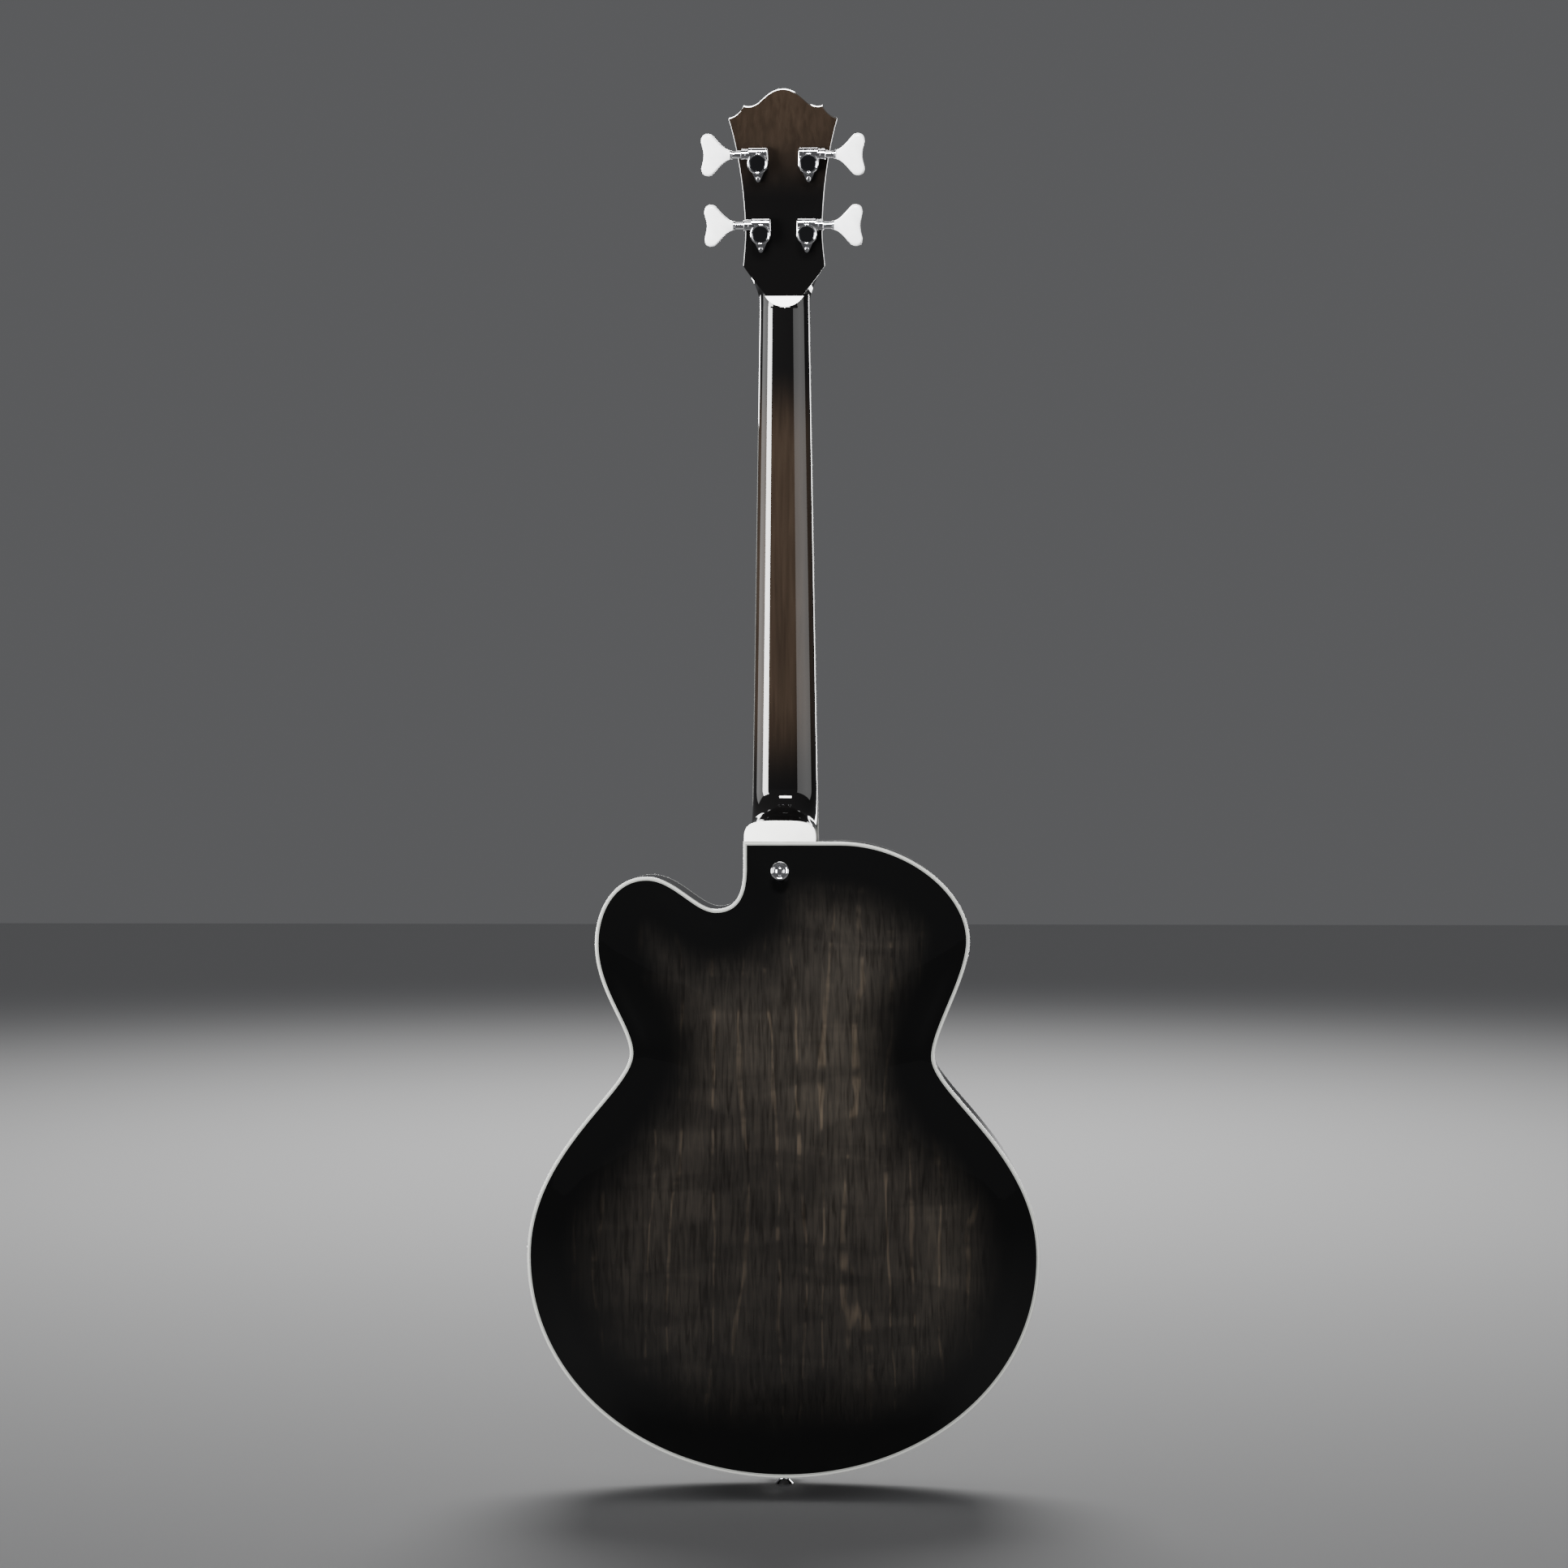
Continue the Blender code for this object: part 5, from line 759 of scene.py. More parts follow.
# fret wire across the board at each point, as wide as the point's size says
def fretTree():
    tree, given = newTree("frets", {"Board Radius": 0.305, "Height": 0.0011, "Width": 0.0024})
    line = addNode(tree, "GeometryNodeCurvePrimitiveLine", Start=(-1, 0, 0), End=(1, 0, 0))
    line = addNode(tree, "GeometryNodeResampleCurve", Curve=line, Count=15)
    lines = addNode(tree, "GeometryNodeInstanceOnPoints", Points=given["Geometry"], Instance=line, Scale=vectorNamed(tree, "size"))
    lines = addNode(tree, "GeometryNodeRealizeInstances", Geometry=lines)
    bent = bentOnBoard(tree, lines, given["Board Radius"])
    section = addNode(tree, "GeometryNodeCurvePrimitiveCircle", Resolution=14, Radius=1.0)
    half = mathNode(tree, "MULTIPLY", given["Width"], 0.5)
    crown = addNode(tree, "ShaderNodeCombineXYZ", X=given["Height"], Y=half, Z=1.0)
    section = addNode(tree, "GeometryNodeTransform", Geometry=section, Scale=crown)
    wire = addNode(tree, "GeometryNodeCurveToMesh", Curve=bent, Profile_Curve=section, Fill_Caps=True)
    return closeTree(tree, wire, given["Finish"])


# inlays let into the board's face, one at each point
def inlayTree():
    tree, given = newTree("inlays", {"Board Radius": 0.305})
    plate = addNode(tree, "GeometryNodeMeshCube", Size=(2.0, 2.0, 2.0), Vertices_X=11, Vertices_Y=2, Vertices_Z=2)
    plates = addNode(tree, "GeometryNodeInstanceOnPoints", Points=given["Geometry"], Instance=plate, Scale=vectorNamed(tree, "size"))
    plates = addNode(tree, "GeometryNodeRealizeInstances", Geometry=plates)
    return closeTree(tree, bentOnBoard(tree, plates, given["Board Radius"]), given["Finish"])


# wedge-shaped kerf blocks along a path, the thick side against the plate
def kerfTree():
    tree, given = newTree("kerfs", {"Spacing": 0.0062, "Length": 0.0048, "Depth": 0.0045, "Height": 0.012, "Foot": 0.4, "Rise": 1.0})
    curve = addNode(tree, "GeometryNodeMeshToCurve", Mesh=given["Geometry"])
    points = addNode(tree, "GeometryNodeCurveToPoints", settings={"mode": "LENGTH"}, Curve=curve, Length=given["Spacing"])
    turn = addNode(tree, "FunctionNodeAlignRotationToVector", settings={"axis": "X", "pivot_axis": "Y"},
                   Vector=points.node.outputs["Tangent"])
    size = addNode(tree, "ShaderNodeCombineXYZ", X=given["Length"], Y=given["Height"], Z=given["Depth"])
    cube = addNode(tree, "GeometryNodeMeshCube", Size=size)
    place = addNode(tree, "ShaderNodeSeparateXYZ", _0=addNode(tree, "GeometryNodeInputPosition")).node.outputs
    thin = addNode(tree, "FunctionNodeCompare", settings={"data_type": "FLOAT", "operation": "GREATER_THAN"},
                   A=mathNode(tree, "MULTIPLY", place["Y"], given["Rise"]), B=0.0)
    depth = mathNode(tree, "ADD", place["Z"], mathNode(tree, "MULTIPLY", given["Depth"], 0.5))
    draw = mathNode(tree, "MULTIPLY", depth, mathNode(tree, "SUBTRACT", given["Foot"], 1.0))
    wedge = addNode(tree, "GeometryNodeSetPosition", Geometry=cube, Selection=thin,
                    Offset=addNode(tree, "ShaderNodeCombineXYZ", Z=draw))
    blocks = addNode(tree, "GeometryNodeInstanceOnPoints", Points=points, Instance=wedge, Rotation=turn)
    return closeTree(tree, blocks, given["Finish"])


trees = {"screws": screwTree(), "ridges": ridgeTree(), "wire": wireTree(), "frets": fretTree(), "inlays": inlayTree(),
         "kerfs": kerfTree()}


# screw heads at (x, y, z) places of a frame
def screws(name, places, frameOf, sizes, body, finish):
    aim = frameOf.to_3x3() @ Vector(sizes["aim"])
    host = hostPoints([frameOf @ Vector(place) for place in places], [aim] * len(places))
    values = {label: value for label, value in sizes.items() if label != "aim"}
    return grown(name, trees["screws"], host, values, body, finish, 30)


# body

bodyShape = {
    "shoulder": (-0.0450, bodyLength, 180), "upper": (0.1465, bodyLength - 0.0775), "waist": (0.1190, 0.331),
    "lower": (0.2015, 0.174), "trebleWaist": (0.1205, 0.333), "trebleUpper": (0.1480, bodyLength - 0.0805, 90),
    "horn": (0.1074, bodyLength - 0.0277, 180), "cutaway": (0.0527, bodyLength - 0.0530, 180),
    "wall": (0.0312, bodyLength - 0.0201, 90),
    "steps": 6,              # how much finer than the construction model
    "bindingWidth": 0.0029, "bindingHeight": 0.005, "edge": 0.0005, "plate": 0.005, "rimWall": 0.004,
    "topArch": 0.013, "backArch": 0.011, "crown": 0.85, "spine": (0.150, bodyLength - 0.1695), "rings": 36, "fullArchAt": 0.085,
    "shoulderCorner": 0.0012,
}


def bodyOutline(s):
    def mirrored(name, side):
        x, z = s[name]
        return (side * x, z, 270 if side < 0 else 90)

    k = s["steps"]
    tail = (0, 0, 0)
    points = span(s["shoulder"], mirrored("upper", -1), 0.41, 0.31, 7 * k)
    points += span(mirrored("upper", -1), mirrored("waist", -1), 0.30, 0.22, 5 * k)
    points += span(mirrored("waist", -1), mirrored("lower", -1), 0.16, 0.46, 6 * k)
    points += span(mirrored("lower", -1), tail, 0.39, 0.40, 8 * k)
    points += span(tail, mirrored("lower", 1), 0.40, 0.39, 8 * k)
    points += span(mirrored("lower", 1), mirrored("trebleWaist", 1), 0.46, 0.16, 6 * k)
    points += span(mirrored("trebleWaist", 1), s["trebleUpper"], 0.23, 0.41, 5 * k)
    points += span(s["trebleUpper"], s["horn"], 0.41, 0.39, 5 * k)
    points += span(s["horn"], s["cutaway"], 0.37, 0.26, 5 * k)
    points += span(s["cutaway"], s["wall"], 0.45, 0.45, 4 * k)
    wallX, wallZ = s["wall"][:2]
    points += [(wallX, wallZ + (bodyLength - wallZ) * i / k) for i in range(k)]
    points += [(wallX + (s["shoulder"][0] - wallX) * i / k, bodyLength) for i in range(k)]
    return points


def archShare(along):
    rise = 1 - (1 - along) ** 2.2
    recurve = min(along / 0.15, 1.0)
    return rise * (0.5 + 0.5 * recurve * recurve * (3 - 2 * recurve))


def spinePoint(z):
    low, high = bodyShape["spine"]
    return 0.0, min(max(z, low), high)


# how far a point lies from the edge towards the middle line, 0 to 1
def wayIn(x, z, edge):
    sx, sz = spinePoint(z)
    dx, dz = x - sx, z - sz
    if math.hypot(dx, dz) < 1e-6:
        return 1.0
    best = None
    for i in range(len(edge)):
        ax, az = edge[i - 1]
        ex, ez = edge[i][0] - ax, edge[i][1] - az
        cross = dx * ez - dz * ex
        if abs(cross) < 1e-12:
            continue
        ray = ((ax - sx) * ez - (az - sz) * ex) / cross
        side = ((ax - sx) * dz - (az - sz) * dx) / cross
        if ray > 0 and -1e-9 <= side <= 1 + 1e-9:
            best = ray if best is None else min(best, ray)
    return 1 - 1 / best if best else 0.0


def topY(x, z):
    share = min(max(wayIn(x, z, plateEdge) / bodyShape["crown"], 0.0), 1.0)
    return -bodyShape["topArch"] * archShare(share)


def backY(x, z):
    share = min(max(wayIn(x, z, plateEdge) / bodyShape["crown"], 0.0), 1.0)
    return rimDepth + bodyShape["backArch"] * archShare(share)


# a frame on an arched face whose local y axis is square to it
def surfaceFrame(x, z, surface):
    step = 0.004
    slopeX = (surface(x + step, z) - surface(x - step, z)) / (2 * step)
    slopeZ = (surface(x, z + step) - surface(x, z - step)) / (2 * step)
    yAxis = Vector((-slopeX, 1, -slopeZ)).normalized()
    zAxis = Vector((1, slopeX, 0)).cross(yAxis).normalized()
    rotation = Matrix((yAxis.cross(zAxis), yAxis, zAxis)).transposed().to_4x4()
    return bodyFrame @ Matrix.Translation((x, surface(x, z), z)) @ rotation


# straight distance of each (x, z) from an outline
def edgeDistance(points, edge):
    places = numpy.array(points)[:, None, :]
    start = numpy.array(edge)[None, :, :]
    along = numpy.array(edge[1:] + edge[:1])[None, :, :] - start
    share = ((places - start) * along).sum(2) / (along ** 2).sum(2)
    nearest = start + numpy.clip(share, 0, 1)[:, :, None] * along
    return numpy.sqrt(((places - nearest) ** 2).sum(2).min(1))


# an arched plate; where the edge folds in at the cutaway the arch stays low beside it
def archedForm(edge, level, arch, wall, s):
    rows = []
    for r in range(s["rings"] + 1):
        along = (r / s["rings"]) ** 1.4
        share = along * s["crown"]
        flat = []
        for x, z in edge:
            sx, sz = spinePoint(z)
            flat.append((x + share * (sx - x), z + share * (sz - z)))
        reach = numpy.clip(edgeDistance(flat, edge) / s["fullArchAt"], 0, 1)
        least = [archShare(value) for value in reach]
        rows.append([(x, level + arch * softLeast(archShare(along), most), z) for (x, z), most in zip(flat, least)])
    under = [[(x, y + wall, z) for x, y, z in row] for row in rows[::4]]
    return loft(under[::-1] + rows)


def softLeast(first, second, blend=0.10):
    share = min(max(0.5 + 0.5 * (second - first) / blend, 0.0), 1.0)
    return second + (first - second) * share - blend * share * (1 - share)


# writes each vertex's distance from the body's edge, for the burst
def writeInward(piece, edge):
    mesh = piece.data
    if "inward" in mesh.attributes:
        mesh.attributes.remove(mesh.attributes["inward"])
    layer = mesh.attributes.new("inward", "FLOAT", "POINT").data
    step = edge[::3]
    for vertex, entry in zip(mesh.vertices, layer):
        x, z = vertex.co.x - bodyFrame.translation.x, vertex.co.z - bodyFrame.translation.z
        entry.value = math.sqrt(min((x - ex) ** 2 + (z - ez) ** 2 for ex, ez in step))


# a strip between two outlines whose outer corner at one face is rounded; across runs 0 outside to 1 inside
def band(outer, inner, yLow, yHigh, edge=0.0, outside=1):
    near, far = (yLow, yHigh) if outside > 0 else (yHigh, yLow)
    rows = [(outer, near, 0.0)]
    if edge:
        step = math.copysign(edge, far - near)
        rows += [(outer, far - step, 0.0), (inset(outer, edge * 0.3), far - step * 0.3, 0.05),
                 (inset(outer, edge), far, 0.1)]
    else:
        rows.append((outer, far, 0.0))
    rows += [(inner, far, 1.0), (inner, near, 1.0)]
    rings = [[(x, y, z) for x, z in line] for line, y, value in rows]
    values = [[value] * len(outer) for line, y, value in rows]
    return loft(rings, True, None, values, "across")


outline = bodyOutline(bodyShape)
plateEdge = inset(outline, bodyShape["bindingWidth"] + 0.00005)


def makeBody(s):
    back = newObject("archedBack", meshOf("archedBack", archedForm(plateEdge, rimDepth, s["backArch"], -s["plate"], s), bodyFrame))
    writeInward(back, outline)
    dress(back, "root", "stained_maple", 50, ["back_plate"])
    inner = inset(outline, s["bindingWidth"])
    backLow = rimDepth - s["bindingHeight"]
    meshPiece("backBoundEdge", band(outline, inner, backLow, rimDepth, s["edge"]), "root", "boundEdge",
              40, bodyFrame, ["back_binding"])
    return back


keepOff(offBody, makeBody(bodyShape))
print("body made")


# neck, heel and head

neckShape = {
    "nutHalf": 0.020, "endHalf": 0.0288, "depthNut": 0.0155, "depthHeel": 0.0178, "rise": 0.008,
    "roundness": 2.3, "undercut": 0.0002, "endGap": 0.003, "stations": 40, "around": 56,
    "tenon": ((-0.019, -0.0035, bodyLength - 0.055), (0.019, 0.045, bodyLength + 0.0034)),
    "rod": (0.006, 0.0008, 0.0090, 0.030),   # width, front, back and its end's distance from the body
}
heelShape = {
    "treble": 0.0306, "bass": 0.0259, "height": 0.0166, "sweep": 0.042,
    "roundness": 3.6, "front": -0.0055, "levels": 40,
    "cap": 0.0025, "capEdge": 0.0006,
}
headShape = {
    "wood": 0.0112, "plate": 0.0020, "bindingWidth": 0.0016, "front": -0.0023,
    "start": (0.020, 0.0006, 90), "backStart": (0.0145, 0.0078, 50), "intoHead": 0.0115, "edge": 0.0006,
    "shoulder": (0.0325, 0.0315), "waist": (0.0304, 0.060), "ear": (0.0427, 0.1459), "notch": (0.0310, 0.1556),
    "flank": (0.0180, 0.1588), "top": 0.1683, "steps": 6,
}


def neckHalf(distance, s=neckShape):
    return s["nutHalf"] + (s["endHalf"] - s["nutHalf"]) * distance / boardLength


def headOutline(start=headShape["start"], s=headShape):
    k = s["steps"]
    half = span(start, (*s["shoulder"], 57), 0.25, 0.35, 4 * k)
    half += span((*s["shoulder"], 95), (*s["waist"], 90), 0.33, 0.36, 2 * k)
    half += span((*s["waist"], 89), (*s["ear"], 73), 0.34, 0.30, 4 * k)
    half += span((*s["ear"], 165), (*s["notch"], 117), 0.40, 0.40, 2 * k)
    half += span((*s["notch"], 204), (*s["flank"], 136), 0.33, 0.35, 2 * k)
    half += span((*s["flank"], 138), (0, s["top"], 180), 0.36, 0.36, 3 * k)
    return half + [(0, s["top"])] + [(-x, z) for x, z in half[::-1]]


# heel, shaft and throat in one skin: sections fan out of the heel's cap and then climb the neck
def shaftForm(s):
    h = heelShape
    back, top = rimDepth - h["cap"] - seat, h["sweep"]
    shaftStart = -(jointDistance - top / math.cos(neckAngle))
    toNeck = neckFrame.inverted() @ bodyFrame
    startDepth = s["depthNut"] - (s["depthHeel"] - s["depthNut"]) * shaftStart / jointDistance
    shaftBack = (toNeck.inverted() @ Vector((0, startDepth, shaftStart))).y
    heelHalf, startHalf = (h["treble"] + h["bass"]) / 2, neckHalf(-shaftStart) - s["undercut"]
    rings = []
    for i in range(h["levels"]):
        t = i / h["levels"]
        forward = 1 - (1 - t) ** 2.0
        height = h["height"] + (top - h["height"]) * (1 - math.sqrt(max(0.0, 1 - forward ** 3)))
        y = back + (shaftBack - back) * forward
        corner = 0.55
        if t < corner:
            foot = (back + (h["front"] - back) * t / corner, seat)
        else:
            foot = (h["front"], seat + (top - seat) * (t - corner) / (1 - corner))
        blend = t * t * (3 - 2 * t)
        half = heelHalf + (startHalf - heelHalf) * blend
        shift = (h["treble"] - h["bass"]) / 2 * (1 - blend)
        power = h["roundness"] + (s["roundness"] - h["roundness"]) * blend
        section = superellipse(half, 1.0, power, s["around"], shift)
        ring = [(x, foot[0] + (y - foot[0]) * up, bodyLength + foot[1] + (height - foot[1]) * up) for x, up in section]
        rings.append([tuple(toNeck @ Vector(point)) for point in ring])
    for i in range(s["stations"] + 1):
        distance = -shaftStart * (1 - i / s["stations"])
        depth = s["depthNut"] + (s["depthHeel"] - s["depthNut"]) * distance / jointDistance
        section = superellipse(neckHalf(distance) - s["undercut"], depth, s["roundness"], s["around"])
        rings.append([(x, y, -distance) for x, y in section])
    toHead = neckFrame.inverted() @ headFrame
    for along in (0, headShape["intoHead"]):
        rings.append([tuple(toHead @ Vector((x, y, along))) for x, y in section])
    return loft(rings)


# the flat that runs from the neck's back down to the head's
def scoopForm(s):
    low = headFrame.inverted() @ neckFrame @ Vector((0, s["depthNut"], 0))
    floor = headShape["wood"] - 0.0004
    start = headShape["backStart"][1]
    slope = (low.y - floor) / (low.z - start)
    end, outer = headShape["intoHead"] + 0.0004, floor + 0.015
    side = [(floor, start), (floor, end), (outer, end), (outer, start + 0.015 / slope)]
    return loft([[(x, y, z) for y, z in side] for x in (-0.0204, 0.0204)])


def slabForm(s):
    back = headOutline(s["backStart"])
    levels = [(headOutline(), 0.0), (back, s["wood"] - s["edge"])]
    levels += [(inset(back, s["edge"] * 0.3), s["wood"] - s["edge"] * 0.3), (inset(back, s["edge"]), s["wood"])]
    return loft([[(x, y, z) for x, z in line] for line, y in levels])


def makeNeck(s):
    width, front, back, end = s["rod"]
    channel = block((-width / 2 - seat, -0.015, end - jointDistance - seat), (width / 2 + seat, back + seat, 0.018))
    shaft = joined("neckWood", [(shaftForm(s), neckFrame)], [(scoopForm(s), headFrame)])
    helpers = [(slabForm(headShape), headFrame), (block(*s["tenon"]), bodyFrame)]
    source = bmesh.new()
    source.from_mesh(shaft.data)
    bpy.data.objects.remove(shaft)
    neck = joined("neckWood", [(source, None)] + helpers, [(channel, neckFrame)])
    dress(neck, "root", "stained_neck", 24, ["neck"], True)


def makeHeelCap(s):
    half = (s["treble"] + s["bass"]) / 2
    levels = ((rimDepth - s["cap"], 0.0), (rimDepth - s["capEdge"], 0.0), (rimDepth - s["capEdge"] * 0.3, s["capEdge"] * 0.3),
              (rimDepth, s["capEdge"]))
    rings = []
    for y, grow in levels:
        edge = superellipse(half - grow, s["height"] - seat - grow, s["roundness"], 64, (s["treble"] - s["bass"]) / 2, seat)
        rings.append([(x, y, bodyLength + z) for x, z in edge])
    meshPiece("heelCap", loft(rings), "root", "cream_plastic", 40, bodyFrame, ["heel_cap"])


def makeHeadTrim(s):
    whole = headOutline()
    inner = inset(whole, s["bindingWidth"])
    face = inset(whole, s["bindingWidth"] + 0.00005)
    strip = band(whole, inner, s["front"], -seat, 0.0004, -1)
    meshPiece("headBoundEdge", strip, "root", "headEdge", 40, headFrame, ["head_binding"])
    plate = prism(face, -seat, s["front"])
    well = block((-0.006, -0.015, -nutThickness), (0.006, 0.0035, 0.024))
    bores = [(turned([(0.0065, -0.02), (0.0065, 0.02)], 40), headFrame @ Matrix.Translation((side * x, 0, z)))
             for side in (-1, 1) for x, z in tunerShape["places"]]
    piece = joined("headFacing", [(plate, headFrame)], [(well, headFrame)] + bores)
    dress(piece, "root", "black_plastic", 30, ["head_plate"])


makeNeck(neckShape)
makeHeelCap(heelShape)
print("neck and heel made")


# tuning machines

tunerShape = {
    "places": ((0.0183, 0.0574), (0.0200, 0.1123)), "names": ("e", "a", "d", "g"),
    "half": 0.0079, "height": 0.0102, "base": 0.0030, "top": 0.0121, "corner": 0.0012, "edge": 0.0008,
    "ring": 0.00815, "round": 0.0009, "disc": 0.0064, "lug": 0.0151, "lugHalf": 0.0021, "lugScrew": 0.0121,
    "offset": 0.0065, "lift": 0.0053, "bar": (0.0042, 0.0047), "collar": (0.0041, 0.0134), "shaft": 0.0027,
    "ferrule": (0.0035, 0.0015), "button": (0.022, 0.0445), "stem": 0.0034, "stemDepth": 0.0068, "stemLength": 0.010,
    "lobe": 0.0085, "dish": 0.0022, "span": 0.0318, "thickness": 0.0085, "buttonEdge": 0.80,
    "post": 0.0048, "rise": 0.019, "shank": 0.0032, "bushing": (0.0062, 0.0082, 0.0020),
}


# the housing's foot: a squared top, the round of the barrel and the lug for its screw
def plinthOutline(s, side):
    half, top, corner = s["half"], s["top"], s["corner"]
    points = [(half, top - corner)]
    points += [(half - corner + corner * math.cos(a), top - corner + corner * math.sin(a))
               for a in (math.radians(t) for t in (22.5, 45, 67.5))] + [(half - corner, top)]
    left = [(-x, z) for x, z in points[::-1]]
    arc = []
    for degrees in range(180, 361, 5):
        a = math.radians(degrees)
        arc.append((s["ring"] * 1.02 * math.cos(a), s["ring"] * 1.02 * math.sin(a)))
    tip = [(s["lugHalf"] * math.cos(math.radians(a)), -s["lug"] + s["lugHalf"] + s["lugHalf"] * math.sin(math.radians(a)))
           for a in range(205, 336, 13)]
    low = [point for point in arc if point[0] < -s["ring"] * 0.60]
    high = [point for point in arc if point[0] > s["ring"] * 0.60]
    outline = points + left + low + tip + high
    outline = [(side * x, z) for x, z in outline]
    return outline if side > 0 else outline[::-1]


def housingForms(s, side):
    foot = prism(plinthOutline(s, side), seat, s["base"], s["edge"])
    ring, disc, k, high = s["ring"], s["disc"], s["round"], s["height"]
    profile = [(ring, s["base"] / 2)]
    profile += [(ring - k * (1 - math.cos(a)), high - k * (1 - math.sin(a))) for a in (math.pi / 2 * i / 7 for i in range(8))]
    profile += [(disc + k * (1 - math.sin(a)), high - k * (1 - math.cos(a))) for a in (math.pi / 2 * i / 7 for i in range(8))]
    barrel = turned(profile + [(disc, high - 0.0016), (0, high - 0.0016)], 72)
    tall, wide = s["bar"]
    centreY, centreZ = s["lift"] - 0.0002, s["top"] - 0.0002 - wide
    section = [(s["base"] / 2, 0.0004), (s["base"] / 2, s["top"] - 0.0002)]
    for degrees in range(90, -61, -6):
        a = math.radians(degrees)
        section.append((centreY + tall * math.cos(a), centreZ + wide * math.sin(a)))
    section += [(s["base"] + 0.0006, 0.0004)]
    ends = ((seat - s["half"], 0.0006), (seat - s["half"] + 0.0006, 0.0), (s["half"] - seat - 0.0006, 0.0),
            (s["half"] - seat, 0.0006))
    rings = []
    for x, draw in ends:
        ring = []
        for y, z in section:
            dy, dz = y - centreY, z - centreZ
            reach = math.hypot(dy, dz)
            ring.append((side * x, centreY + dy * (1 - draw / reach), centreZ + dz * (1 - draw / reach)))
        rings.append(ring)
    radius, end = s["collar"]
    steps = [(radius, s["base"] / 2), (radius, s["half"] + 0.0012), (radius - 0.0003, s["half"] + 0.0014),
             (radius - 0.0003, s["half"] + 0.0018), (radius, s["half"] + 0.0020), (radius, end - 0.0005),
             (radius - 0.0005, end)]
    collar = turned([(r, side * x) for r, x in steps], 40, "x")
    flange, wide, high = s["bushing"]
    front = headShape["front"] - headShape["wood"] - seat
    bushing = turned([(flange, s["base"] / 3), (flange, front), (wide, front), (wide, front - 0.0005),
                      (wide - 0.0006, front - high + seat), (0.0044, front - high + seat)], 48)
    return foot, barrel, loft(rings), collar, bushing


def makeHousing(name, side, place, axle, s):
    foot, barrel, bar, collar, bushing = housingForms(s, side)
    front = headShape["front"] - headShape["wood"]
    chamber = turned([(0.00474, s["lift"] - 0.0015), (0.00474, s["lift"] + 0.0015)], 48)
    postBore = turned([(0.0040, s["lift"]), (0.0040, front - 0.015)], 40)
    wormBore = turned([(0.0031, -side * 0.0062), (0.0031, side * 0.0284)], 40, "x")
    screwBore = turned([(0.0010, -0.001), (0.0010, 0.02)], 24, "y", (0, -s["lugScrew"]))
    piece = joined(f"{name}TunerHousing", [(foot, place), (barrel, place), (bar, place), (collar, axle), (bushing, place)],
                   [(chamber, place), (postBore, place), (wormBore, axle), (screwBore, place)])
    dress(piece, "root", "chrome", 28, [f"{name}_tuner_housing"], True)
    # the lid's disc wears the darkened chrome, painted shade in place of its dark reflection
    low = s["height"] - 0.00155
    lid = turned([(0, low), (s["disc"] - seat / 2, low), (s["disc"] - seat / 2, low + 0.0006), (s["disc"] - 0.0004, low + 0.0008),
                  (0, low + 0.0008)], 64)
    meshPiece(f"{name}TunerLid", lid, "root", "paintedShadeChrome", 28, place)


# the button's axle with its worm, which sits under the lid
def makeShaft(name, side, axle, s):
    start = s["button"][0] - seat
    radius, length = s["ferrule"]
    profile = [(0.0014, -0.0058), (0.0014, 0.0040), (0.0024, 0.0044), (s["shaft"] - 0.0002, 0.0125), (s["shaft"], 0.0127),
               (s["shaft"], start - length - 0.0003), (radius - 0.0004, start - length - 0.0002), (radius, start - length + 0.0002),
               (radius, start - 0.0003), (radius - 0.0003, start)]
    shaft = turned([(r, side * x) for r, x in profile], 40, "x")
    meshPiece(f"{name}TunerShaft", shaft, f"{name}_button", "chrome", 30, axle, [f"{name}_tuner_worm_shaft"])


def makeButton(name, side, axle, s):
    start, end = s["button"]
    lobe = s["span"] / 2
    length = end - start
    stem, top = (start, s["stem"]), (end - s["lobe"], lobe - 0.0004)
    rim, dish = (end - 0.0003, lobe * 0.62), (end - s["dish"], 0)
    upper = bezier(stem, (start + 0.22 * length, s["stem"] * 1.25), (top[0] - 0.18 * length, lobe * 0.75), top, 18)
    upper += bezier(top, (end - s["lobe"] * 0.65, lobe * 1.06), (end, lobe * 1.06), rim, 16)
    upper += bezier(rim, (end - s["dish"] / 2, lobe * 0.40), (dish[0], lobe * 0.22), dish, 12)
    outline = upper + [dish] + [(x, -z) for x, z in upper[::-1]]
    centre = (start + end) / 2
    rings = []
    levels = 14
    for i in range(levels + 1):
        across = -math.cos(math.pi * i / levels)
        share = s["buttonEdge"] + (1 - s["buttonEdge"]) * (1 - abs(across) ** 3.2) ** (1 / 2.4)
        row = []
        for x, z in outline:
            swell = min((x - start) / s["stemLength"], 1.0)
            swell = swell * swell * (3 - 2 * swell)
            depth = s["stemDepth"] + (s["thickness"] - s["stemDepth"]) * swell
            narrow = 1 - (1 - share) * (0.35 + 0.65 * swell)
            reach = 0.5 + 0.5 * share if x > centre else 1.0
            row.append((side * (centre + (x - centre) * reach), across * 0.5 * depth, z * narrow))
        rings.append(row)
    meshPiece(f"{name}TunerButton", loft(rings), f"{name}_button", "white_plastic", 50, axle,
              [f"{name}_tuner_button"])


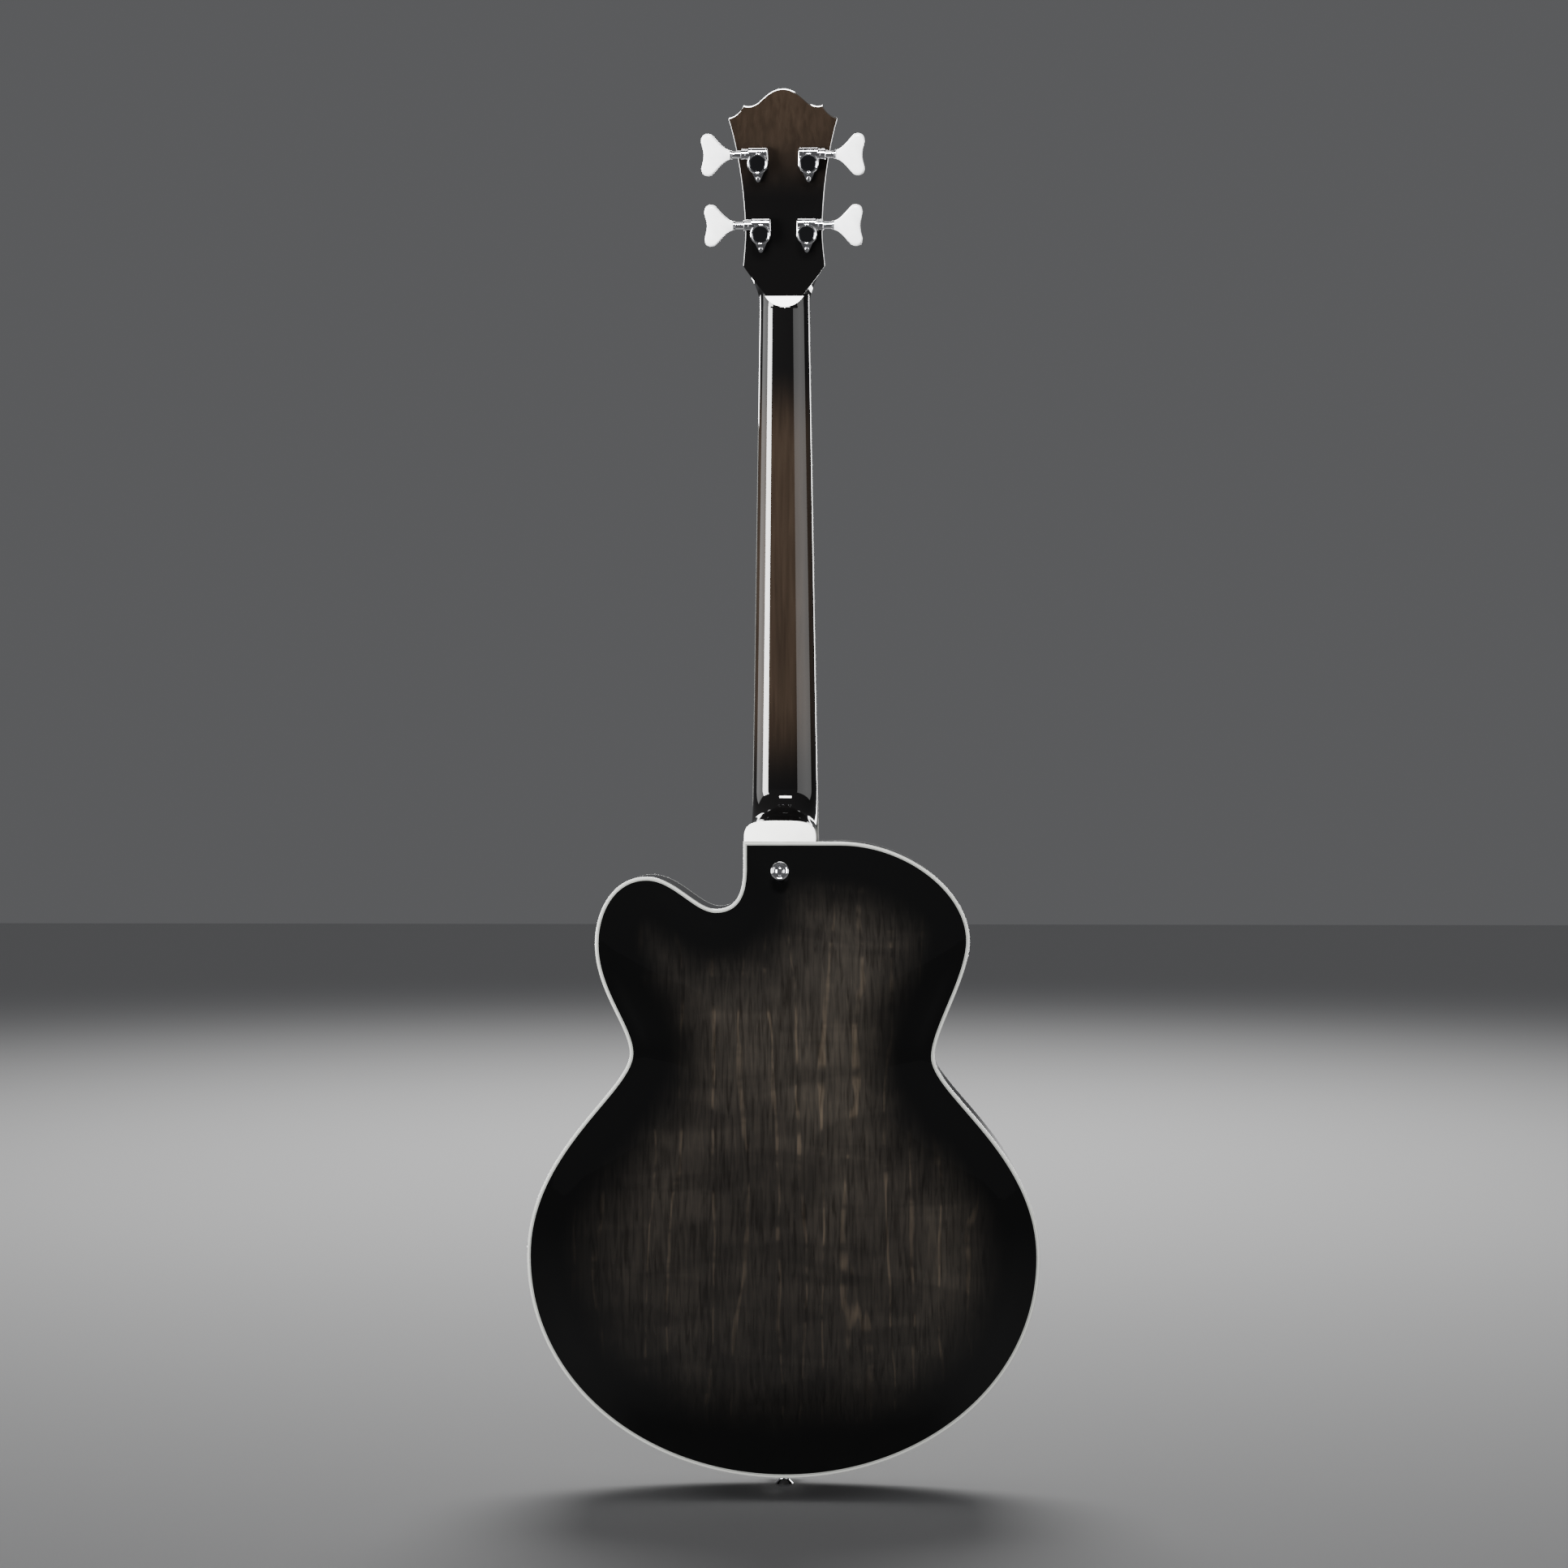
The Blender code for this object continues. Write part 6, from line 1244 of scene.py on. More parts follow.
def makePost(name, place, s):
    front = headShape["front"] - headShape["wood"]
    low, end = front - s["bushing"][2] - seat, front - s["rise"]
    r = s["post"]
    profile = [(s["shank"], s["lift"] - 0.0007), (s["shank"], low - 0.0002), (r + 0.0005, low - 0.0003),
               (r + 0.0006, low - 0.0007), (r, low - 0.0010), (r, end + 0.0040), (r + 0.0002, end + 0.0030),
               (r + 0.0006, end + 0.0024), (r + 0.0006, end + 0.0006), (r - 0.0001, end + 0.0001), (r - 0.0012, end)]
    post = turned(profile, 48)
    wheel = turned([(0.0041, s["lift"] - 0.0011), (0.0041, s["lift"] + 0.0011)], 40)
    slot = block((-0.0008, end - 0.002, -0.008), (0.0008, end + 0.0034, 0.008))
    piece = joined(f"{name}TunerPost", [(post, place), (wheel, place)], [(slot, place)])
    dress(piece, f"{name}_post", "steel", 30, [f"{name}_tuner_post"])


def makeTuners(s):
    machines = ((-1, 0), (-1, 1), (1, 1), (1, 0))
    lugs = []
    for name, (side, row) in zip(s["names"], machines):
        x, z = s["places"][row]
        place = headFrame @ Matrix.Translation((side * x, headShape["wood"], z))
        axle = place @ Matrix.Translation((0, s["lift"], s["offset"]))
        makeHousing(name, side, place, axle, s)
        makeShaft(name, side, axle, s)
        makeButton(name, side, axle, s)
        makePost(name, place, s)
        lugs.append((side * x, headShape["wood"] + s["base"] + 0.0001, z - s["lugScrew"]))
    sizes = {"aim": (0, 1, 0), "Head Radius": 0.00175, "Dome Height": 0.0010, "Slot Length": 0.0021, "Slot Width": 0.00075,
             "Slot Depth": 0.0008, "Cross": True}
    screws("tunerScrews", lugs, headFrame, sizes, "root", "chrome")


makeTuners(tunerShape)
makeHeadTrim(headShape)
print("tuning machines made")


# strap buttons

strapShape = {
    "radius": 0.00725, "foot": 0.0062, "neck": 0.0038, "low": 0.0035, "high": 0.0070, "height": 0.0123, "bore": 0.0049,
    "heel": (0.002, bodyLength - 0.0242), "bracket": 0.0014,
}


def makeStrapButton(name, place, node, s):
    r, h = s["radius"], s["height"]
    profile = [(0, seat), (s["foot"], seat), (s["foot"], 0.0010), (s["foot"] - 0.0003, 0.0014), (s["neck"] + 0.0005, s["low"] - 0.0004),
               (s["neck"], s["low"] + 0.0006), (s["neck"], s["high"] - 0.0008), (s["neck"] + 0.0008, s["high"] + 0.0008),
               (r - 0.0006, h - 0.0026), (r, h - 0.0020), (r, h - 0.0012), (r - 0.0003, h - 0.0007), (r - 0.0008, h - 0.0004),
               (s["bore"] + 0.0012, h - 0.0001), (s["bore"] + 0.0005, h - 0.0002), (s["bore"], h - 0.0006),
               (s["bore"] - 0.0003, h - 0.0022), (0, h - 0.0024)]
    meshPiece(name, turned(profile, 64), "root", "chrome", 32, place, [node])
    sizes = {"aim": (0, 1, 0), "Head Radius": 0.0039, "Dome Height": 0.0018, "Slot Length": 0.0042, "Slot Width": 0.0010,
             "Slot Depth": 0.0011, "Cross": True}
    screws(name + "Screw", [(0, h - 0.0022, 0)], place, sizes, "root", "chrome")


makeStrapButton("heelStrapButton", surfaceFrame(*strapShape["heel"], backY), "heel_strap_button", strapShape)
tailTurn = Matrix.Translation((0, rimDepth / 2, -seat - strapShape["bracket"])) @ Matrix.Rotation(math.radians(-90), 4, "X")
makeStrapButton("endStrapButton", bodyFrame @ tailTurn, "end_strap_button", strapShape)
print("strap buttons made")


# top, sides, bindings and linings

stringRadii = {"e": 0.0013, "a": 0.00105, "d": 0.00083, "g": 0.00057}
stringShape = {
    "nutGap": 0.010, "bridgeGap": 0.018, "tailSpread": 0.95, "overNut": 0.0079, "overBridge": 0.0142, "bend": 0.0045,
    "tail": (0.0697, 0.0785), "nutEnds": (-0.001, 0.0054), "turns": 2, "turnSteps": 32, "turnGap": 0.0005, "wrapLevel": 0.0048,
    "sides": 12, "thickest": 0.0011,
}
bridgeZ = (bodyFrame.inverted() @ neckFrame @ Vector((0, -stringShape["overBridge"], -scaleLength))).z
boardEndZ = (bodyFrame.inverted() @ neckFrame @ Vector((0, 0, -boardLength))).z


# the strings' lowest side at a height of the body
def underStrings(height, s=stringShape):
    local = neckFrame.inverted() @ bodyFrame @ Vector((0, 0, height))
    share = -local.z / scaleLength
    overNut = s["overNut"] + stringRadii["e"]
    y = stringRadii["e"] - overNut - (s["overBridge"] - overNut) * share
    return (bodyFrame.inverted() @ neckFrame @ Vector((0, y, local.z))).y


topShape = {
    "low": -0.018, "high": 0.009, "hole": 0.00505, "jackHole": 0.0060, "pocket": 0.0193, "pocketDepth": 0.0453, "pocketLength": 0.0553,
    "controls": ((0.143, 0.182), (0.134, 0.118), (-0.102, 0.415)), "jack": (0.2015, 0.174),
}
fHole = {
    "x": 0.098, "below": 0.0577, "above": 0.0773, "width": 0.009, "tip": 0.45, "eye": 0.0085, "eyeShare": 0.6,
    "lean": 0.010, "bend": 0.006, "notch": (0.0068, 0.0011), "steps": 44,
}
pickupShape = {
    "half": (0.0345, 0.019), "corner": 0.003, "edge": 0.0012, "below": 0.012, "clearance": 0.004, "room": 0.0008,
    "ringEnd": 0.009, "ringSide": 0.005, "bevel": 0.001, "crest": 0.55,
    "poles": 0.0095, "ringScrews": (0.0395, 0.0150),
    "heights": {"neck": boardEndZ - 0.0027 - 0.024, "bridge": bridgeZ + 0.011 + 0.0293 + 0.024},
}


# the slots, the eyes and the notches of both f-holes, each kind in one form
def fHoleForms(f):
    low, high = bridgeZ - f["below"], bridgeZ + f["above"]
    slots, eyes, notches = bmesh.new(), bmesh.new(), bmesh.new()
    y = (topShape["low"], topShape["high"])
    for side in (-1, 1):
        left, right = [], []
        for i in range(f["steps"] + 1):
            t = i / f["steps"]
            x = side * (f["x"] + f["lean"] * (1 - 2 * t) + f["bend"] * math.sin(math.tau * t))
            half = f["width"] / 2 * (f["tip"] + (1 - f["tip"]) * math.sin(math.pi * t))
            left.append((x - half, low + (high - low) * t))
            right.append((x + half, low + (high - low) * t))
        prism(left + right[::-1], *y, 0.0, slots)
        for turn, z in ((1, low), (-1, high)):
            x = side * (f["x"] + turn * (f["lean"] - f["eye"] * f["eyeShare"]))
            prism(circle(f["eye"], 56, (x, z)), *y, 0.0, eyes)
        reach, half = f["notch"]
        block((side * f["x"] - reach, y[0], (low + high) / 2 - half), (side * f["x"] + reach, y[1], (low + high) / 2 + half), notches)
    return slots, eyes, notches


def neckPocket(s, bm=None):
    low = (-s["pocket"], s["low"] * 2, bodyLength - s["pocketLength"])
    return block(low, (s["pocket"], s["pocketDepth"], bodyLength + 0.01), bm)


def makeTop(s):
    slots, eyes, notches = fHoleForms(fHole)
    room = pickupShape["room"]
    halfX, halfZ = pickupShape["half"]
    for height in pickupShape["heights"].values():
        block((-halfX - room, s["low"], height - halfZ - room), (halfX + room, s["high"], height + halfZ + room), slots)
    for x, z in s["controls"]:
        hole = turned([(s["hole"], -0.006), (s["hole"], 0.010)], 40)
        hole.transform(bodyFrame.inverted() @ surfaceFrame(x, z, topY))
        mesh = bpy.data.meshes.new("hole")
        hole.to_mesh(mesh)
        eyes.from_mesh(mesh)
    neckPocket(s, notches)
    top = joined("archedTop", [(archedForm(plateEdge, 0, -bodyShape["topArch"], bodyShape["plate"], bodyShape), bodyFrame)],
                 [(form, bodyFrame) for form in (slots, eyes, notches)])
    writeInward(top, outline)
    dress(top, "root", "stained_maple", 40, ["top_plate"])


def makeSides(s):
    wall, low = bodyShape["rimWall"], bodyShape["plate"] + seat
    rim = joined("bentSides", [(band(outline, inset(outline, wall), low, rimDepth - low), bodyFrame)],
                 [(neckPocket(s), bodyFrame),
                  (turned([(s["jackHole"], s["jack"][0] - 0.02), (s["jackHole"], s["jack"][0] + 0.02)], 40, "x",
                          (rimDepth / 2, s["jack"][1])), bodyFrame)])
    dress(rim, "root", "sideLacquer", 40, ["rim"])
    strip = band(outline, inset(outline, bodyShape["bindingWidth"]), 0, bodyShape["bindingHeight"], bodyShape["edge"], -1)
    bound = joined("topBoundEdge", [(strip, bodyFrame)], [(neckPocket(s), bodyFrame)])
    dress(bound, "root", "boundEdge", 40, ["top_binding"])


liningShape = {
    "from": 0.0043, "strip": 0.0014, "depth": 0.0044, "height": 0.012, "foot": 0.35,
    "spacing": 0.0062, "length": 0.0050, "blockRoom": (-0.0440, 0.0290, 0.0665),
}


# a strip glued along the sides with the kerfed blocks that let it bend, broken off at the neck block
def makeLining(name, low, rise, node, s):
    left, right, drop = s["blockRoom"]
    edge = inset(outline, s["from"])
    kept = [not (left < x < right and z > bodyLength - drop) for x, z in edge]
    start = next(i for i in range(len(edge)) if kept[i] and not kept[i - 1])
    run = [i % len(edge) for i in range(start, start + len(edge)) if kept[i % len(edge)]]
    high = low + rise * s["height"]
    inner = inset(outline, s["from"] + s["strip"])
    rings = []
    for i in run:
        (ax, az), (bx, bz) = edge[i], inner[i]
        rings.append([(ax, low, az), (bx, low, bz), (bx, high, bz), (ax, high, az)])
    meshPiece(name + "Strip", loft(rings), "root", "raw_spruce", 40, bodyFrame, [node])
    middle = inset(outline, s["from"] + s["strip"] + s["depth"] / 2)
    host = hostPath([bodyFrame @ Vector((middle[i][0], (low + high) / 2, middle[i][1])) for i in run])
    values = {"Spacing": s["spacing"], "Length": s["length"], "Depth": s["depth"], "Height": s["height"],
              "Foot": s["foot"], "Rise": float(rise)}
    grown(name + "Kerfs", trees["kerfs"], host, values, "root", "raw_spruce", 30)


makeTop(topShape)
makeSides(topShape)
under = bodyShape["plate"] + seat
makeLining("topLining", under, 1, "top_lining", liningShape)
makeLining("backLining", rimDepth - under, -1, "back_lining", liningShape)
print("top, sides and linings made")


# fingerboard, frets, inlays and nut

boardShape = {
    "under": -0.0003, "thickness": 0.006, "radius": 0.305, "binding": 0.0015, "across": 28, "stations": 12,
    "frets": 20, "fretHeight": 0.0011, "fretWidth": 0.0024, "fretIn": 0.0004,
    "inlayFrets": (1, 3, 5, 7, 9, 12, 15, 17, 19), "inlayShare": 0.62, "inlayLength": 0.52, "inlayDepth": 0.0006, "proud": 0.00004,
    "dotFrets": (3, 5, 7, 9, 12, 15, 17, 19), "dot": 0.0011, "dotDrop": 0.0022,
}
nutShape = {"half": 0.0197, "corner": 0.001, "length": 0.0047, "edge": 0.0003, "room": 0.0003}


def fretDistance(number):
    return scaleLength * (1 - 2 ** (-number / 12))


def boardFace(x, s=boardShape):
    return s["under"] - s["thickness"] + s["radius"] - math.sqrt(s["radius"] ** 2 - x * x)


def boardSlice(left, right, distance, s, steps):
    points = [(left, s["under"], -distance)]
    for i in range(steps + 1):
        x = left + (right - left) * i / steps
        points.append((x, boardFace(x), -distance))
    return points + [(right, s["under"], -distance)]


def makeBoard(s):
    trim = s["binding"]
    rings = []
    for i in range(s["stations"] + 1):
        distance = seat + (boardLength - trim - 2 * seat) * i / s["stations"]
        half = neckHalf(distance) - trim
        rings.append(boardSlice(-half, half, distance, s, s["across"]))
    meshPiece("fingerboardWood", loft(rings), "root", "rosewood", 30, neckFrame, ["fingerboard"])
    bm = bmesh.new()
    for side in (-1, 1):
        rings = []
        for distance in (seat, boardLength):
            edge = side * neckHalf(distance)
            rings.append(boardSlice(*sorted((edge, edge - side * trim)), distance, s, 2))
        loft(rings, False, bm)
    half = neckHalf(boardLength) - trim
    loft([boardSlice(-half, half, distance, s, s["across"]) for distance in (boardLength - trim, boardLength)], False, bm)
    meshPiece("boardBinding", bm, "root", "boardEdge", 30, neckFrame)


def makeFrets(s):
    places, sizes = [], []
    face = boardFace(0)
    for number in range(1, s["frets"] + 1):
        distance = fretDistance(number)
        places.append((0, face, -distance))
        sizes.append((neckHalf(distance) - s["fretIn"], 1, 1))
    host = hostPoints(places, size=sizes)
    values = {"Board Radius": s["radius"], "Height": s["fretHeight"], "Width": s["fretWidth"]}
    grown("frets", trees["frets"], host, values, "root", "bright_metal", 40, place=neckFrame)
    places, sizes = [], []
    for number in s["inlayFrets"]:
        near, far = fretDistance(number - 1), fretDistance(number)
        middle = (near + far) / 2
        places.append((0, face + s["inlayDepth"] - s["proud"], -middle))
        sizes.append((neckHalf(middle) * s["inlayShare"], s["inlayDepth"], (far - near) * s["inlayLength"] / 2))
    grown("inlays", trees["inlays"], hostPoints(places, size=sizes), {"Board Radius": s["radius"]}, "root",
          "pearl", 30, place=neckFrame)
    places = []
    for number in s["dotFrets"]:
        distance = (fretDistance(number - 1) + fretDistance(number)) / 2
        for offset in ((-0.004, 0.004) if number == 12 else (0,)):
            places.append((0.0002 - neckHalf(distance), -s["dotDrop"] - seat, -distance + offset))
    values = {"Radius": s["dot"], "Length": 0.00055, "Sides": 20}
    grown("sideDots", trees["ridges"], hostPoints(places, [(1, 0, 0)] * len(places)), values, "root",
          "black_plastic", 40, place=neckFrame)


def makeNut(s):
    half, corner = s["half"], s["corner"]
    top = -stringShape["overNut"] - stringRadii["a"] - stringRadii["e"] / 2
    line = [(-half, -seat), (-half, top + corner)]
    line += [(corner - half - corner * math.cos(a), top + corner - corner * math.sin(a)) for a in (0.4, 0.8, 1.2)]
    line.append((corner - half, top))
    for i, radius in enumerate(stringRadii.values()):
        x, r = (i - 1.5) * stringShape["nutGap"], radius + s["room"]
        y = -stringShape["overNut"] - radius
        line.append((x - r, top))
        line += [(x - r * math.cos(a), y + r * math.sin(a)) for a in (math.pi * k / 10 for k in range(11))]
        line.append((x + r, top))
    line.append((half - corner, top))
    line += [(half - corner + corner * math.sin(a), top + corner - corner * math.cos(a)) for a in (0.4, 0.8, 1.2)]
    line += [(half, top + corner), (half, -seat)]
    drawn = inset(line, s["edge"]) if sum(a[0] * b[1] - b[0] * a[1] for a, b in zip(line, line[1:] + line[:1])) > 0 \
        else inset(line, -s["edge"])
    levels = ((drawn, 0), (line, s["edge"]), (line, s["length"] - s["edge"]), (drawn, s["length"]))
    meshPiece("nutBone", loft([[(x, y, z) for x, y in ring] for ring, z in levels]), "root", "bone", 40, neckFrame, ["nut"])


makeBoard(boardShape)
makeFrets(boardShape)
makeNut(nutShape)
print("fingerboard made")


# bridge, tailpiece and strings

bridgeShape = {
    "footHalf": 0.070, "footWidth": 0.022, "footCrest": 0.70, "footHeight": 0.007, "fall": 0.55, "level": 0.6, "stations": 56,
    "arch": 0.0045, "archHalf": 0.026,
    "postX": 0.040, "post": 0.0020, "postIn": 0.002, "postInTop": 0.0035, "bore": 0.0024, "boreDepth": 0.0065,
    "topHalf": 0.052, "topWidth": 0.010, "topHeight": 0.0085, "endDrop": 0.004, "flat": 0.8, "footShare": 0.9,
    "wheel": 0.0071, "wheelThickness": 0.003, "wheelEdge": 0.0005, "knurls": 44, "knurl": 0.0004,
}


def knurled(name, core, place, centre, radius, span, count, knurl, body, finish, nodes, lean=0.0):
    meshPiece(name, core, body, finish, 30, place, nodes)
    places, aims = [], []
    for i in range(count):
        a = math.tau * i / count
        out = Vector((math.cos(a), 0, math.sin(a)))
        places.append(place @ Vector((radius * out.x, centre, radius * out.z)))
        aims.append(place.to_3x3() @ (Vector((0, 1, 0)) + out * lean))
    values = {"Radius": knurl, "Length": span, "Sides": 8}
    grown(name + "Grip", trees["ridges"], hostPoints(places, aims), values, body, finish, 40)


def makeBridge(s):
    halfWidth = s["footWidth"] / 2
    level = -bodyShape["topArch"] - s["footHeight"]
    rings = []
    for i in range(s["stations"] + 1):
        x = s["footHalf"] * (2 * i / s["stations"] - 1)
        end = max(0.0, (abs(x) / s["footHalf"] - s["level"]) / (1 - s["level"]))
        crest = level + s["footHeight"] * s["fall"] * end ** 2
        narrow = 1 - 0.25 * end ** 4                       # the foot's ends are rounded off
        lift = s["arch"] * max(0.0, 1 - (x / s["archHalf"]) ** 4) ** 0.5   # and its middle is cut clear of the top
        front = [topY(x, bridgeZ + side * halfWidth * narrow) for side in (-1, 1)]
        low = [y - seat - min(lift, (y - seat - crest) * 0.62) for y in front]
        ring = [(x, low[0], bridgeZ - halfWidth * narrow), (x, (low[0] + crest) / 2, bridgeZ - halfWidth * narrow * 0.97)]
        for k in range(9):
            a = math.pi * k / 8
            across = -math.cos(a)
            bulge = 1 - 0.16 * (1 - math.sin(a)) ** 2
            ring.append((x, low[0] + (crest - low[0]) * (0.86 + 0.14 * math.sin(a)), bridgeZ + halfWidth * narrow * (
                s["footCrest"] + 0.12 * (1 - bulge)) * across))
        ring += [(x, (low[1] + crest) / 2, bridgeZ + halfWidth * narrow * 0.97), (x, low[1], bridgeZ + halfWidth * narrow)]
        rings.append(ring)
    underString = underStrings(bridgeZ) + seat
    topLow = underString + s["topHeight"]
    foot = meshPiece("bridgeFoot", loft(rings), "root", "rosewood", 40, bodyFrame, ["bridge_base"])
    posts = bmesh.new()
    for side in (-1, 1):
        high, low = level + s["postIn"], topLow - s["postInTop"]
        r = s["post"]
        profile = [(r, high), (r, low + 0.0004), (r - 0.0004, low)]
        turned(profile, 32, "y", (side * s["postX"], bridgeZ), False, posts)
    meshPiece("bridgePosts", posts, "root", "threadedSteel", 40, bodyFrame)

    endY = underString + s["endDrop"]
    half, flat, foot = s["topHalf"], s["topHalf"] * s["flat"], s["topHalf"] * s["footShare"]
    rings = []
    stations = ((-0.005, 0.0044, 0.0006), (-0.0048, 0.0034, 0.0), (-0.0040, 0.0021, 0.0), (-0.0022, 0.0006, 0.0), (-0.0012, 0.0, 0.0),
                (0.0012, 0.0, 0.0), (0.0022, 0.0006, 0.0), (0.0040, 0.0021, 0.0), (0.0048, 0.0034, 0.0), (0.005, 0.0044, 0.0006))
    for z, drop, draw in stations:
        ring = []
        for i in range(41):                                # the crest, falling to the ends
            x = (2 * i / 40 - 1) * (half - draw)
            out = max(0.0, (abs(x) - flat) / (half - flat))
            ring.append((x, min(underString + drop + (endY - underString) * out ** 1.6, endY + drop * 0.3), bridgeZ + z))
        ring += [(half - draw, topLow - 0.0018, bridgeZ + z), (half - draw - 0.0012, topLow - 0.0006 - draw, bridgeZ + z)]
        ring += [(foot * (1 - k / 12), topLow - draw * 0.5, bridgeZ + z) for k in range(25)]
        ring += [(draw + 0.0012 - half, topLow - 0.0006 - draw, bridgeZ + z), (draw - half, topLow - 0.0018, bridgeZ + z)]
        rings.append(ring)
    bores = bmesh.new()
    for side in (-1, 1):
        turned([(s["bore"], topLow + 0.004), (s["bore"], topLow - s["boreDepth"])], 32, "y", (side * s["postX"], bridgeZ), False, bores)
    saddle = joined("bridgeSaddle", [(loft(rings), bodyFrame)], [(bores, bodyFrame)])
    dress(saddle, "bridge_top", "rosewood", 40, ["bridge_top"])
    for side, name in ((-1, "bass"), (1, "treble")):
        low = topLow + seat
        high, r, e = low + s["wheelThickness"], s["wheel"], s["wheelEdge"]
        core = turned([(s["bore"], low), (r - e, low), (r, low + e), (r, high - e), (r - e, high), (s["bore"], high)], 56, wrap=True)
        place = bodyFrame @ Matrix.Translation((side * s["postX"], 0, bridgeZ))
        knurled(name + "Thumbwheel", core, place, (low + high) / 2, r, high - low - 2 * e, s["knurls"], s["knurl"],
                f"{name}_thumbwheel", "bright_metal", [f"{name}_thumbwheel"])


tailShape = {
    "pin": (-0.006, -0.0035), "pinRadius": 0.0012, "pinHalf": 0.0155, "bore": 0.0015,
    "knuckle": 0.0028, "knuckleHalf": 0.0066, "lug": (0.0072, 0.0114), "strip": (0.012, 0.0014, 0.012), "hole": 0.003,
    "barHalf": 0.037, "barDepth": 0.009, "barWidth": 0.014, "barZ": 0.070, "rise": 0.0075, "round": 3.2,
    "arm": 0.0015, "knee": (-0.004, 0.006), "armInset": 0.004, "stringRoom": 0.0009,
}
tailBarY = topY(tailShape["barHalf"], tailShape["barZ"]) - tailShape["rise"] - tailShape["barDepth"] / 2


def makeTailpiece(s):
    pinY, pinZ = s["pin"]
    half, thick, below = s["strip"]
    low = rimDepth / 2 + below
    corner = 0.005
    line = [(-half, -0.0008), (-half, low - corner)]
    line += [(-half + corner - corner * math.cos(a), low - corner + corner * math.sin(a)) for a in (0.3, 0.6, 0.9, 1.2)]
    line.append((corner - half, low))
    line += [(-x, y) for x, y in line[::-1]]
    rings = [[(x * grow, y if y < 0 else y - 0.0002 * edge, z) for x, y in line]
             for z, grow, edge in ((-seat, 1.0, 0), (-seat - thick + 0.0003, 1.0, 0), (-seat - thick, 0.985, 1))]
    strip = loft(rings)
    neck = block((-s["knuckleHalf"], pinY, -seat - thick), (s["knuckleHalf"], 0.0005, -seat))
    knuckle = turned([(s["knuckle"] - 0.0003, -s["knuckleHalf"]), (s["knuckle"], 0.0003 - s["knuckleHalf"]),
                      (s["knuckle"], s["knuckleHalf"] - 0.0003), (s["knuckle"] - 0.0003, s["knuckleHalf"])], 40, "x", (pinY, pinZ))
    bore = turned([(s["bore"], -0.02), (s["bore"], 0.02)], 32, "x", (pinY, pinZ))
    hole = turned([(s["hole"], -0.006), (s["hole"], 0.006)], 40, "z", (0, rimDepth / 2))
    bracket = joined("tailBracket", [(strip, bodyFrame), (neck, bodyFrame), (knuckle, bodyFrame)],
                     [(bore, bodyFrame), (hole, bodyFrame)])
    dress(bracket, "root", "bright_metal", 30, ["tailpiece_bracket"])
    end = s["pinHalf"]
    pin = turned([(0, -end), (s["pinRadius"] - 0.0003, -end), (s["pinRadius"], 0.0003 - end), (s["pinRadius"], end - 0.0003),
                  (s["pinRadius"] - 0.0003, end), (0, end)], 28, "x", (pinY, pinZ))
    meshPiece("hingePin", pin, "root", "steel", 40, bodyFrame, ["tailpiece_pin"])

    rings = []
    for share, draw in ((-1, 0.30), (-0.993, 0.14), (-0.975, 0.04), (-0.955, 0.0), (0.955, 0.0), (0.975, 0.04), (0.993, 0.14), (1, 0.30)):
        row = superellipse(s["barWidth"] / 2 * (1 - draw), s["barDepth"] / 2 * (1 - draw), s["round"], 18)
        row += [(-z, -y) for z, y in row[1:-1]]
        rings.append([(share * s["barHalf"], tailBarY + y, s["barZ"] + z) for z, y in row])
    holes = bmesh.new()
    for i, radius in enumerate(stringRadii.values()):
        x = (i - 1.5) * stringShape["bridgeGap"] * stringShape["tailSpread"]
        r = radius + s["stringRoom"]
        turned([(r, s["barZ"] - 0.003), (r, s["barZ"] + 0.0066), (r + 0.0006, s["barZ"] + 0.0072), (r + 0.0006, s["barZ"] + 0.02)],
               28, "z", (x, tailBarY), False, holes)
    bar = joined("tailBar", [(loft(rings), bodyFrame)], [(holes, bodyFrame)])
    dress(bar, "tailpiece", "bright_metal", 40, ["tailpiece"])
    for side, label in ((-1, "bass"), (1, "treble")):
        near, far = s["lug"]
        foot = side * (near + far) / 2
        tip = side * (s["barHalf"] - s["armInset"])
        kneeY, kneeZ = pinY + s["knee"][0], pinZ + s["knee"][1]
        end = (tip, tailBarY, s["barZ"] - s["barWidth"] / 2 + 0.003)
        path = [(foot, pinY - 0.0012, pinZ - 0.0002), (foot, pinY - 0.0030, pinZ + 0.0022)]
        for k in range(25):
            t = k / 24
            swell = 0.0
            path.append((foot + (tip - foot) * t, kneeY + (tailBarY - kneeY) * t ** 1.0 - swell, kneeZ + (end[2] - kneeZ) * t))
        host = hostPath([bodyFrame @ Vector(point) for point in path])
        grown(label + "TailArm", trees["wire"], host, {"Radius": s["arm"], "Sides": 20}, "tailpiece", "bright_metal",
              60)
        ends = sorted((side * near, side * far))
        k = s["knuckle"]
        lug = turned([(s["bore"], ends[0]), (k - 0.0003, ends[0]), (k, ends[0] + 0.0003), (k, ends[1] - 0.0003),
                      (k - 0.0003, ends[1]), (s["bore"], ends[1])], 40, "x", (pinY, pinZ), True)
        meshPiece(label + "TailLug", lug, "tailpiece", "bright_metal", 30, bodyFrame)


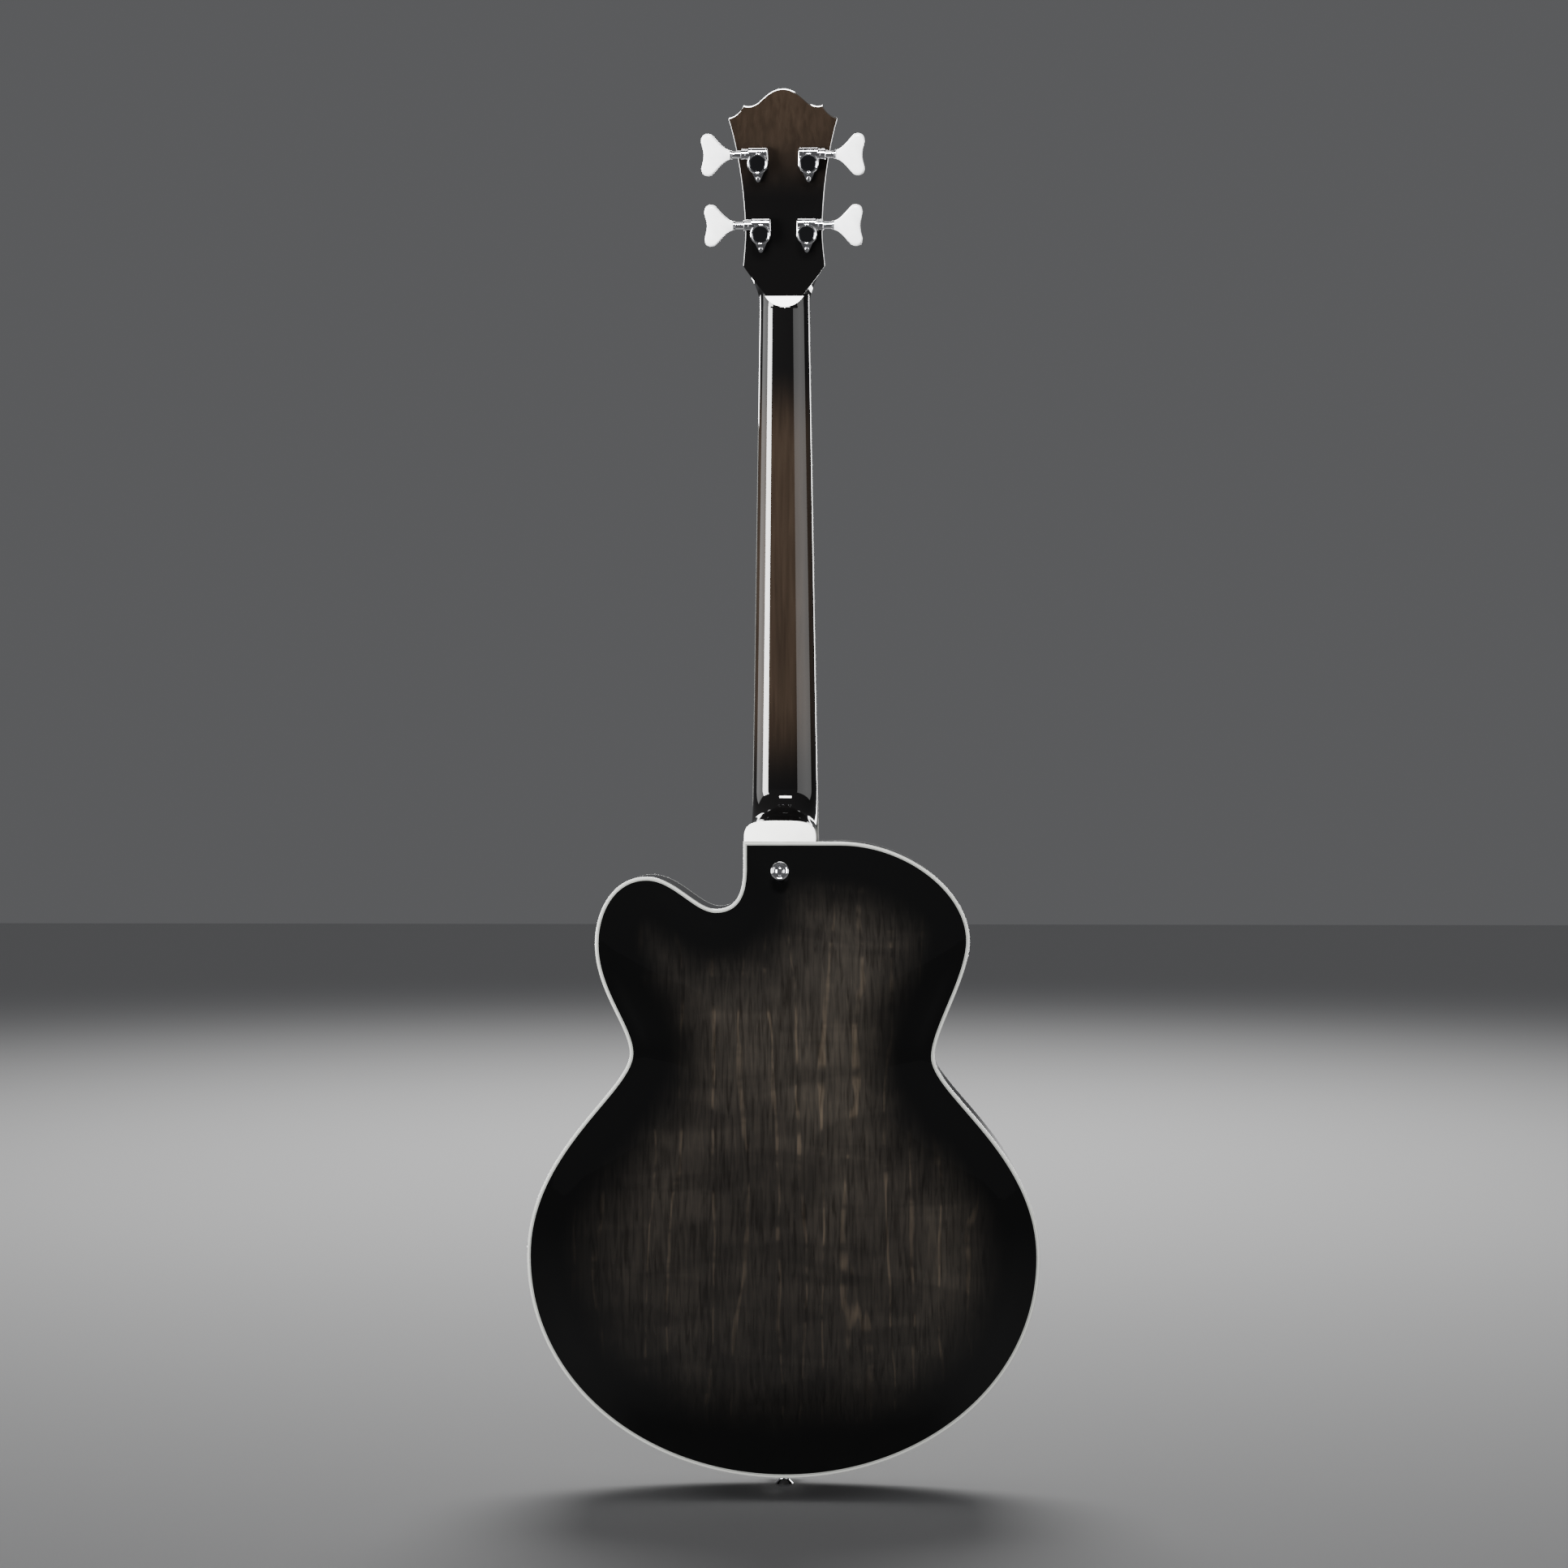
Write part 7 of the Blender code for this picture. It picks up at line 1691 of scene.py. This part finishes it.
# a string's way from the tailpiece over bridge and nut to its turns on the post
def stringPath(i, radius, side, row, s):
    tailX = (i - 1.5) * s["bridgeGap"] * s["tailSpread"]
    points = [bodyFrame @ Vector((tailX, tailBarY, z)) for z in s["tail"]]
    sunk = max(0.0, radius - s["thickest"])
    saddle = neckFrame @ Vector(((i - 1.5) * s["bridgeGap"], sunk - s["overBridge"], -scaleLength))
    points += [saddle + Vector((0, 0, dz)) for dz in (-s["bend"], s["bend"])]
    points += [neckFrame @ Vector(((i - 1.5) * s["nutGap"], -s["overNut"] - radius, z)) for z in s["nutEnds"]]
    coil = (tunerShape["post"] + radius + seat) / math.cos(math.pi / s["turnSteps"])
    level = headShape["front"] - tunerShape["rise"] + s["wrapLevel"] + radius
    x, z = tunerShape["places"][row]
    centre = Vector((side * x, z))
    nutEnd = headFrame.inverted() @ points[-1]
    toPost = centre - Vector((nutEnd.x, nutEnd.z))
    lean = math.asin(coil / toPost.length)
    start = math.atan2(toPost.y, toPost.x) + side * (lean + math.pi / 2)
    pitch = 2 * radius + s["turnGap"]
    for k in range(s["turns"] * s["turnSteps"] + 1):
        angle = start - side * math.tau * k / s["turnSteps"]
        points.append(headFrame @ Vector((centre.x + coil * math.cos(angle), level + pitch * k / s["turnSteps"],
                                          centre.y + coil * math.sin(angle))))
    return points


def makeStrings(s):
    machines = ((-1, 0), (-1, 1), (1, 1), (1, 0))
    for i, (name, radius) in enumerate(stringRadii.items()):
        host = hostPath(stringPath(i, radius, *machines[i], s))
        grown(name + "StringWire", trees["wire"], host, {"Radius": radius, "Sides": s["sides"]}, "root", "woundSteel",
              60, [name + "_string"])


makeBridge(bridgeShape)
makeTailpiece(tailShape)
makeStrings(stringShape)
print("bridge, tailpiece and strings made")


# pickups, controls and the cover over the truss rod

joints = {joint["name"]: joint for joint in frame["record"]["behaviour"]["joints"]}


# a frame on a control's own axis: its local y axis runs into the body
def axleFrame(name, along=None, drop=0.0):
    joint = joints[name]
    if along is None:
        yAxis = -Vector(joint["axis"]).normalized()
        zAxis = Vector((1, 0, 0)).cross(yAxis).normalized()
        xAxis = yAxis.cross(zAxis)
    else:
        xAxis = Vector(joint["axis"]).normalized()
        flat = Vector((-xAxis.y, xAxis.x, 0)).normalized()
        yAxis = (flat * math.sqrt(1 - along ** 2) + Vector((0, 0, along))).normalized()
        zAxis = xAxis.cross(yAxis)
    rotation = Matrix((xAxis, yAxis, zAxis)).transposed().to_4x4()
    return Matrix.Translation(Vector(joint["pos_m"]) - yAxis * drop) @ rotation


def makePickup(name, height, s):
    halfX, halfZ = s["half"]
    face = underStrings(height) + s["clearance"]
    surface = topY(0, height)
    e = s["edge"]
    cover = roundedRectangle(halfX, halfZ, s["corner"])
    levels = [(surface + s["below"], 0.0), (face + e, 0.0)]
    levels += [(face + e * (1 - math.sin(a)), e * (1 - math.cos(a))) for a in (0.3, 0.6, 0.9, 1.2, math.pi / 2)]
    rings = [[(x, y, height + z) for x, z in (inset(cover, draw) if draw else cover)] for y, draw in levels]
    body = f"{name}_pickup"
    meshPiece(f"{name}PickupCover", loft(rings), body, "brushedChrome", 35, bodyFrame, [body])
    poles = []
    for i in range(4):
        share = (height - bridgeZ) / (bodyLength - bridgeZ + jointDistance)
        x = (i - 1.5) * (stringShape["bridgeGap"] + (stringShape["nutGap"] - stringShape["bridgeGap"]) * share)
        poles += [(x, face, height + side * s["poles"]) for side in (-1, 1)]
    sizes = {"aim": (0, -1, 0), "Head Radius": 0.0026, "Dome Height": 0.0006, "Slot Length": 0.0044, "Slot Width": 0.0006,
             "Slot Depth": 0.0004, "Cross": False}
    screws(f"{name}PolePieces", poles, bodyFrame, sizes, body, "bright_metal")

    room, bevel = s["room"], s["bevel"]
    crest = surface + (face - surface) * s["crest"]
    wide = (halfX + s["ringEnd"], halfZ + s["ringSide"])
    outer = subdivided(roundedRectangle(*wide, 0.0035, 8), 0.003)
    rows = [(outer, None), (outer, 0.7), (inset(outer, bevel * 0.3), 0.93), (inset(outer, bevel), 1.0)]
    inner = [matched(point, halfX + room / 2, halfZ + room / 2) for point in outer]
    rows += [(inner, 1.0), (inner, None)]
    rings = []
    for line, share in rows:
        ring = []
        for x, z in line:
            ground = topY(x, height + z) - seat
            ring.append((x, ground if share is None else ground + (crest - ground) * share, height + z))
        rings.append(ring)
    meshPiece(f"{name}PickupRing", loft(rings, True), "root", "black_plastic", 35, bodyFrame, [f"{body}_ring"])
    x, z = s["ringScrews"]
    corners = [(sx * x, crest, height + sz * z) for sx in (-1, 1) for sz in (-1, 1)]
    sizes = {"aim": (0, -1, 0), "Head Radius": 0.0019, "Dome Height": 0.0009, "Slot Length": 0.0022, "Slot Width": 0.0005,
             "Slot Depth": 0.0006, "Cross": True}
    screws(f"{name}RingScrews", corners, bodyFrame, sizes, "root", "chrome")


def subdivided(line, longest):
    points = []
    for (ax, az), (bx, bz) in zip(line, line[1:] + line[:1]):
        steps = max(1, math.ceil(math.hypot(bx - ax, bz - az) / longest))
        points += [(ax + (bx - ax) * k / steps, az + (bz - az) * k / steps) for k in range(steps)]
    return points


# the opening's edge nearest to a point of the ring's edge
def matched(point, halfX, halfZ):
    return max(-halfX, min(halfX, point[0])), max(-halfZ, min(halfZ, point[1]))


knobShape = {
    "radius": 0.0125, "height": 0.017, "foot": -0.001, "waist": 0.86, "top": 0.78, "shoulder": 0.002, "hollow": 0.0090,
    "hollowDepth": 0.0068, "shaft": 0.003, "floor": 0.0144, "grips": 40, "grip": 0.00035, "mark": (0.0004, 0.0003),
}


def makeKnob(name, joint, s):
    place = axleFrame(joint)
    foot, top = s["foot"], s["foot"] - s["height"]
    low, waist, high = s["radius"] - 0.0004, s["radius"] * s["waist"] - 0.0003, s["radius"] * s["top"]
    shoulder = top + s["shoulder"]
    profile = [(0, s["floor"]), (s["shaft"] - 0.0003, s["floor"]), (s["shaft"], s["floor"] - 0.0003), (s["shaft"], -s["hollowDepth"]),
               (s["hollow"], -s["hollowDepth"]), (s["hollow"], foot), (low - 0.0002, foot), (low, foot - 0.0003), (low, foot - 0.0012),
               (low - 0.0006, foot - 0.0018), (waist, shoulder + 0.0004), (waist - 0.0002, shoulder),
               (high + 0.0004, top + 0.0005), (high, top + 0.0001), (high - 0.0006, top), (high - 0.0011, top + 0.0003), (0, top + 0.0003)]
    rise = foot - 0.0020 - shoulder
    lean = (low - 0.0006 - waist) / rise
    knurled(name + "Knob", turned(profile, 64), place, (foot - 0.0020 + shoulder) / 2, (low - 0.0006 + waist) / 2, rise, s["grips"],
            s["grip"], f"{name}_knob", "black_plastic", [f"{name}_knob"], lean)
    halfWidth, thick = s["mark"]
    mark = block((-halfWidth, top + 0.0001, 0.002), (halfWidth, top + 0.0003 + thick, high - 0.0013))
    meshPiece(name + "KnobMark", mark, f"{name}_knob", "cream_plastic", 30, place)


potShape = {
    "bushing": 0.00475, "bore": 0.0034, "rise": 0.0060, "nut": (0.0070, 0.0028), "washer": (0.0068, 0.0006), "can": 0.012,
    "under": 0.0054, "depth": 0.010,
}


# a pot as three overlapping forms: its can and bushing, a washer and a six-sided nut
def makePot(name, place, nodes, finish, s):
    bore, bushing, under, floor = s["bore"], s["bushing"], s["under"], s["under"] + s["depth"]
    body = turned([(bore, -s["rise"]), (bushing - 0.0004, -s["rise"]), (bushing, 0.0004 - s["rise"]), (bushing, under),
                   (s["can"] - 0.0006, under), (s["can"], under + 0.0006), (s["can"], floor - 0.001), (s["can"] - 0.001, floor),
                   (bore, floor)], 48, wrap=True)
    washer, thick = s["washer"]
    turned([(bushing - 0.0004, -0.0004), (washer, -0.0004), (washer, -0.0004 - thick), (bushing - 0.0004, -0.0004 - thick)], 40,
           wrap=True, bm=body)
    radius, high = s["nut"]
    turned([(bushing - 0.0004, -0.0010), (radius, -0.0010), (radius, 0.0003 - high), (radius * 0.93, -high), (bushing - 0.0004, -high)], 6,
           wrap=True, bm=body)
    meshPiece(name, body, "root", finish, 30, place, nodes)


switchShape = {
    "can": 0.0090, "depth": 0.022, "under": 0.0054, "bushing": 0.00475, "nut": 0.0071, "nutHeight": 0.0022, "bore": 0.0036,
    "boreDepth": 0.0100, "lip": 0.0030, "pivot": 0.0022, "ball": 0.0029, "lever": 0.0014, "length": 0.0185, "tail": 0.0060,
    "tip": 0.0032, "tipStart": 0.0105, "lean": -0.0583, "grips": 36, "grip": 0.0004,
}


def makeSwitch(s):
    place = axleFrame("switch_tilt", s["lean"], s["pivot"])
    core = turned([(0, s["depth"]), (s["can"] - 0.0008, s["depth"]), (s["can"], s["depth"] - 0.0008), (s["can"], s["under"]),
                   (s["bushing"], s["under"]), (s["bushing"], -0.0004), (s["nut"] - 0.0003, -0.0004), (s["nut"], -0.0007),
                   (s["nut"], 0.0004 - s["nutHeight"]), (s["nut"] - 0.0005, -s["nutHeight"]), (s["bore"] + 0.0012, -s["nutHeight"]),
                   (s["bore"] + 0.0008, -s["lip"] + 0.0002), (s["bore"] + 0.0003, -s["lip"]), (s["bore"], 0.0003 - s["lip"]),
                   (s["bore"], s["boreDepth"]), (0, s["boreDepth"])], 48)
    knurled("switchBody", core, place, -0.0014, s["nut"], 0.0012, s["grips"], s["grip"], "root", "steel", ["switch_body"])
    pivot = place @ Matrix.Translation((0, s["pivot"], 0))
    r, ball = s["lever"], s["ball"]
    reach = math.sqrt(ball ** 2 - r ** 2)
    profile = [(0, s["tail"]), (r - 0.0003, s["tail"]), (r, s["tail"] - 0.0003), (r, reach)]
    profile += [(math.sqrt(ball ** 2 - y * y), y) for y in (reach * k / 6 for k in range(5, -6, -1))]
    profile += [(r, -reach), (r, 0.0004 - s["tipStart"] - 0.001), (0, 0.0004 - s["tipStart"] - 0.001)]
    meshPiece("switchLever", turned(profile, 32), "switch_lever", "chrome", 35, pivot, ["switch_lever"])
    start, end, wide = -s["tipStart"], -s["length"], s["tip"]
    profile = [(0, start), (r * 1.5, start), (r * 1.75, start - 0.0004), (r * 1.85, start - 0.0012), (wide * 0.86, (start + end) / 2),
               (wide, end + r * 2.5), (wide * 0.97, end + r * 1.8), (wide * 0.80, end + r * 0.9), (wide * 0.45, end + r * 0.2), (0, end)]
    meshPiece("switchTip", turned(profile, 40), "switch_lever", "cream_plastic", 60, pivot)


jackShape = {
    "bore": 0.0033, "nut": 0.0075, "face": 0.0035, "washer": 0.0073, "nutSeat": 0.0008, "thread": 0.0057, "flange": 0.0085,
    "flangeAt": -0.0058, "depth": -0.022,
}


def makeJack(s):
    place = bodyFrame @ Matrix.Translation((topShape["jack"][0], rimDepth / 2, topShape["jack"][1]))
    thread, bore, face = s["thread"], s["bore"], s["face"]
    body = turned([(bore, face), (thread - 0.0004, face), (thread, face - 0.0004), (thread, s["flangeAt"]), (s["flange"], s["flangeAt"]),
                   (s["flange"], s["flangeAt"] - 0.002), (s["flange"] - 0.0015, s["flangeAt"] - 0.003),
                   (s["flange"] - 0.0015, s["depth"]), (bore, s["depth"])], 48, "x", wrap=True)
    nutSeat = s["nutSeat"]
    turned([(thread - 0.0005, 0.0003), (s["washer"], 0.0003), (s["washer"], nutSeat), (thread - 0.0005, nutSeat + 0.0001)], 48, "x",
           wrap=True, bm=body)
    turned([(thread - 0.0005, nutSeat), (s["nut"], nutSeat), (s["nut"], face - 0.0010), (s["nut"] * 0.93, face - 0.0006),
            (thread - 0.0005, face - 0.0006)], 6, "x", wrap=True, bm=body)
    meshPiece("outputJack", body, "root", "chrome", 30, place, ["output_jack"])


coverShape = {
    "line": ((0.00897, 0.0050), (0.0095, 0.0125), (0.006, 0.023), (0.0025, 0.03075), (0, 0.032)),
    "back": -0.0026, "white": 0.0007, "thickness": 0.002, "edge": 0.0004, "bevel": 0.0007,
    "screws": ((-0.0066, 0.0085), (0.0066, 0.0085), (0, 0.0275)),
}


def makeCover(s):
    (sx, sz), (bx, bz), (nx, nz), (tx, tz), (_, end) = s["line"]
    half = [(sx, sz)] + bezier((sx, sz), (sx + 0.0006, sz + 0.002), (bx + 0.0004, bz - 0.003), (bx, bz), 6)[1:]
    half += bezier((bx, bz), (bx - 0.0004, bz + 0.003), (nx + 0.0004, nz - 0.003), (nx, nz), 8)
    half += bezier((nx, nz), (nx - 0.0005, nz + 0.0035), (tx + 0.001, tz - 0.001), (tx, tz), 8)
    half += bezier((tx, tz), (tx - 0.0008, tz + 0.0008), (0.001, end), (0, end), 5) + [(0, end)]
    line = half + [(-x, z) for x, z in half[-2::-1]]
    back, front = s["back"], s["back"] - s["thickness"]
    white = prism(line, back, back - s["white"])
    meshPiece("rodCoverEdge", white, "root", "cream_plastic", 35, headFrame, ["truss_rod_cover"])
    inner = inset(line, s["bevel"])
    rings = [(line, back - s["white"]), (inner, front + 0.0002), (inset(line, s["bevel"] + 0.0002), front)]
    plate = loft([[(x, y, z) for x, z in ring] for ring, y in rings])
    meshPiece("rodCover", plate, "root", "black_plastic", 35, headFrame)
    sizes = {"aim": (0, -1, 0), "Head Radius": 0.0014, "Dome Height": 0.0007, "Slot Length": 0.0016, "Slot Width": 0.0004,
             "Slot Depth": 0.0005, "Cross": True}
    screws("rodCoverScrews", [(x, front, z) for x, z in s["screws"]], headFrame, sizes, "root", "chrome")


for pickup, height in pickupShape["heights"].items():
    makePickup(pickup, height, pickupShape)
for control in ("volume", "tone"):
    makeKnob(control, control + "_turn", knobShape)
    makePot(control + "Pot", axleFrame(control + "_turn"), [control + "_pot"], "steel", potShape)
makeSwitch(switchShape)
makeJack(jackShape)
makeCover(coverShape)
print("pickups and controls made")
